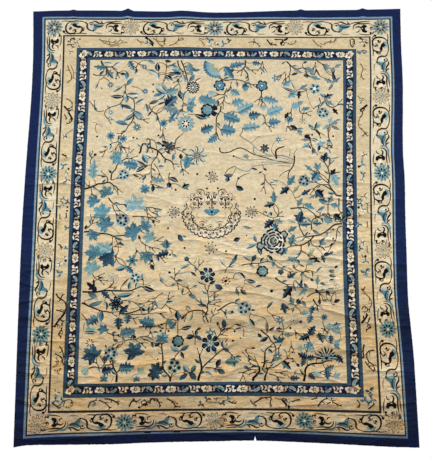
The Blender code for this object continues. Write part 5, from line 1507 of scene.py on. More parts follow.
# Maple leaves: stalk end, direction in degrees, size, the two yarns
MAPLE_LEAVES = (
    (69.5, 204.9, 180, 9.6, "blue", "teal"), (59.6, 175.6, 112, 9.0, "indigo", "teal"),
    (80, 164.5, 100, 13.0, "pale_blue", "pale_blue"), (51.5, 169.5, 128, 8.6, "blue", "indigo"),
    (60, 161.5, 150, 12.0, "teal", "blue"), (157.8, 203.8, 60, 4.2, "teal", "green"),
    (60.8, 152, 125, 10.5, "blue", "indigo"), (82.6, 147.6, 152, 11.6, "blue", "indigo"),
    (85.2, 150.8, 62, 8.4, "indigo", "blue"), (91.6, 142.4, 118, 8.6, "pale_blue", "teal"),
    (88.4, 135.6, -96, 9.0, "indigo", "blue"), (66, 131.4, 184, 12.0, "indigo", "navy"),
    (53.4, 130.4, 118, 11.6, "indigo", "blue"), (52.4, 120.2, 128, 10.4, "pale_blue", "teal"),
    (51.4, 150.8, -118, 8.2, "indigo", "blue"), (60, 77.6, 118, 6.8, "blue", "indigo"),
    (99.8, 70.4, 88, 8.0, "indigo", "blue"), (55.4, 59.6, 142, 11.8, "navy", "indigo"),
    (82.8, 60.4, 116, 12.0, "navy", "indigo"), (60.2, 43.6, 90, 5.2, "indigo", "blue"),
    (82.8, 43.6, 96, 4.6, "indigo", "teal"), (95.2, 49.4, 74, 8.4, "indigo", "black"),
    (95.6, 52.6, -104, 8.2, "indigo", "black"),
)

# The field's flowers: place, radius, kind, petals
FLOWERS = (
    (84, 275, 2.4, "star", 8), (59.3, 261, 2.8, "star", 8), (85, 255.7, 2.6, "star", 8),
    (60, 239.5, 2.4, "pale star", 7), (59.7, 234.8, 2.2, "pale star", 7), (79.5, 228, 3.1, "star", 8),
    (98.7, 231, 3.2, "dark star", 8), (95, 260.5, 2.8, "outline", 6), (53, 230.5, 2.6, "outline", 6),
    (60.5, 221.5, 3.3, "dark star", 8), (69.6, 219.3, 3.1, "dark star", 8),
    (120, 258.5, 4.1, "black aster", 12), (115, 230.5, 6.0, "daisy", 12), (130.5, 241, 5.0, "peony", 9),
    (139.5, 260, 4.6, "blossom", 6), (112, 252.5, 1.8, "star", 6), (170.5, 259.5, 4.6, "blossom", 5),
    (180.5, 265.5, 3.0, "star", 5), (209, 257, 4.5, "wedge", 5), (214.6, 238.2, 4.6, "eyes", 6),
    (200, 232.5, 2.6, "small aster", 7), (103, 213, 3.7, "spiky", 7), (70.5, 192, 4.4, "eyes", 6),
    (86, 181.4, 3.7, "spiky blue", 7), (123.3, 206.2, 7.4, "spider", 8),
    (134.4, 190, 4.1, "small aster", 9), (162, 164, 4.4, "small aster", 10),
    (107, 164, 4.4, "small aster", 10), (182, 218, 2.6, "star", 6), (200, 187, 4.8, "eyes", 7),
    (172, 211.5, 3.0, "spiky", 7), (70.6, 158.4, 5.2, "eyes", 7), (78, 129, 4.4, "dark star", 6),
    (80.4, 116.6, 4.0, "wedge", 6), (65, 116, 4.2, "outline", 7), (67.3, 98.4, 4.5, "spiky", 8),
    (49.8, 71, 3.1, "spokes", 8), (64.6, 63.6, 5.2, "eyes", 7), (60.6, 60, 2.0, "navy bud", 5),
    (110.8, 72, 4.4, "peony", 8), (108.6, 54.6, 5.0, "ring of eyes", 5), (133.4, 77.8, 3.6, "star", 5),
    (133.2, 70.4, 6.2, "navy lobes", 7), (156.8, 94.8, 5.2, "eyes", 6),
    (155.2, 82.2, 2.5, "small aster", 6), (133.5, 138, 4.4, "small aster", 8),
    (116.4, 130, 1.9, "navy bud", 5), (131, 118.6, 5.4, "navy lobes", 7), (144, 114.3, 3.2, "ring", 8),
    (115, 112.5, 2.9, "outline", 6), (169.6, 121, 4.3, "peony", 8), (182.4, 120.5, 2.2, "navy bud", 5),
    (181.5, 86.4, 3.1, "star", 7), (191.5, 86.5, 3.3, "outline", 8), (195.7, 85.3, 1.2, "navy bud", 5),
    (212, 88.5, 2.9, "dark star", 8), (179.4, 61.5, 3.3, "star", 7), (221.6, 110, 2.2, "spokes", 6),
)

# Loose dots of the field: place, radius
DOTS = (
    (63.3, 265.8, 0.7), (90.8, 255.3, 0.7), (90.7, 261, 0.7), (95.2, 221.7, 0.8), (53, 258.3, 0.6),
    (60.4, 215, 0.7), (50.6, 221, 0.8), (61, 194.3, 0.9), (56.8, 212.7, 0.6), (77, 220, 0.8),
    (79.6, 219.4, 0.7), (49.5, 207.3, 1.1), (108.1, 180.6, 0.9), (123.5, 192.3, 0.9),
    (130.5, 181.5, 0.8), (138.3, 181.7, 0.8), (153, 189, 0.9), (164.6, 173.6, 0.9), (149.6, 205.7, 0.8),
    (206.4, 221.6, 0.8), (211.5, 222, 0.8), (221.5, 220.4, 0.8), (132.3, 193.3, 0.8), (129.8, 191, 0.6),
    (98.5, 214, 1.2), (92.5, 157, 1.0), (103, 152.4, 0.8), (104.6, 133, 0.8), (104.4, 120.4, 1.0),
    (81.2, 135.5, 0.7), (91.8, 128.6, 1.0), (83, 103.8, 0.7), (86.2, 94.3, 1.1), (66, 76.2, 0.9),
    (69.4, 76.1, 0.9), (80.7, 74.9, 1.2), (98.6, 91.2, 0.8), (99.4, 83.6, 0.9), (100.1, 81, 0.7),
    (98.7, 79.2, 0.9), (91.6, 78, 0.8), (86.2, 70.3, 0.7), (104.2, 79, 0.8), (97, 59.6, 0.6),
    (114.8, 138, 0.8), (144.1, 135.5, 0.8), (158.5, 147, 0.6), (143.6, 114, 1.0), (154, 74, 0.6),
    (148.8, 72.3, 0.9), (160.6, 59.3, 0.6), (157.8, 65.6, 0.7), (150, 78.8, 0.8), (144.2, 80.4, 0.5),
    (175.8, 107, 1.2), (188.5, 81, 0.9), (189.6, 64.2, 0.8), (189.8, 57.8, 0.7), (192.6, 77.5, 0.8),
)


def two_points(row):
    """Base, direction in degrees and length of a row that starts with base and tip."""
    u0, v0, u1, v1 = row[:4]
    return (u0, v0), atan2(v1 - v0, u1 - u0) * 180 / pi, hypot(u1 - u0, v1 - v0)


# The simple kinds of flower, part by part, sizes as shares of the radius. Petals: number, inner end,
# outer end, width, turn, yarn, yarn of the tips; round: size, depth of the scallops, points to each,
# turn, yarn; dot: size, sides, yarn. OWN is the flower's own number, BETWEEN half a petal's turn.
OWN = 0
BETWEEN = None
FLOWER_PARTS = {
    "star": (
        ("dot", 0.5, 8, "teal"), ("petals", OWN, 0.25, 1.0, 0.46, 0, "indigo", "teal"),
        ("petals", OWN, 0.18, 0.52, 0.20, BETWEEN, "indigo"), ("dot", 0.2, 8, "cream"),
    ),
    "pale star": (
        ("dot", 0.5, 8, "pale_blue"), ("petals", OWN, 0.25, 1.0, 0.46, 0, "blue", "pale_blue"),
        ("petals", OWN, 0.18, 0.52, 0.20, BETWEEN, "teal"), ("dot", 0.2, 8, "cream"),
    ),
    "dark star": (
        ("dot", 0.5, 8, "blue"), ("petals", OWN, 0.25, 1.0, 0.46, 0, "indigo", "blue"),
        ("petals", OWN, 0.18, 0.52, 0.20, BETWEEN, "navy"), ("dot", 0.2, 8, "black"),
    ),
    "outline": (
        ("petals", OWN, 0.25, 1.0, 0.42, 0, "grey"), ("petals", OWN, 0.4, 0.86, 0.22, 0, "cream"),
        ("dot", 0.2, 7, "green"),
    ),
    "black aster": (
        ("round", 0.98, 0.2, 3, 0, "black"), ("petals", OWN, 0.3, 1.2, 0.5, 0, "black"),
        ("petals", OWN, 0.36, 0.94, 0.17, 0, "cream"), ("dot", 0.46, 12, "pale_blue"),
        ("petals", 5, 0.14, 0.50, 0.24, 10, "black"), ("dot", 0.16, 6, "cream"),
    ),
    "daisy": (
        ("petals", OWN, 0.3, 1.08, 0.44, 14, "teal", "grey"),
        ("petals", OWN, 0.3, 0.92, 0.34, 0, "blue", "pale_blue"), ("dot", 0.52, 12, "cream"),
        ("petals", 7, 0.16, 0.50, 0.26, 0, "black"),
    ),
    "wedge": (
        ("round", 1.0, 0.3, 6, 0, "pale_blue"), ("petals", OWN, 0.2, 0.82, 0.34, 36, "navy"),
        ("dot", 0.26, 8, "cream"),
    ),
    "spider": (
        ("petals", OWN, 0.12, 1.0, 0.36, 0, "grey", "teal"), ("petals", OWN, 0.4, 0.9, 0.12, 4, "cream"),
        ("petals", OWN, 0.3, 0.84, 0.07, -9, "navy"), ("petals", OWN, 0.1, 0.4, 0.12, 22, "brown"),
        ("dot", 0.11, 7, "tan"),
    ),
    "spokes": (("petals", OWN, 0.3, 1.0, 0.26, 0, "black"), ("dot", 0.18, 6, "cream")),
    "ring": (
        ("petals", OWN, 0.55, 1.0, 0.34, 0, "black"), ("petals", OWN, 0.45, 0.75, 0.14, 20, "grey"),
        ("dot", 0.32, 8, "black"),
    ),
}


def draw_flower_part(drawing, at, radius, petals, spin, shape, *row):
    """One part of a simple flower."""
    if shape == "petals":
        count, inner, outer, width, turn, yarn, *tips = row
        start = spin + (180 / petals if turn is BETWEEN else turn)
        sizes = (radius * inner, radius * outer, radius * width)
        petal_ring(drawing, at, count or petals, *sizes, yarn, start, *tips)
    elif shape == "round":
        size, depth, steps, turn, yarn = row
        drawing.fill(rosette(at, radius * size, petals, depth, spin + turn, steps), yarn)
    else:
        size, sides, yarn = row
        dot(drawing, at, radius * size, yarn, sides)


def around(at, radius, count, start):
    """Places evenly round a centre."""
    return [place([(radius, 0)], at, start + 360 * k / count)[0] for k in range(count)]


def peony(drawing, at, radius, petals, spin):
    """A full dark flower with a paler heart; a large one has two buds beside it."""
    u, v = at
    drawing.fill(rosette(at, radius, petals, 0.16, spin), "black")
    heart = rosette(at, radius * 0.74, petals - 1, 0.18, spin)
    drawing.fill(heart, "indigo", "pale_blue", (u - radius, v), (u + radius, v + radius))
    for turn in (-30, 15) if radius > 4.6 else ():
        bud = place([(radius * 1.15, 0)], at, turn)[0]
        drawing.fill(rosette(bud, radius * 0.44, 4, 0.2, turn), "navy")
    petal_ring(drawing, at, 6, radius * 0.14, radius * 0.62, radius * 0.2, "blue", spin)
    dot(drawing, at, radius * 0.16, "green", 6)


def blossom(drawing, at, radius, petals, spin):
    """A blossom with a dark rim around blue petals, each with a dark vein."""
    drawing.fill(rosette(at, radius, petals, 0.30, spin, 6), "navy")
    drawing.fill(rosette(at, radius * 0.74, petals, 0.34, spin, 6), "blue")
    vein = [(0.12, 0), (0.35, 0.12), (0.5, 0), (0.35, -0.12)]
    for k in range(petals):
        drawing.fill(place(vein, at, spin + 360 * (k + 0.5) / petals, radius), "indigo")
    dot(drawing, at, radius * 0.16, "cream", 7)


def spiky(drawing, at, radius, petals, spin):
    """A dark flower of long points."""
    petal_ring(drawing, at, petals, SPIKE_ROOT, radius * 1.15, radius * 0.55, "black", spin, "navy")
    petal_ring(drawing, at, petals, radius * 0.4, radius * 0.9, radius * 0.12, "teal", spin)


def spiky_blue(drawing, at, radius, petals, spin):
    """A blue flower of broad points."""
    petal_ring(drawing, at, petals, SPIKE_ROOT, radius, radius * 0.62, "indigo", spin, "blue")


def small_aster(drawing, at, radius, petals, spin):
    """A pale flower with brown edges and a dark bud at each tip."""
    petal_ring(drawing, at, petals, radius * 0.1, radius * 0.95, radius * 0.34, "brown", spin)
    petal_ring(drawing, at, petals, radius * 0.2, radius * 0.85, radius * 0.2, "grey", spin, "cream")
    for k in range(petals):
        tip = place([(radius * (0.86 + 0.12 * (k % 2)), 0)], at, spin + 360 * k / petals)[0]
        dot(drawing, tip, radius * 0.13, "black", 5)


def navy_bud(drawing, at, radius, petals, spin):
    """A small navy flower."""
    u, v = at
    drawing.fill(rosette(at, radius, petals, 0.2, spin), "navy", "indigo", (u, v - radius), (u, v + radius))


def ring_of_eyes(drawing, at, radius, petals, spin):
    """Round petals with black middles."""
    for eye in around(at, radius * 0.62, petals, 54):
        dot(drawing, eye, radius * 0.38, "teal", 9)
        dot(drawing, eye, radius * 0.23, "black", 7)
    dot(drawing, at, radius * 0.16, "brown", 6)


def navy_lobes(drawing, at, radius, petals, spin):
    """A large flower of navy and black petals, each with a blue heart and a pale edge."""
    u, v = at
    ground = rosette(at, radius * 0.9, petals, 0.2, spin)
    drawing.fill(ground, "indigo", "pale_blue", (u, v - radius), (u, v + radius))
    petal = [(0.35, 0), (0.6, 0.27), (0.92, 0.25), (1.04, 0.0), (0.92, -0.25), (0.6, -0.27)]
    heart = [(0.5, 0.03), (0.8, 0.1), (0.8, 0.02), (0.5, -0.05)]
    edge = [(0.5, 0.24), (0.9, 0.40), (0.92, 0.31), (0.5, 0.17)]
    for k in range(petals):
        for shape, yarn in ((petal, "navy" if k % 2 else "black"), (heart, "indigo"), (edge, "cream")):
            drawing.fill(place(shape, at, spin + 360 * k / petals, radius), yarn)
    dot(drawing, at, radius * 0.34, "teal", 9)
    petal_ring(drawing, at, 6, radius * 0.08, radius * 0.38, radius * 0.13, "cream", spin)


def eyes(drawing, at, radius, petals, spin):
    """A pale scalloped flower with navy spots."""
    u, v = at
    ground = rosette(at, radius, petals, 0.2, spin)
    drawing.fill(ground, "pale_blue", "grey", (u, v - radius), (u, v + radius))
    for k in range(petals):
        eye = place([(radius * (0.66 if k % 2 else 0.48), 0)], at, spin + 360 * k / petals)[0]
        dot(drawing, eye, radius * 0.2, "navy", 7)
    dot(drawing, at, radius * 0.13, "cream", 6)


# How far from the middle a spiky flower's points begin
SPIKE_ROOT = 0.1
FLOWER_MAKERS = {
    "peony": peony, "blossom": blossom, "spiky": spiky, "spiky blue": spiky_blue,
    "small aster": small_aster, "navy bud": navy_bud, "ring of eyes": ring_of_eyes,
    "navy lobes": navy_lobes, "eyes": eyes,
}


def draw_flower(drawing, u, v, radius, kind, petals):
    """One flower of the field, turned by an angle that its place gives."""
    spin = (u * 7 + v * 13) % 60
    if kind in FLOWER_MAKERS:
        FLOWER_MAKERS[kind](drawing, (u, v), radius, petals, spin)
    else:
        for part in FLOWER_PARTS[kind]:
            draw_flower_part(drawing, (u, v), radius, petals, spin, *part)


# The round wreath in the middle of the field: its centre, and how much wider than high it is
WREATH_MIDDLE = (133.6, 163.5)
WREATH_WIDENING = 1.12
# Its scalloped lower garland: from angle, to angle, outer and inner reach, scallops
GARLAND_FROM, GARLAND_TO = 176.0, 364.0
GARLAND_REACHES = (17.6, 13.4)
GARLAND_SCALLOPS = 20
# The little trees of its upper half: place from its centre, height
WREATH_TREES = ((-9.6, 6.2, 8.0), (0.0, 6.6, 9.4), (9.6, 6.2, 8.0))
# The lines of its right half: yarn, width, then places from its centre
WREATH_LINES = (
    ("brown", 0.5, (18.6, -3.4), (19.6, 1.2), (17.2, 4.2), (18.4, 8.4)),
    ("grey", 0.45, (18.4, 8.4), (15.0, 11.0), (14.8, 14.0), (11.0, 14.6)),
    ("brown", 0.5, (11.0, 14.6), (9.2, 17.4), (5.4, 16.4), (5.0, 13.0)),
    ("brown", 0.5, (2.0, -12.6), (5.0, -10.4), (9.4, -11.4), (10.2, -8.0)),
    ("black", 0.5, (10.2, -8.0), (13.6, -6.6), (12.2, -2.8), (15.0, -0.8)),
    ("tan", 0.5, (15.0, -0.8), (13.4, 2.6), (15.2, 5.6), (12.4, 8.0)),
    ("brown", 0.5, (12.4, 8.0), (11.8, 11.4), (8.0, 11.2), (7.4, 8.0)),
    ("tan", 0.4, (7.4, 8.0), (9.4, 5.6), (12.0, 5.8)),
    ("brown", 0.5, (0.8, 15.8), (1.8, 12.4), (0.6, 9.2), (2.6, 6.8)),
    ("grey", 0.4, (2.6, 6.8), (5.0, 8.6), (4.4, 11.4)),
    ("brown", 0.4, (3.0, -8.0), (6.4, -6.2), (8.6, -7.2)),
    ("grey", 0.4, (8.6, -3.8), (10.6, -1.6), (9.2, 0.8)),
)
# Its curls: place from the centre, radius, where the outer end lies; then its dots
WREATH_CURLS = (
    (16.8, -1.0, 1.8, 160), (17.8, 6.0, 1.7, 250), (14.2, 9.8, 1.8, 60), (8.4, 14.8, 1.8, 300),
    (3.4, 13.6, 1.5, 90), (10.2, 9.6, 1.5, 10), (6.0, -8.6, 1.5, 330), (12.6, 3.6, 1.4, 220),
)
WREATH_DOTS = (
    (3.4, -14.4), (9.8, -14.8), (13.2, -12.0), (17.4, -8.6), (14.4, -4.2), (19.4, -0.8), (16.4, 3.0),
    (19.2, 5.0), (16.6, 11.6), (12.6, 13.0), (7.0, 17.0), (2.6, 10.4), (8.6, 7.0), (11.4, -5.8),
     (3.4, -6.0),
)


def garland_edge(reach, bulge, wave):
    """Points along the garland's scalloped edge."""
    points = []
    total = GARLAND_SCALLOPS * 4
    for k in range(total + 1):
        angle = radians(GARLAND_FROM + (GARLAND_TO - GARLAND_FROM) * k / total)
        out = reach + bulge * abs(sin(pi * k / 4 + wave))
        across = WREATH_MIDDLE[0] + out * cos(angle) * WREATH_WIDENING
        points.append((across, WREATH_MIDDLE[1] + out * sin(angle)))
    return points


def draw_wreath(drawing):
    """The round wreath in the field's middle: a scalloped garland below, small trees and curls above."""
    u, v = WREATH_MIDDLE
    outer = garland_edge(GARLAND_REACHES[0], 1.2, 0.0)
    inner = garland_edge(GARLAND_REACHES[1], -0.9, 0.6)
    drawing.fill(outer + inner[::-1], "cream", "ivory", (u, v - 17), (u, v))
    drawing.fill(ribbon(outer, lambda t: 0.85), "black")
    drawing.fill(ribbon(inner, lambda t: 0.7), "black")
    for k in range(GARLAND_SCALLOPS):
        angle = GARLAND_FROM + (GARLAND_TO - GARLAND_FROM) * (k + 0.5) / GARLAND_SCALLOPS
        reach = 15.4 + (0.7 if k % 2 else -0.7)
        at = (u + reach * cos(radians(angle)) * WREATH_WIDENING, v + reach * sin(radians(angle)))
        yarn, turn = ("black", 1) if k % 2 else ("brown", -1)
        curl(drawing, at, 1.3, angle + 60 * (k % 3), yarn, turn, 0.44)
    for k, (x, y, high) in enumerate(WREATH_TREES):
        for side in (-1, 1):
            drawing.fill(rosette((u + x + side * 2.4, v + y + high * 0.55), 2.3, 5, 0.3, k * 20), "cream")
        trunk = [(u + x, v + y - high * 0.5), (u + x + 0.5, v + y), (u + x, v + y + high * 0.7)]
        stroke(drawing, trunk, 0.6, "black")
        for side in (-1, 1):
            for share in (0.05, 0.55):
                bough = (u + x + side * 2.5, v + y + high * share)
                curl(drawing, bough, 1.7, 90 - side * 70, "black", side, 0.5)
            dot(drawing, (u + x + side * 1.3, v + y - high * 0.3), 0.6, "black", 6)
            dot(drawing, (u + x + side * 2.2, v + y + high * 0.9), 0.55, "black", 6)
    for side in (-1, 1):
        for yarn, width, *points in WREATH_LINES:
            stroke(drawing, [(u + side * x, v + y) for x, y in points], width, yarn)
        for k, (x, y, radius, angle) in enumerate(WREATH_CURLS):
            start = angle if side > 0 else 180 - angle
            yarn = "grey" if k % 3 == 1 else "brown"
            curl(drawing, (u + side * x, v + y), radius, start, yarn, side, 0.36)
        for x, y in WREATH_DOTS:
            dot(drawing, (u + side * x, v + y), 0.5, "black", 6)
    for x, y, yarn in (
        (-14.6, -9.6, "teal"), (14.6, -9.6, "teal"), (-0.4, -15.6, "teal"), (-0.4, -10.0, "grey"),
    ):
        petal_ring(drawing, (u + x, v + y), 7, 0.9, 2.3, 0.8, yarn, 12)
        dot(drawing, (u + x, v + y), 0.6, "black")
    wings = [
        (-6, 0.6), (-4.4, 2.2), (-2.0, 1.9), (0, 3.1), (2.0, 1.9), (4.4, 2.2), (6, 0.6), (3.4, -1.6),
        (1.2, -2.8), (-1.2, -2.8), (-3.4, -1.6),
    ]
    heart = (u + 0.4, v + 0.7)
    drawing.fill(place(wings, heart, 0), "blue", "indigo", (u, v + 4), (u, v - 2))
    petal_ring(drawing, heart, 5, 0.8, 2.6, 0.8, "pale_blue", 18)
    dot(drawing, heart, 1.0, "navy", 8)


def scale_petal(drawing, at, angle, size, yarn):
    """A dark crescent with a pale lining, one of the overlapping petals of a full flower."""
    drawing.fill(place(arc((0, 0), size, -80, 80, 5) + [(-size * 0.2, 0)], at, angle), yarn)
    drawing.fill(place(arc((-size * 0.42, 0), size * 0.62, -62, 62, 4) + [(-size * 0.5, 0)], at, angle),
                 "teal", "cream", *place([(size * 0.3, 0), (-size * 0.6, 0)], at, angle))


def draw_great_flower(drawing):
    """The large chrysanthemum of navy petals with cream gaps."""
    at = (177.3, 142.8)
    for u, v in ((184.8, 147.4), (182.2, 136.2), (168.4, 139.4)):
        drawing.fill(rosette((u, v), 3.3, 5, 0.2, u), "black")
        drawing.fill(rosette((u, v), 2.2, 5, 0.2, u), "grey", "pale_blue", (u, v - 2), (u, v + 2))
    drawing.fill(rosette(at, 8.2, 14, 0.1, 5, 4), "grey", "cream", (at[0] - 6, at[1]), (at[0] + 6, at[1]))
    for reach, count, size in ((7.9, 15, 1.75), (5.9, 12, 1.6), (4.0, 9, 1.5), (2.1, 6, 1.3)):
        for k in range(count):
            angle = 360 * k / count + reach * 9 + 5 * sin(k * 2.3)
            middle = place([(reach - 0.7 + 0.3 * sin(k * 1.7), 0)], at, angle)[0]
            scale_petal(drawing, middle, angle + 8 * sin(k * 1.3), size, "navy" if k % 3 == 1 else "black")
    dot(drawing, at, 1.3, "black", 8)
    dot(drawing, at, 0.5, "cream", 6)


def draw_half_flower(drawing):
    """The large half-open blue flower under the far end of the field."""
    at = (137.4, 275.6)
    for k, (outer, inner, yarn, other) in enumerate((
        (10.4, 6.4, "indigo", "blue"), (8.2, 4.0, "blue", "pale_blue"), (5.4, 1.8, "pale_blue", "green"),
    )):
        edge = [
            place([(outer * (1 - 0.09 * (i % 2)), 0)], at, 152 + 138 * i / 22)[0] for i in range(23)
        ]
        back = arc(at, inner, 286, 156, 9)
        drawing.fill(edge + back, yarn, other, (127, 272), (139, 272 - k))
    for k in range(5):
        vein = [place([(reach, 0)], at, 170 + 24 * k)[0] for reach in (4.4, 9.2)]
        drawing.fill(ribbon(vein, lambda t: 0.5 * (1.1 - t)), "pale_blue")


def draw_fan_flower(drawing):
    """The half-open chrysanthemum near the right of the near end."""
    at = (213, 60.2)
    base = [place([(6.6 if k % 2 else 7.4, 0)], at, 186 * k / 20 - 4)[0] for k in range(21)]
    drawing.fill(base + [place([(1.6, 0)], at, 250)[0]], "pale_blue", "cream", (213, 60), (213, 67))
    for reach, start, wide, count, yarn in (
        (8.4, 3.4, 1.0, 15, "black"), (5.2, 1.8, 0.95, 10, "navy"), (2.9, 0.4, 0.8, 7, "indigo"),
    ):
        for k in range(count):
            angle = -6 + 192 * k / (count - 1) + 4 * sin(k * 2.1)
            long = reach * (1 + 0.06 * sin(k * 1.7))
            petal = [(start, 0), (long * 0.7, wide / 2), (long, 0.1), (long * 0.7, -wide / 2)]
            drawing.fill(place(petal, at, angle), yarn)
    dot(drawing, at, 1.2, "black", 8)


# A leaf or flower that stands between these distances off a stem is joined to it by a twig
TWIG_SHORTEST = 0.8
TWIG_REACH = 11.0
TWIG_WIDTH = 0.42
TWIG_SWING = 0.16
# The small leaves: length, distance between them along a stem, distance to the next leaf's middle
SMALL_LEAF = 4.6
SMALL_LEAF_STEP = 8.0
SMALL_LEAF_ROOM = 3.1
# The part of the field whose thin grass stays bare: from u, from v, to u, to v
BARE_GRASS = (138, 192, 199, 226)
SMALL_LEAF_YARNS = (
    ("navy", "blue"), ("teal", "pale_blue"), ("indigo", "teal"), ("black", "indigo"),
    ("blue", "pale_blue"), ("navy", "teal"), ("grey", "teal"),
)
# The stems of these yarns bear forks and small leaves
DARK_STEMS = ("brown", "black")


def leafy(points):
    """Whether a stem may carry small leaves: it has none in the grass."""
    (u, v), (tip_u, tip_v) = points[0], points[-1]
    from_u, from_v, to_u, to_v = BARE_GRASS
    starts_there = from_u < u < to_u and from_v < v < to_v
    return not (starts_there and from_u < tip_u < to_u and from_v - 4 < tip_v < to_v)


def draw_twigs(drawing):
    """A thin twig from the nearest stem to each leaf and flower that stands a little off it."""
    reached = []
    for width, yarn, *points in STEMS:
        reached.extend(smooth_path(points, 1.5))
    for k, (u, v) in enumerate([row[:2] for row in LEAVES + LOBED_LEAVES + FLOWERS]):
        near = min(reached, key=lambda p: hypot(p[0] - u, p[1] - v))
        gap = hypot(near[0] - u, near[1] - v)
        if TWIG_SHORTEST < gap < TWIG_REACH:
            swing = TWIG_SWING if k % 2 else -TWIG_SWING
            middle = (
                (near[0] + u) / 2 - (v - near[1]) * swing,
                (near[1] + v) / 2 + (u - near[0]) * swing,
            )
            stem(drawing, [near, middle, (u, v)], TWIG_WIDTH, "brown" if k % 3 else "tan", 0.8)


def draw_forks(drawing):
    """Two short twiglets with a dark bud at the tip of each dark stem."""
    for k, (width, yarn, *points) in enumerate(STEMS):
        if yarn in DARK_STEMS and leafy(points):
            (u0, v0), (u, v) = points[-2:]
            angle = atan2(v - v0, u - u0) * 180 / pi
            for side, reach in ((1, 3.6), (-1, 2.8)):
                at = place([(-1.5, 0), (0.6, 0.9 * side), (reach, 1.8 * side)], (u, v), angle)
                stem(drawing, at, TWIG_WIDTH, "brown", 0.8)
                if (k + side) % 3:
                    dot(drawing, at[-1], 0.5, "black", 6)


def draw_small_leaves(drawing):
    """Small leaves set alternately along the dark stems, wherever the large ones leave room."""
    taken = [((row[0] + row[2]) / 2, (row[1] + row[3]) / 2) for row in LEAVES + LOBED_LEAVES]
    taken += [row[:2] for row in FLOWERS]
    k = 0
    for width, yarn, *points in STEMS:
        if yarn not in DARK_STEMS or not leafy(points):
            continue
        path = smooth_path(points, 1.0)
        due = SMALL_LEAF_STEP * 0.6
        run = 0.0
        for (u0, v0), (u, v) in zip(path, path[1:]):
            run += hypot(u - u0, v - v0)
            if run < due:
                continue
            due += SMALL_LEAF_STEP
            k += 1
            angle = atan2(v - v0, u - u0) * 180 / pi + (48 if k % 2 else -48)
            middle = place([(SMALL_LEAF / 2, 0)], (u, v), angle)[0]
            if min(hypot(middle[0] - p[0], middle[1] - p[1]) for p in taken) > SMALL_LEAF_ROOM:
                taken.append(middle)
                length = SMALL_LEAF * (0.85 + 0.1 * (k % 4))
                yarns = SMALL_LEAF_YARNS[k % len(SMALL_LEAF_YARNS)]
                leaf(drawing, (u, v), angle, length, yarns, 0.34, 0.1)


# A leaf of LEAVES is drawn with lobes from this length and width on
LOBED_LENGTH = 5.5
BROAD_LEAF = 3.4
# From here to the right, half as wide is enough
TOOTHED_FROM = 178.0
# A leaf of LOBED_LEAVES has three lobes a side below this length and four above
FOUR_LOBES_FROM = 10
# How much wider than their tables say the leaves are drawn
LOBED_WIDENING = 1.12
TWO_LOBE_WIDENING = 1.3
# One narrow leaf in so many is nearly black, as in the photo
DARK_LEAF_EVERY = 5


def draw_table_leaf(drawing, k, row):
    """The leaf in row k of LEAVES: a lobed one if it is broad, else a lance leaf."""
    at, angle, length = two_points(row)
    width, yarns = row[4], row[5:]
    on_right = row[0] > TOOTHED_FROM
    if length > LOBED_LENGTH and (width > BROAD_LEAF or on_right and width > BROAD_LEAF / 2):
        lobes = 2 if on_right or k % 2 else 3
        widening = TWO_LOBE_WIDENING if lobes == 2 else 1
        lobed_leaf(drawing, at, angle, length, yarns, lobes, width / length * widening)
    else:
        if k % DARK_LEAF_EVERY == 2 and width < BROAD_LEAF:
            yarns = ("black", "navy")
        leaf(drawing, at, angle, length, yarns, width / length, 0.1 if k % 2 else -0.1)


def draw_field(drawing):
    """Everything on the field's ground."""
    for width, yarn, *points in STEMS:
        stem(drawing, points, width, yarn)
    draw_twigs(drawing)
    draw_forks(drawing)
    draw_small_leaves(drawing)
    for row in LOBED_LEAVES:
        at, angle, length = two_points(row)
        lobes = 3 if length < FOUR_LOBES_FROM else 4
        lobed_leaf(drawing, at, angle, length, row[5:], lobes, row[4] / length * LOBED_WIDENING)
    for u, v, angle, size, *yarns in MAPLE_LEAVES:
        maple_leaf(drawing, (u, v), angle, size * MAPLE_SIZE, yarns)
    for k, row in enumerate(LEAVES):
        draw_table_leaf(drawing, k, row)
    draw_wreath(drawing)
    draw_great_flower(drawing)
    draw_fan_flower(drawing)
    draw_half_flower(drawing)
    for row in FLOWERS:
        draw_flower(drawing, *row)
    for u, v, radius in DOTS:
        dot(drawing, (u, v), radius)


# The heights of the carpet's layers over its underside, in centimetres, as all sizes below
PILE_TOP = 1.0
PILE_FOOT = 0.25
BACK_TOP = 0.3
# How far in the pile's rim is rounded, and the share of it where its middle row of points stands
RIM_ROUNDING = 0.3
RIM_MIDDLE = 0.35
# The outer edge: distance between its points, and how far they stray from true
EDGE_STEP = 1.0
EDGE_ROUGHNESS = 0.10
# The loose points inside the sheets, and how far from the edge they end, below and in the back's cover
GRID_STEP = 3.2
GRID_MARGIN = 1.2
COVER_MARGIN = 2.0
# How far the back's rim stands in from the pile's
BACK_INSET = 0.05
# The back leaves out motifs of less than this many square centimetres
SMALLEST_ON_BACK = 1.4


def tear_outline():
    """The notch of the tear, from left to right."""
    return [
        (TEAR_U - TEAR_WIDTH / 2, 0.0), (TEAR_U - TEAR_WIDTH * 0.26, TEAR_DEPTH * 0.5),
        (TEAR_U, TEAR_DEPTH), (TEAR_U + TEAR_WIDTH * 0.22, TEAR_DEPTH * 0.5),
        (TEAR_U + TEAR_WIDTH / 2, 0.0),
    ]


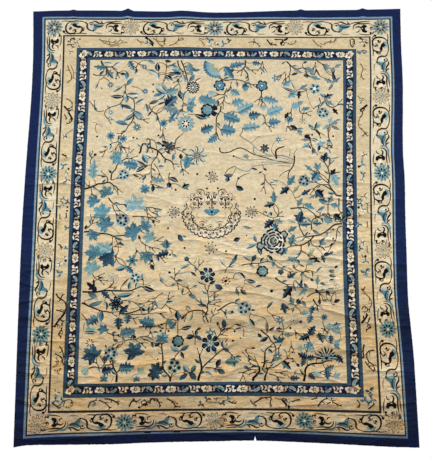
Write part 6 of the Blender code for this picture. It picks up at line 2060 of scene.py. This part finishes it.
def carpet_outline(seed):
    """The carpet's outer edge on the plan, slightly uneven as cut wool is, with its tear."""
    chance = random.Random(seed)
    notch = tear_outline()
    outline = []
    for start, stop in (
        ((0, 0), notch[0]), (notch[-1], (WIDTH, 0)), ((WIDTH, 0), (WIDTH, LENGTH)),
        ((WIDTH, LENGTH), (0, LENGTH)), ((0, LENGTH), (0, 0)),
    ):
        count = round(hypot(stop[0] - start[0], stop[1] - start[1]) / EDGE_STEP)
        for k in range(count):
            u = start[0] + (stop[0] - start[0]) * k / count
            v = start[1] + (stop[1] - start[1]) * k / count
            if k:
                if start[1] == stop[1]:
                    v += chance.uniform(-EDGE_ROUGHNESS, EDGE_ROUGHNESS)
                else:
                    u += chance.uniform(-EDGE_ROUGHNESS, EDGE_ROUGHNESS)
            outline.append((u, v))
        if stop == notch[0]:
            outline.extend(notch[:-1])
    return outline


def inset(outline, distance):
    """The outline's points moved inwards by a distance."""
    moved = []
    count = len(outline)
    for k, (u, v) in enumerate(outline):
        before, after = outline[k - 1], outline[(k + 1) % count]
        du, dv = after[0] - before[0], after[1] - before[1]
        size = hypot(du, dv)
        moved.append((u - dv / size * distance, v + du / size * distance))
    return moved


# A shape is tested corner by corner if it claims this many times its own area, and this much more
CLAIM_SHARE = 1.2
CLAIM_ROOM = 0.05


def signed_area(outline):
    """Area of an outline, positive when it runs anticlockwise."""
    total = 0.0
    for k, (x, y) in enumerate(outline):
        x0, y0 = outline[k - 1]
        total += x0 * y - x * y0
    return total / 2


def encloses(outline, u, v):
    """Whether an outline winds round a point."""
    turns = 0
    for k, (u1, v1) in enumerate(outline):
        u0, v0 = outline[k - 1]
        side = (u1 - u0) * (v - v0) - (u - u0) * (v1 - v0)
        if v0 <= v < v1 and side > 0:
            turns += 1
        elif v1 <= v < v0 and side < 0:
            turns -= 1
    return turns != 0


def top_shapes(shapes, points, triangles, sources):
    """The topmost shape over each triangle, or -1. One that claims more than its own area is tested."""
    claimed = [0.0] * len(shapes)
    for triangle, owners in zip(triangles, sources):
        size = abs(signed_area([points[k] for k in triangle]))
        for k in owners:
            claimed[k] += size
    doubtful = set()
    for k, shape in enumerate(shapes):
        if claimed[k] > abs(signed_area(shape[0])) * CLAIM_SHARE + CLAIM_ROOM:
            doubtful.add(k)
    top = []
    for triangle, owners in zip(triangles, sources):
        u = sum(points[k][0] for k in triangle) / 3
        v = sum(points[k][1] for k in triangle) / 3
        chosen = -1
        for k in sorted(owners, reverse=True):
            if k not in doubtful or encloses(shapes[k][0], u, v):
                chosen = k
                break
        top.append(chosen)
    return top


def cut_sheet(shapes, loose):
    """Cut outlines and loose points into triangles; gives points, triangles and their top shapes."""
    points, faces = [], []
    for shape in shapes:
        outline = shape[0] if signed_area(shape[0]) > 0 else shape[0][::-1]
        faces.append(list(range(len(points), len(points) + len(outline))))
        points.extend(Vector(p) for p in outline)
    points.extend(Vector(p) for p in loose)
    made = delaunay_2d_cdt(points, [], faces, 1, 1e-6, True)
    corners = [tuple(v) for v in made[0]]
    triangles = made[2]
    top = top_shapes(shapes, corners, triangles, made[5])
    chosen = [k for k, t in enumerate(top) if t >= 0]
    return corners, [triangles[k] for k in chosen], [top[k] for k in chosen]


def shade_at(shape, u, v):
    """Which share of a shape's second yarn shows at a point."""
    (u0, v0), (u1, v1) = shape[3], shape[4]
    size = (u1 - u0) ** 2 + (v1 - v0) ** 2
    return min(1.0, max(0.0, ((u - u0) * (u1 - u0) + (v - v0) * (v1 - v0)) / size))


def edge_distance(u, v):
    """Distance from the carpet's nearest straight edge."""
    return min(u, WIDTH - u, v, LENGTH - v)


class Layout:
    """Where plan points go in the row frame."""

    def __init__(self, outline):
        low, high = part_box("rug")
        laid = [lay(u, v) for u, v in outline]
        self.shift = []
        for axis in (0, 1):
            middle = (min(p[axis] for p in laid) + max(p[axis] for p in laid)) / 2
            self.shift.append((low[axis] + high[axis]) / 2 - middle * CM)

    def at(self, u, v, height):
        """A plan point at a height over the underside, in metres in the row frame."""
        x, y, lift = lay(u, v)
        return x * CM + self.shift[0], y * CM + self.shift[1], (height + lift) * CM


def boundary_of(triangles):
    """The directed edges that only one triangle has, which run round the sheet's rim."""
    seen = {}
    for a, b, c in triangles:
        for edge in ((a, b), (b, c), (c, a)):
            seen[edge] = True
    return [edge for edge in seen if (edge[1], edge[0]) not in seen]


def build_mesh(name, coords, faces, corner_colours):
    """A mesh with a colour on every face corner."""
    mesh = bpy.data.meshes.new(name)
    mesh.from_pydata(coords, [], faces)
    layer = mesh.color_attributes.new("yarn_color", "FLOAT_COLOR", "CORNER")
    flat = []
    for colours in corner_colours:
        for red, green, blue in colours:
            flat.extend((red, green, blue, 1.0))
    layer.data.foreach_set("color", flat)
    mesh.polygons.foreach_set("use_smooth", [True] * len(mesh.polygons))
    mesh.update()
    return mesh


def add_object(name, mesh, material):
    """Put a mesh in the scene with its material."""
    piece = bpy.data.objects.new(name, mesh)
    bpy.context.scene.collection.objects.link(piece)
    piece.data.materials.append(material)
    return piece


def finished_drawing(seed):
    """The whole drawing, with the carpet's outline first."""
    drawing = Drawing()
    drawing.fill(carpet_outline(seed), "edge_band")
    draw_grounds(drawing)
    draw_main_border(drawing)
    draw_guard(drawing)
    draw_second_border(drawing)
    draw_field(drawing)
    return drawing


def grid_points(step, margin):
    """Loose points over the whole plan, so that ripples and tones have corners to follow."""
    points = []
    columns, rows = round(WIDTH / step), round(LENGTH / step)
    for i in range(columns + 1):
        for j in range(rows + 1):
            u = margin + (WIDTH - 2 * margin) * i / columns
            v = margin + (LENGTH - 2 * margin) * j / rows
            if abs(u - TEAR_U) > TEAR_WIDTH or v > TEAR_DEPTH + 1:
                points.append((u, v))
    return points


# An outline of so many points or more is a whole ground, and keeps its plain tone
GROUND_POINTS = 200


def shape_colours(drawing, yarns, seed):
    """For each shape its two yarn colours, each a little lighter or darker as dye lots are."""
    chance = random.Random(seed)
    spread = yarns.dye_spread
    result = []
    for outline, yarn, other, start, stop in drawing.shapes:
        tone = 1 + chance.uniform(-spread, spread) if len(outline) < GROUND_POINTS else 1.0
        result.append(tuple(
            tuple(min(1.0, channel * tone) for channel in getattr(yarns, name)) for name in (yarn, other)
        ))
    return result


def triangle_colours(shapes, tones, points, triangles, top):
    """The colour of every triangle corner."""
    colours = []
    for triangle, k in zip(triangles, top):
        first, second = tones[k]
        shape = shapes[k]
        row = []
        for corner in triangle:
            share = shade_at(shape, *points[corner]) if first != second else 0.0
            row.append(tuple(a + (b - a) * share for a, b in zip(first, second)))
        colours.append(row)
    return colours


def colour(label, red, green, blue, about):
    """A colour setting with its default given as a screen colour."""
    return FloatVectorProperty(
        name=label, description=about, default=from_srgb(red, green, blue), subtype="COLOR",
        size=3, min=0.0, max=1.0,
    )


class CarpetYarns(bpy.types.PropertyGroup):
    """Colours of the wool."""
    edge_band: colour("Edge band", 22, 37, 78, "Plain dark outer band")
    edge_blue: colour("Edge line", 124, 154, 178, "Light blue line inside the outer band")
    edge_dark: colour("Dark line", 30, 42, 52, "Thin dark lines between the borders")
    guard_line: colour("Guard line", 52, 76, 98, "Blue lines that bound the inner guard")
    ivory: colour("Ivory", 217, 202, 170, "Ground of the field")
    chalk: colour("Chalk", 222, 210, 180, "Ground of the main border")
    sand: colour("Sand", 213, 196, 159, "Ground of the second border")
    cream: colour("Cream", 234, 226, 206, "Lightest wool, in blossoms and highlights")
    tan: colour("Tan", 132, 102, 66, "Faded stems and outlines")
    brown: colour("Brown", 62, 46, 32, "Stems and scrolls")
    black: colour("Black", 20, 16, 18, "Darkest wool, in dots and dark scrolls")
    navy: colour("Navy", 22, 30, 56, "Ground of the guard and dark leaves")
    indigo: colour("Indigo", 60, 104, 128, "Mid-dark blue leaves")
    blue: colour("Blue", 98, 149, 167, "Mid blue leaves")
    pale_blue: colour("Pale blue", 146, 179, 184, "Light blue leaves")
    teal: colour("Teal", 107, 147, 152, "Greyed green-blue leaves and flowers")
    grey: colour("Grey", 138, 146, 140, "Faded grey-blue")
    green: colour("Green", 164, 164, 118, "Faded olive shading")
    dye_spread: FloatProperty(
        name="Dye spread", description="How far one motif's tone strays from the next's",
        default=0.10, min=0.0, max=0.5, subtype="FACTOR",
    )


class CarpetSizes(bpy.types.PropertyGroup):
    """Sizes of the sheet."""
    grid_step: FloatProperty(
        name="Grid step", description="Spacing of the sheet's loose corner points",
        default=GRID_STEP * CM, min=0.005, unit="LENGTH",
    )
    seed: IntProperty(name="Seed", description="Seed of the uneven edge and the dye lots", default=11)
    row_pitch: FloatProperty(
        name="Row pitch", description="Spacing of the knot rows", default=0.0042, min=0.001, unit="LENGTH",
    )
    pile_relief: FloatProperty(
        name="Pile relief", description="Height of the knot rows and tufts in the shading",
        default=0.0009, min=0.0, unit="LENGTH",
    )
    crease_depth: FloatProperty(
        name="Crease depth", description="Height of the fine creases in the shading",
        default=0.006, min=0.0, unit="LENGTH",
    )


def new_group(name, inputs, outputs):
    """A shader node group with the given sockets; each input is name, type, default."""
    group = bpy.data.node_groups.new(name, "ShaderNodeTree")
    for label, kind, default in inputs:
        socket = group.interface.new_socket(label, in_out="INPUT", socket_type=kind)
        if default is not None:
            socket.default_value = default
    for label, kind in outputs:
        group.interface.new_socket(label, in_out="OUTPUT", socket_type=kind)
    return group, group.nodes.new("NodeGroupInput"), group.nodes.new("NodeGroupOutput")


def math_node(tree, operation, first, second=None):
    """A math node fed by sockets or numbers; gives its output."""
    node = tree.nodes.new("ShaderNodeMath")
    node.operation = operation
    for k, value in enumerate((first, second)):
        if value is None:
            continue
        if isinstance(value, (int, float)):
            node.inputs[k].default_value = value
        else:
            tree.links.new(value, node.inputs[k])
    return node.outputs[0]


def mix_colour(tree, blend, factor, first, second):
    """A colour mix node; gives its output."""
    node = tree.nodes.new("ShaderNodeMix")
    node.data_type = "RGBA"
    node.blend_type = blend
    for socket, value in ((node.inputs[0], factor), (node.inputs[6], first), (node.inputs[7], second)):
        if isinstance(value, bpy.types.NodeSocket):
            tree.links.new(value, socket)
        elif isinstance(value, (int, float)):
            socket.default_value = value
        else:
            socket.default_value = (*value, 1.0)
    return node.outputs[2]


def noise(tree, vector, scale, detail=2.0, stretch=(1, 1, 1)):
    """Noise on stretched coordinates; gives its value."""
    mapping = tree.nodes.new("ShaderNodeMapping")
    mapping.inputs["Scale"].default_value = stretch
    tree.links.new(vector, mapping.inputs["Vector"])
    node = tree.nodes.new("ShaderNodeTexNoise")
    node.inputs["Scale"].default_value = scale
    node.inputs["Detail"].default_value = detail
    tree.links.new(mapping.outputs[0], node.inputs["Vector"])
    return node.outputs["Fac"]


def ramp(tree, value, stops):
    """A colour ramp; stops are (place, colour)."""
    node = tree.nodes.new("ShaderNodeValToRGB")
    elements = node.color_ramp.elements
    while len(elements) > 1:
        elements.remove(elements[-1])
    elements[0].position, elements[0].color = stops[0][0], (*stops[0][1], 1.0)
    for at, shade in stops[1:]:
        elements.new(at).color = (*shade, 1.0)
    tree.links.new(value, node.inputs[0])
    return node.outputs[0]


# How finely the creases and the broad folds repeat across the width and along the length, how
# sharp their ridges are, and how much higher the folds stand
CREASE_STRETCH = (4.6, 11.5, 1)
CREASE_SHARPNESS = 9
FOLD_STRETCH = (1.1, 4.2, 1)
FOLD_SHARPNESS = 11
FOLD_SHARE = 2.4
# How high the knots' rows stand beside the tufts, and how fine the tufts and the wear are
KNOT_SHARE = 0.25
TUFT_SCALE = 260
WEAR_SCALE = 1.6
# How the creases fade away from the near end: fall along the length, level, contrast, least
CREASE_FALL = 0.22
CREASE_LEVEL = 0.30
CREASE_CONTRAST = 2.2
CREASE_LEAST = 0.06

# How the painted shade changes the wool's tone from the near end to the far one, darkest at the near end:
# share of the length, tint
PAINTED_SHADE_STOPS = (
    (0.000, (0.38, 0.34, 0.42)),
    (0.021, (0.42, 0.38, 0.42)),
    (0.027, (0.57, 0.52, 0.50)),
    (0.09, (0.70, 0.64, 0.61)),
    (0.16, (0.84, 0.78, 0.72)),
    (0.27, (0.76, 0.71, 0.66)),
    (0.31, (0.88, 0.84, 0.80)),
    (0.36, (0.92, 0.90, 0.88)),
    (0.42, (0.98, 0.97, 0.96)),
    (0.70, (1.00, 1.00, 1.00)),
    (1.00, (0.94, 0.93, 0.92)),
)


# How far and how finely the edge of the painted shade wanders
SHADE_WANDER = 0.10
SHADE_WANDER_SCALE = 1.4
# The share of the stains and of the painted crease shade that shows: at the near end, its fall along the
# length, the least
STAIN_AND_SHADE_AT_NEAR = 1.25
STAIN_AND_SHADE_FALL = 1.6
STAIN_AND_SHADE_LEAST = 0.22
# The stains, streaks of painted crease shade and grain: where they show, noise scale, detail, stretch, then
# the tints
MOTTLING_AND_CREASE_SHADE = (
    # Painted shade of fine horizontal creases with a yellow stain tint: thin darker streaks across the
    # width, strongest towards the near end
    ("stains_and_shade", 1.0, 4, (0.9, 16, 1), ((0.30, (0.88, 0.84, 0.77)), (0.62, (1.05, 1.05, 1.05)))),
    ("stains_and_shade", 3.2, 3, (1, 1, 1), ((0.34, (0.94, 0.90, 0.82)), (0.64, (1.04, 1.05, 1.06)))),
    ("stains_and_shade", 7.0, 2, (1, 1.6, 1),
     ((0.36, (1.09, 0.96, 0.78)), (0.52, (1.0, 1.0, 1.0)), (0.68, (0.97, 1.01, 1.03)))),
    ("all over", 34, 2, (1, 1.5, 1), ((0.32, (0.88, 0.87, 0.86)), (0.66, (1.09, 1.09, 1.09)))),
    ("all over", 160, 1, (1, 1, 1), ((0.30, (0.84, 0.84, 0.84)), (0.70, (1.12, 1.12, 1.12)))),
)


def shade_and_stain_group():
    """Colour of the yarn after mottling and stains, painted streaks of crease shade, and painted shade that
    darkens it towards the near end.
    """
    group, source, sink = new_group(
        "Aged wool",
        [("Yarn", "NodeSocketColor", None), ("Place", "NodeSocketVector", None)],
        [("Colour", "NodeSocketColor")],
    )
    where = source.outputs["Place"]
    parts = group.nodes.new("ShaderNodeSeparateXYZ")
    group.links.new(where, parts.inputs[0])
    along = math_node(group, "MULTIPLY", parts.outputs["Y"], 1 / (LENGTH * CM))
    along = math_node(group, "ADD", along, 0.5)
    wander = math_node(group, "SUBTRACT", noise(group, where, SHADE_WANDER_SCALE, 3), 0.5)
    wander = math_node(group, "MULTIPLY", wander, SHADE_WANDER)
    stains_and_shade = math_node(group, "SUBTRACT", STAIN_AND_SHADE_AT_NEAR, math_node(group, "MULTIPLY", along, STAIN_AND_SHADE_FALL))
    stains_and_shade = math_node(group, "MAXIMUM", stains_and_shade, STAIN_AND_SHADE_LEAST)
    # Painted shade: the wool darker towards the near end
    painted_shading = ramp(group, math_node(group, "ADD", along, wander), PAINTED_SHADE_STOPS)
    result = mix_colour(group, "MULTIPLY", 1.0, source.outputs["Yarn"], painted_shading)
    for reach, scale, detail, stretch, tints in MOTTLING_AND_CREASE_SHADE:
        layer = ramp(group, noise(group, where, scale, detail, stretch), tints)
        strength = stains_and_shade if reach == "stains_and_shade" else 1.0
        result = mix_colour(group, "MULTIPLY", strength, result, layer)
    group.links.new(result, sink.inputs["Colour"])
    return group


def ridges(tree, value, sharpness):
    """One along the lines where a noise is at its middle value, falling off to nothing beside them."""
    off = math_node(tree, "ABSOLUTE", math_node(tree, "SUBTRACT", value, 0.5))
    off = math_node(tree, "MINIMUM", math_node(tree, "MULTIPLY", off, sharpness), 1)
    return math_node(tree, "SUBTRACT", 1.0, off)


def knot_group():
    """Height, in metres, of the knots in their rows, of uneven tufts and of the worn end's creases."""
    group, source, sink = new_group(
        "Knot rows",
        [("Place", "NodeSocketVector", None), ("Pitch", "NodeSocketFloat", None),
         ("Relief", "NodeSocketFloat", None), ("Crease", "NodeSocketFloat", None)],
        [("Height", "NodeSocketFloat")],
    )
    where = source.outputs["Place"]
    parts = group.nodes.new("ShaderNodeSeparateXYZ")
    group.links.new(where, parts.inputs[0])
    turns = math_node(group, "DIVIDE", 2 * pi, source.outputs["Pitch"])
    waves = []
    for axis in ("X", "Y"):
        waves.append(math_node(group, "SINE", math_node(group, "MULTIPLY", parts.outputs[axis], turns)))
    rows = math_node(group, "MULTIPLY", math_node(group, "ADD", *waves), KNOT_SHARE)
    tufts = noise(group, where, TUFT_SCALE, 3)
    pile = math_node(group, "MULTIPLY", math_node(group, "ADD", rows, tufts), source.outputs["Relief"])
    fine = ridges(group, noise(group, where, 1.0, 3, CREASE_STRETCH), CREASE_SHARPNESS)
    broad = ridges(group, noise(group, where, 1.0, 1, FOLD_STRETCH), FOLD_SHARPNESS)
    broad = math_node(group, "MULTIPLY", math_node(group, "MULTIPLY", broad, broad), FOLD_SHARE)
    fall = math_node(group, "MULTIPLY", parts.outputs["Y"], CREASE_FALL)
    worn = math_node(group, "SUBTRACT", noise(group, where, WEAR_SCALE, 1), fall)
    worn = math_node(group, "MULTIPLY", math_node(group, "SUBTRACT", worn, CREASE_LEVEL), CREASE_CONTRAST)
    worn = math_node(group, "MINIMUM", math_node(group, "MAXIMUM", worn, CREASE_LEAST), 1)
    creases = math_node(group, "MULTIPLY", math_node(group, "ADD", fine, broad), worn)
    creases = math_node(group, "MULTIPLY", creases, source.outputs["Crease"])
    group.links.new(math_node(group, "ADD", pile, creases), sink.inputs["Height"])
    return group


# The wool's finish, and the linear colour of the cotton that shows between the knots of the back
WOOL_ROUGHNESS = 0.95
WOOL_SHINE = 0.05
SHEEN_ROUGHNESS = 0.5
BUMP_STRENGTH = 0.8
COTTON = (0.42, 0.36, 0.27)
# The pile and the back: sheen, share of the pile's relief, share of bare cotton
PILE_FINISH = (0.06, 1.0, 0.0)
BACK_FINISH = (0.0, 0.7, 0.22)


def wool_material(name, sizes, finish):
    """Wool that takes its colour from the mesh's yarn colours."""
    sheen, relief, bare = finish
    shaded_wool = bpy.data.node_groups.get("Aged wool") or shade_and_stain_group()
    knot_rows = bpy.data.node_groups.get("Knot rows") or knot_group()
    material = bpy.data.materials.new(name)
    material.use_nodes = True
    tree = material.node_tree
    shader = tree.nodes["Principled BSDF"]
    shader.inputs["Roughness"].default_value = WOOL_ROUGHNESS
    shader.inputs["Specular IOR Level"].default_value = WOOL_SHINE
    shader.inputs["Sheen Weight"].default_value = sheen
    shader.inputs["Sheen Roughness"].default_value = SHEEN_ROUGHNESS
    yarn = tree.nodes.new("ShaderNodeVertexColor")
    yarn.layer_name = "yarn_color"
    where = tree.nodes.new("ShaderNodeTexCoord")
    # The yarn colours get painted shade towards the near end and along fine creases, as well as stains and
    # mottling
    painted_shading = tree.nodes.new("ShaderNodeGroup")
    painted_shading.node_tree = shaded_wool
    tree.links.new(yarn.outputs["Color"], painted_shading.inputs["Yarn"])
    tree.links.new(where.outputs["Object"], painted_shading.inputs["Place"])
    tinted = mix_colour(tree, "MIX", bare, painted_shading.outputs["Colour"], COTTON)
    tree.links.new(tinted, shader.inputs["Base Color"])
    knots = tree.nodes.new("ShaderNodeGroup")
    knots.node_tree = knot_rows
    knots.inputs["Pitch"].default_value = sizes.row_pitch
    knots.inputs["Relief"].default_value = sizes.pile_relief * relief
    knots.inputs["Crease"].default_value = sizes.crease_depth
    tree.links.new(where.outputs["Object"], knots.inputs["Place"])
    bump = tree.nodes.new("ShaderNodeBump")
    bump.inputs["Distance"].default_value = 1.0
    bump.inputs["Strength"].default_value = BUMP_STRENGTH
    tree.links.new(knots.outputs["Height"], bump.inputs["Height"])
    tree.links.new(bump.outputs["Normal"], shader.inputs["Normal"])
    return material


def pile_height(u, v):
    """Height of the pile's surface: full inside, rounded down to the rim."""
    depth = edge_distance(u, v)
    if v < TEAR_DEPTH + RIM_ROUNDING and abs(u - TEAR_U) < TEAR_WIDTH:
        mouth = TEAR_WIDTH / 2 * (1 - max(v, 0.0) / TEAR_DEPTH)
        depth = min(depth, max(0.0, abs(u - TEAR_U) - mouth))
    share = min(1.0, max(0.0, depth) / RIM_ROUNDING)
    return PILE_TOP - RIM_ROUNDING * (1 - sqrt(1 - (1 - share) ** 2))


def sheet_parts(settings):
    """What both sheets are cut from: the shapes, their yarn colours, the loose points, the layout."""
    sizes = settings.carpet_sizes
    drawing = finished_drawing(sizes.seed)
    outline = drawing.shapes[0][0]
    rings = inset(outline, RIM_ROUNDING * RIM_MIDDLE) + inset(outline, RIM_ROUNDING)
    loose = [p for p in rings if edge_distance(*p) > 0.02] + grid_points(sizes.grid_step / CM, GRID_MARGIN)
    tones = shape_colours(drawing, settings.carpet_yarns, sizes.seed)
    return drawing.shapes, tones, loose, Layout(outline)


def rim_order(rim):
    """The rim's corners in the order they are met going round."""
    following = dict(rim)
    start = rim[0][0]
    order = [start]
    while following[order[-1]] != start:
        order.append(following[order[-1]])
    if len(order) != len(rim):
        raise RuntimeError("The sheet's rim is not one closed loop")
    return order


def pulled_in(points, rim, distance):
    """The points, with those on the rim moved inwards."""
    inward = {}
    for a, b in rim:
        (u0, v0), (u1, v1) = points[a], points[b]
        size = hypot(u1 - u0, v1 - v0) or 1.0
        for corner in (a, b):
            du, dv = inward.get(corner, (0.0, 0.0))
            inward[corner] = (du - (v1 - v0) / size, dv + (u1 - u0) / size)
    moved = list(points)
    for corner, (du, dv) in inward.items():
        size = hypot(du, dv) or 1.0
        u, v = points[corner]
        moved[corner] = (u + du / size * distance, v + dv / size * distance)
    return moved


def add_cover(coords, layout, rim_places, rim_corners):
    """Add the points of a plain cover inside a rim that is there already; gives its triangles."""
    loose = grid_points(GRID_STEP, COVER_MARGIN)
    points, triangles, _ = cut_sheet([(rim_places, "", "", None, None)], loose)
    corner_at = {(round(u, 4), round(v, 4)): k for (u, v), k in zip(rim_places, rim_corners)}
    corners = []
    for u, v in points:
        key = (round(u, 4), round(v, 4))
        if key not in corner_at:
            corner_at[key] = len(coords)
            coords.append(layout.at(u, v, BACK_TOP))
        corners.append(corner_at[key])
    return [tuple(corners[k] for k in triangle) for triangle in triangles]


class CARPET_OT_pile(bpy.types.Operator):
    """Make the carpet's pile, cut along every outline of the drawing"""
    bl_idname = "carpet.pile"
    bl_label = "Pile"

    def execute(self, context):
        shapes, tones, loose, layout = sheet_parts(context.scene)
        points, triangles, top = cut_sheet(shapes, loose)
        colours = triangle_colours(shapes, tones, points, triangles, top)
        rim = boundary_of(triangles)
        coords = [layout.at(u, v, pile_height(u, v)) for u, v in points]
        foot = {}
        for corner in rim_order(rim):
            foot[corner] = len(coords)
            coords.append(layout.at(*points[corner], PILE_FOOT))
        faces = [tuple(t) for t in triangles] + [(b, a, foot[a], foot[b]) for a, b in rim]
        band = tones[0][0]
        mesh = build_mesh("pile", coords, faces, colours + [[band] * 4] * len(rim))
        wool = wool_material("wool_pile", context.scene.carpet_sizes, PILE_FINISH)
        pile = add_object("carpet_pile", mesh, wool)
        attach(pile, "root")
        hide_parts("rug")
        return {"FINISHED"}


class CARPET_OT_back(bpy.types.Operator):
    """Make the knotted back under the pile"""
    bl_idname = "carpet.back"
    bl_label = "Back"

    def execute(self, context):
        pile = bpy.data.objects.get("carpet_pile")
        if pile is None:
            raise RuntimeError("Make the pile first")
        shapes, tones, loose, layout = sheet_parts(context.scene)
        kept = [k for k, shape in enumerate(shapes) if abs(signed_area(shape[0])) > SMALLEST_ON_BACK]
        shapes, tones = [shapes[k] for k in kept], [tones[k] for k in kept]
        points, triangles, top = cut_sheet(shapes, loose)
        colours = triangle_colours(shapes, tones, points, triangles, top)
        rim = boundary_of(triangles)
        order = rim_order(rim)
        lower = pulled_in(points, rim, BACK_INSET)
        coords = [layout.at(u, v, 0.0) for u, v in lower]
        upper = {}
        for corner in order:
            upper[corner] = len(coords)
            coords.append(layout.at(*lower[corner], BACK_TOP))
        cover = add_cover(coords, layout, [lower[k] for k in order], [upper[k] for k in order])
        faces = [tuple(reversed(t)) for t in triangles] + cover
        faces += [(a, b, upper[b], upper[a]) for a, b in rim]
        band = tones[0][0]
        colours = [row[::-1] for row in colours] + [[band] * 3] * len(cover) + [[band] * 4] * len(rim)
        mesh = build_mesh("back", coords, faces, colours)
        wool = wool_material("knotted_back", context.scene.carpet_sizes, BACK_FINISH)
        back = add_object("carpet_back", mesh, wool)
        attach(back, "root")
        return {"FINISHED"}


# The stage, in metres and degrees. The floor glows white, so that it takes no shadow
FLOOR_REACH = 14.0
FLOOR_DROP = 0.0005
SKY_STRENGTH = 0.55
SUN_STRENGTH = 3.5
SUN_WIDTH = 4
SUN_TURN = (-58, -8, 0)
# The camera, found from the photo's four corners: focal length in millimetres, place, turn in radians
FOCAL_LENGTH = 82.53
CAMERA_PLACE = (0.1486, -1.8611, 7.2329)
CAMERA_TURN = (0.2400, 0.0194, 0.0013)
WHITE = (1.0, 1.0, 1.0, 1.0)
BLACK = (0.0, 0.0, 0.0, 1.0)


class CARPET_OT_stage(bpy.types.Operator):
    """Set the floor, the light and the camera"""
    bl_idname = "carpet.stage"
    bl_label = "Floor, light and camera"

    def execute(self, context):
        scene = context.scene
        mesh = bpy.data.meshes.new("floor")
        signs = ((-1, -1), (1, -1), (1, 1), (-1, 1))
        corners = [(x * FLOOR_REACH, y * FLOOR_REACH, -FLOOR_DROP) for x, y in signs]
        mesh.from_pydata(corners, [], [(0, 1, 2, 3)])
        material = bpy.data.materials.new("pale_floor")
        material.use_nodes = True
        shader = material.node_tree.nodes["Principled BSDF"]
        shader.inputs["Base Color"].default_value = BLACK
        shader.inputs["Roughness"].default_value = 1.0
        shader.inputs["Specular IOR Level"].default_value = 0.0
        shader.inputs["Emission Color"].default_value = WHITE
        shader.inputs["Emission Strength"].default_value = 1.0
        add_object("floor", mesh, material)

        world = scene.world or bpy.data.worlds.new("studio")
        scene.world = world
        world.use_nodes = True
        nodes = world.node_tree.nodes
        background = nodes.get("Background") or nodes.new("ShaderNodeBackground")
        background.inputs["Color"].default_value = WHITE
        background.inputs["Strength"].default_value = SKY_STRENGTH

        lamp = bpy.data.lights.new("window", "SUN")
        lamp.energy = SUN_STRENGTH
        lamp.angle = radians(SUN_WIDTH)
        window = bpy.data.objects.new("window", lamp)
        window.rotation_euler = [radians(turn) for turn in SUN_TURN]
        scene.collection.objects.link(window)

        lens = bpy.data.cameras.new("camera")
        lens.lens = FOCAL_LENGTH
        camera = bpy.data.objects.new("camera", lens)
        camera.location = CAMERA_PLACE
        camera.rotation_euler = CAMERA_TURN
        scene.collection.objects.link(camera)
        scene.camera = camera
        scene.view_settings.view_transform = "Standard"
        return {"FINISHED"}


class CARPET_PT_panel(bpy.types.Panel):
    """Lists the carpet's operators"""
    bl_idname = "CARPET_PT_panel"
    bl_label = "Carpet"
    bl_space_type = "VIEW_3D"
    bl_region_type = "UI"
    bl_category = "Carpet"

    def draw(self, context):
        layout = self.layout
        for settings in (context.scene.carpet_sizes, context.scene.carpet_yarns):
            box = layout.box()
            for name in settings.__annotations__:
                box.prop(settings, name)
        for operator in ("carpet.pile", "carpet.back", "carpet.stage"):
            layout.operator(operator)


CLASSES = (CarpetYarns, CarpetSizes, CARPET_OT_pile, CARPET_OT_back, CARPET_OT_stage, CARPET_PT_panel)


def register():
    """Register the classes and their settings."""
    for cls in CLASSES:
        bpy.utils.register_class(cls)
    bpy.types.Scene.carpet_yarns = PointerProperty(type=CarpetYarns)
    bpy.types.Scene.carpet_sizes = PointerProperty(type=CarpetSizes)


def unregister():
    """Remove the settings and the classes."""
    del bpy.types.Scene.carpet_yarns
    del bpy.types.Scene.carpet_sizes
    for cls in reversed(CLASSES):
        bpy.utils.unregister_class(cls)


def main():
    """Build everything."""
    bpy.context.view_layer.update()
    register()
    bpy.ops.carpet.pile()
    bpy.ops.carpet.back()
    bpy.ops.carpet.stage()


if __name__ == "__main__":
    main()
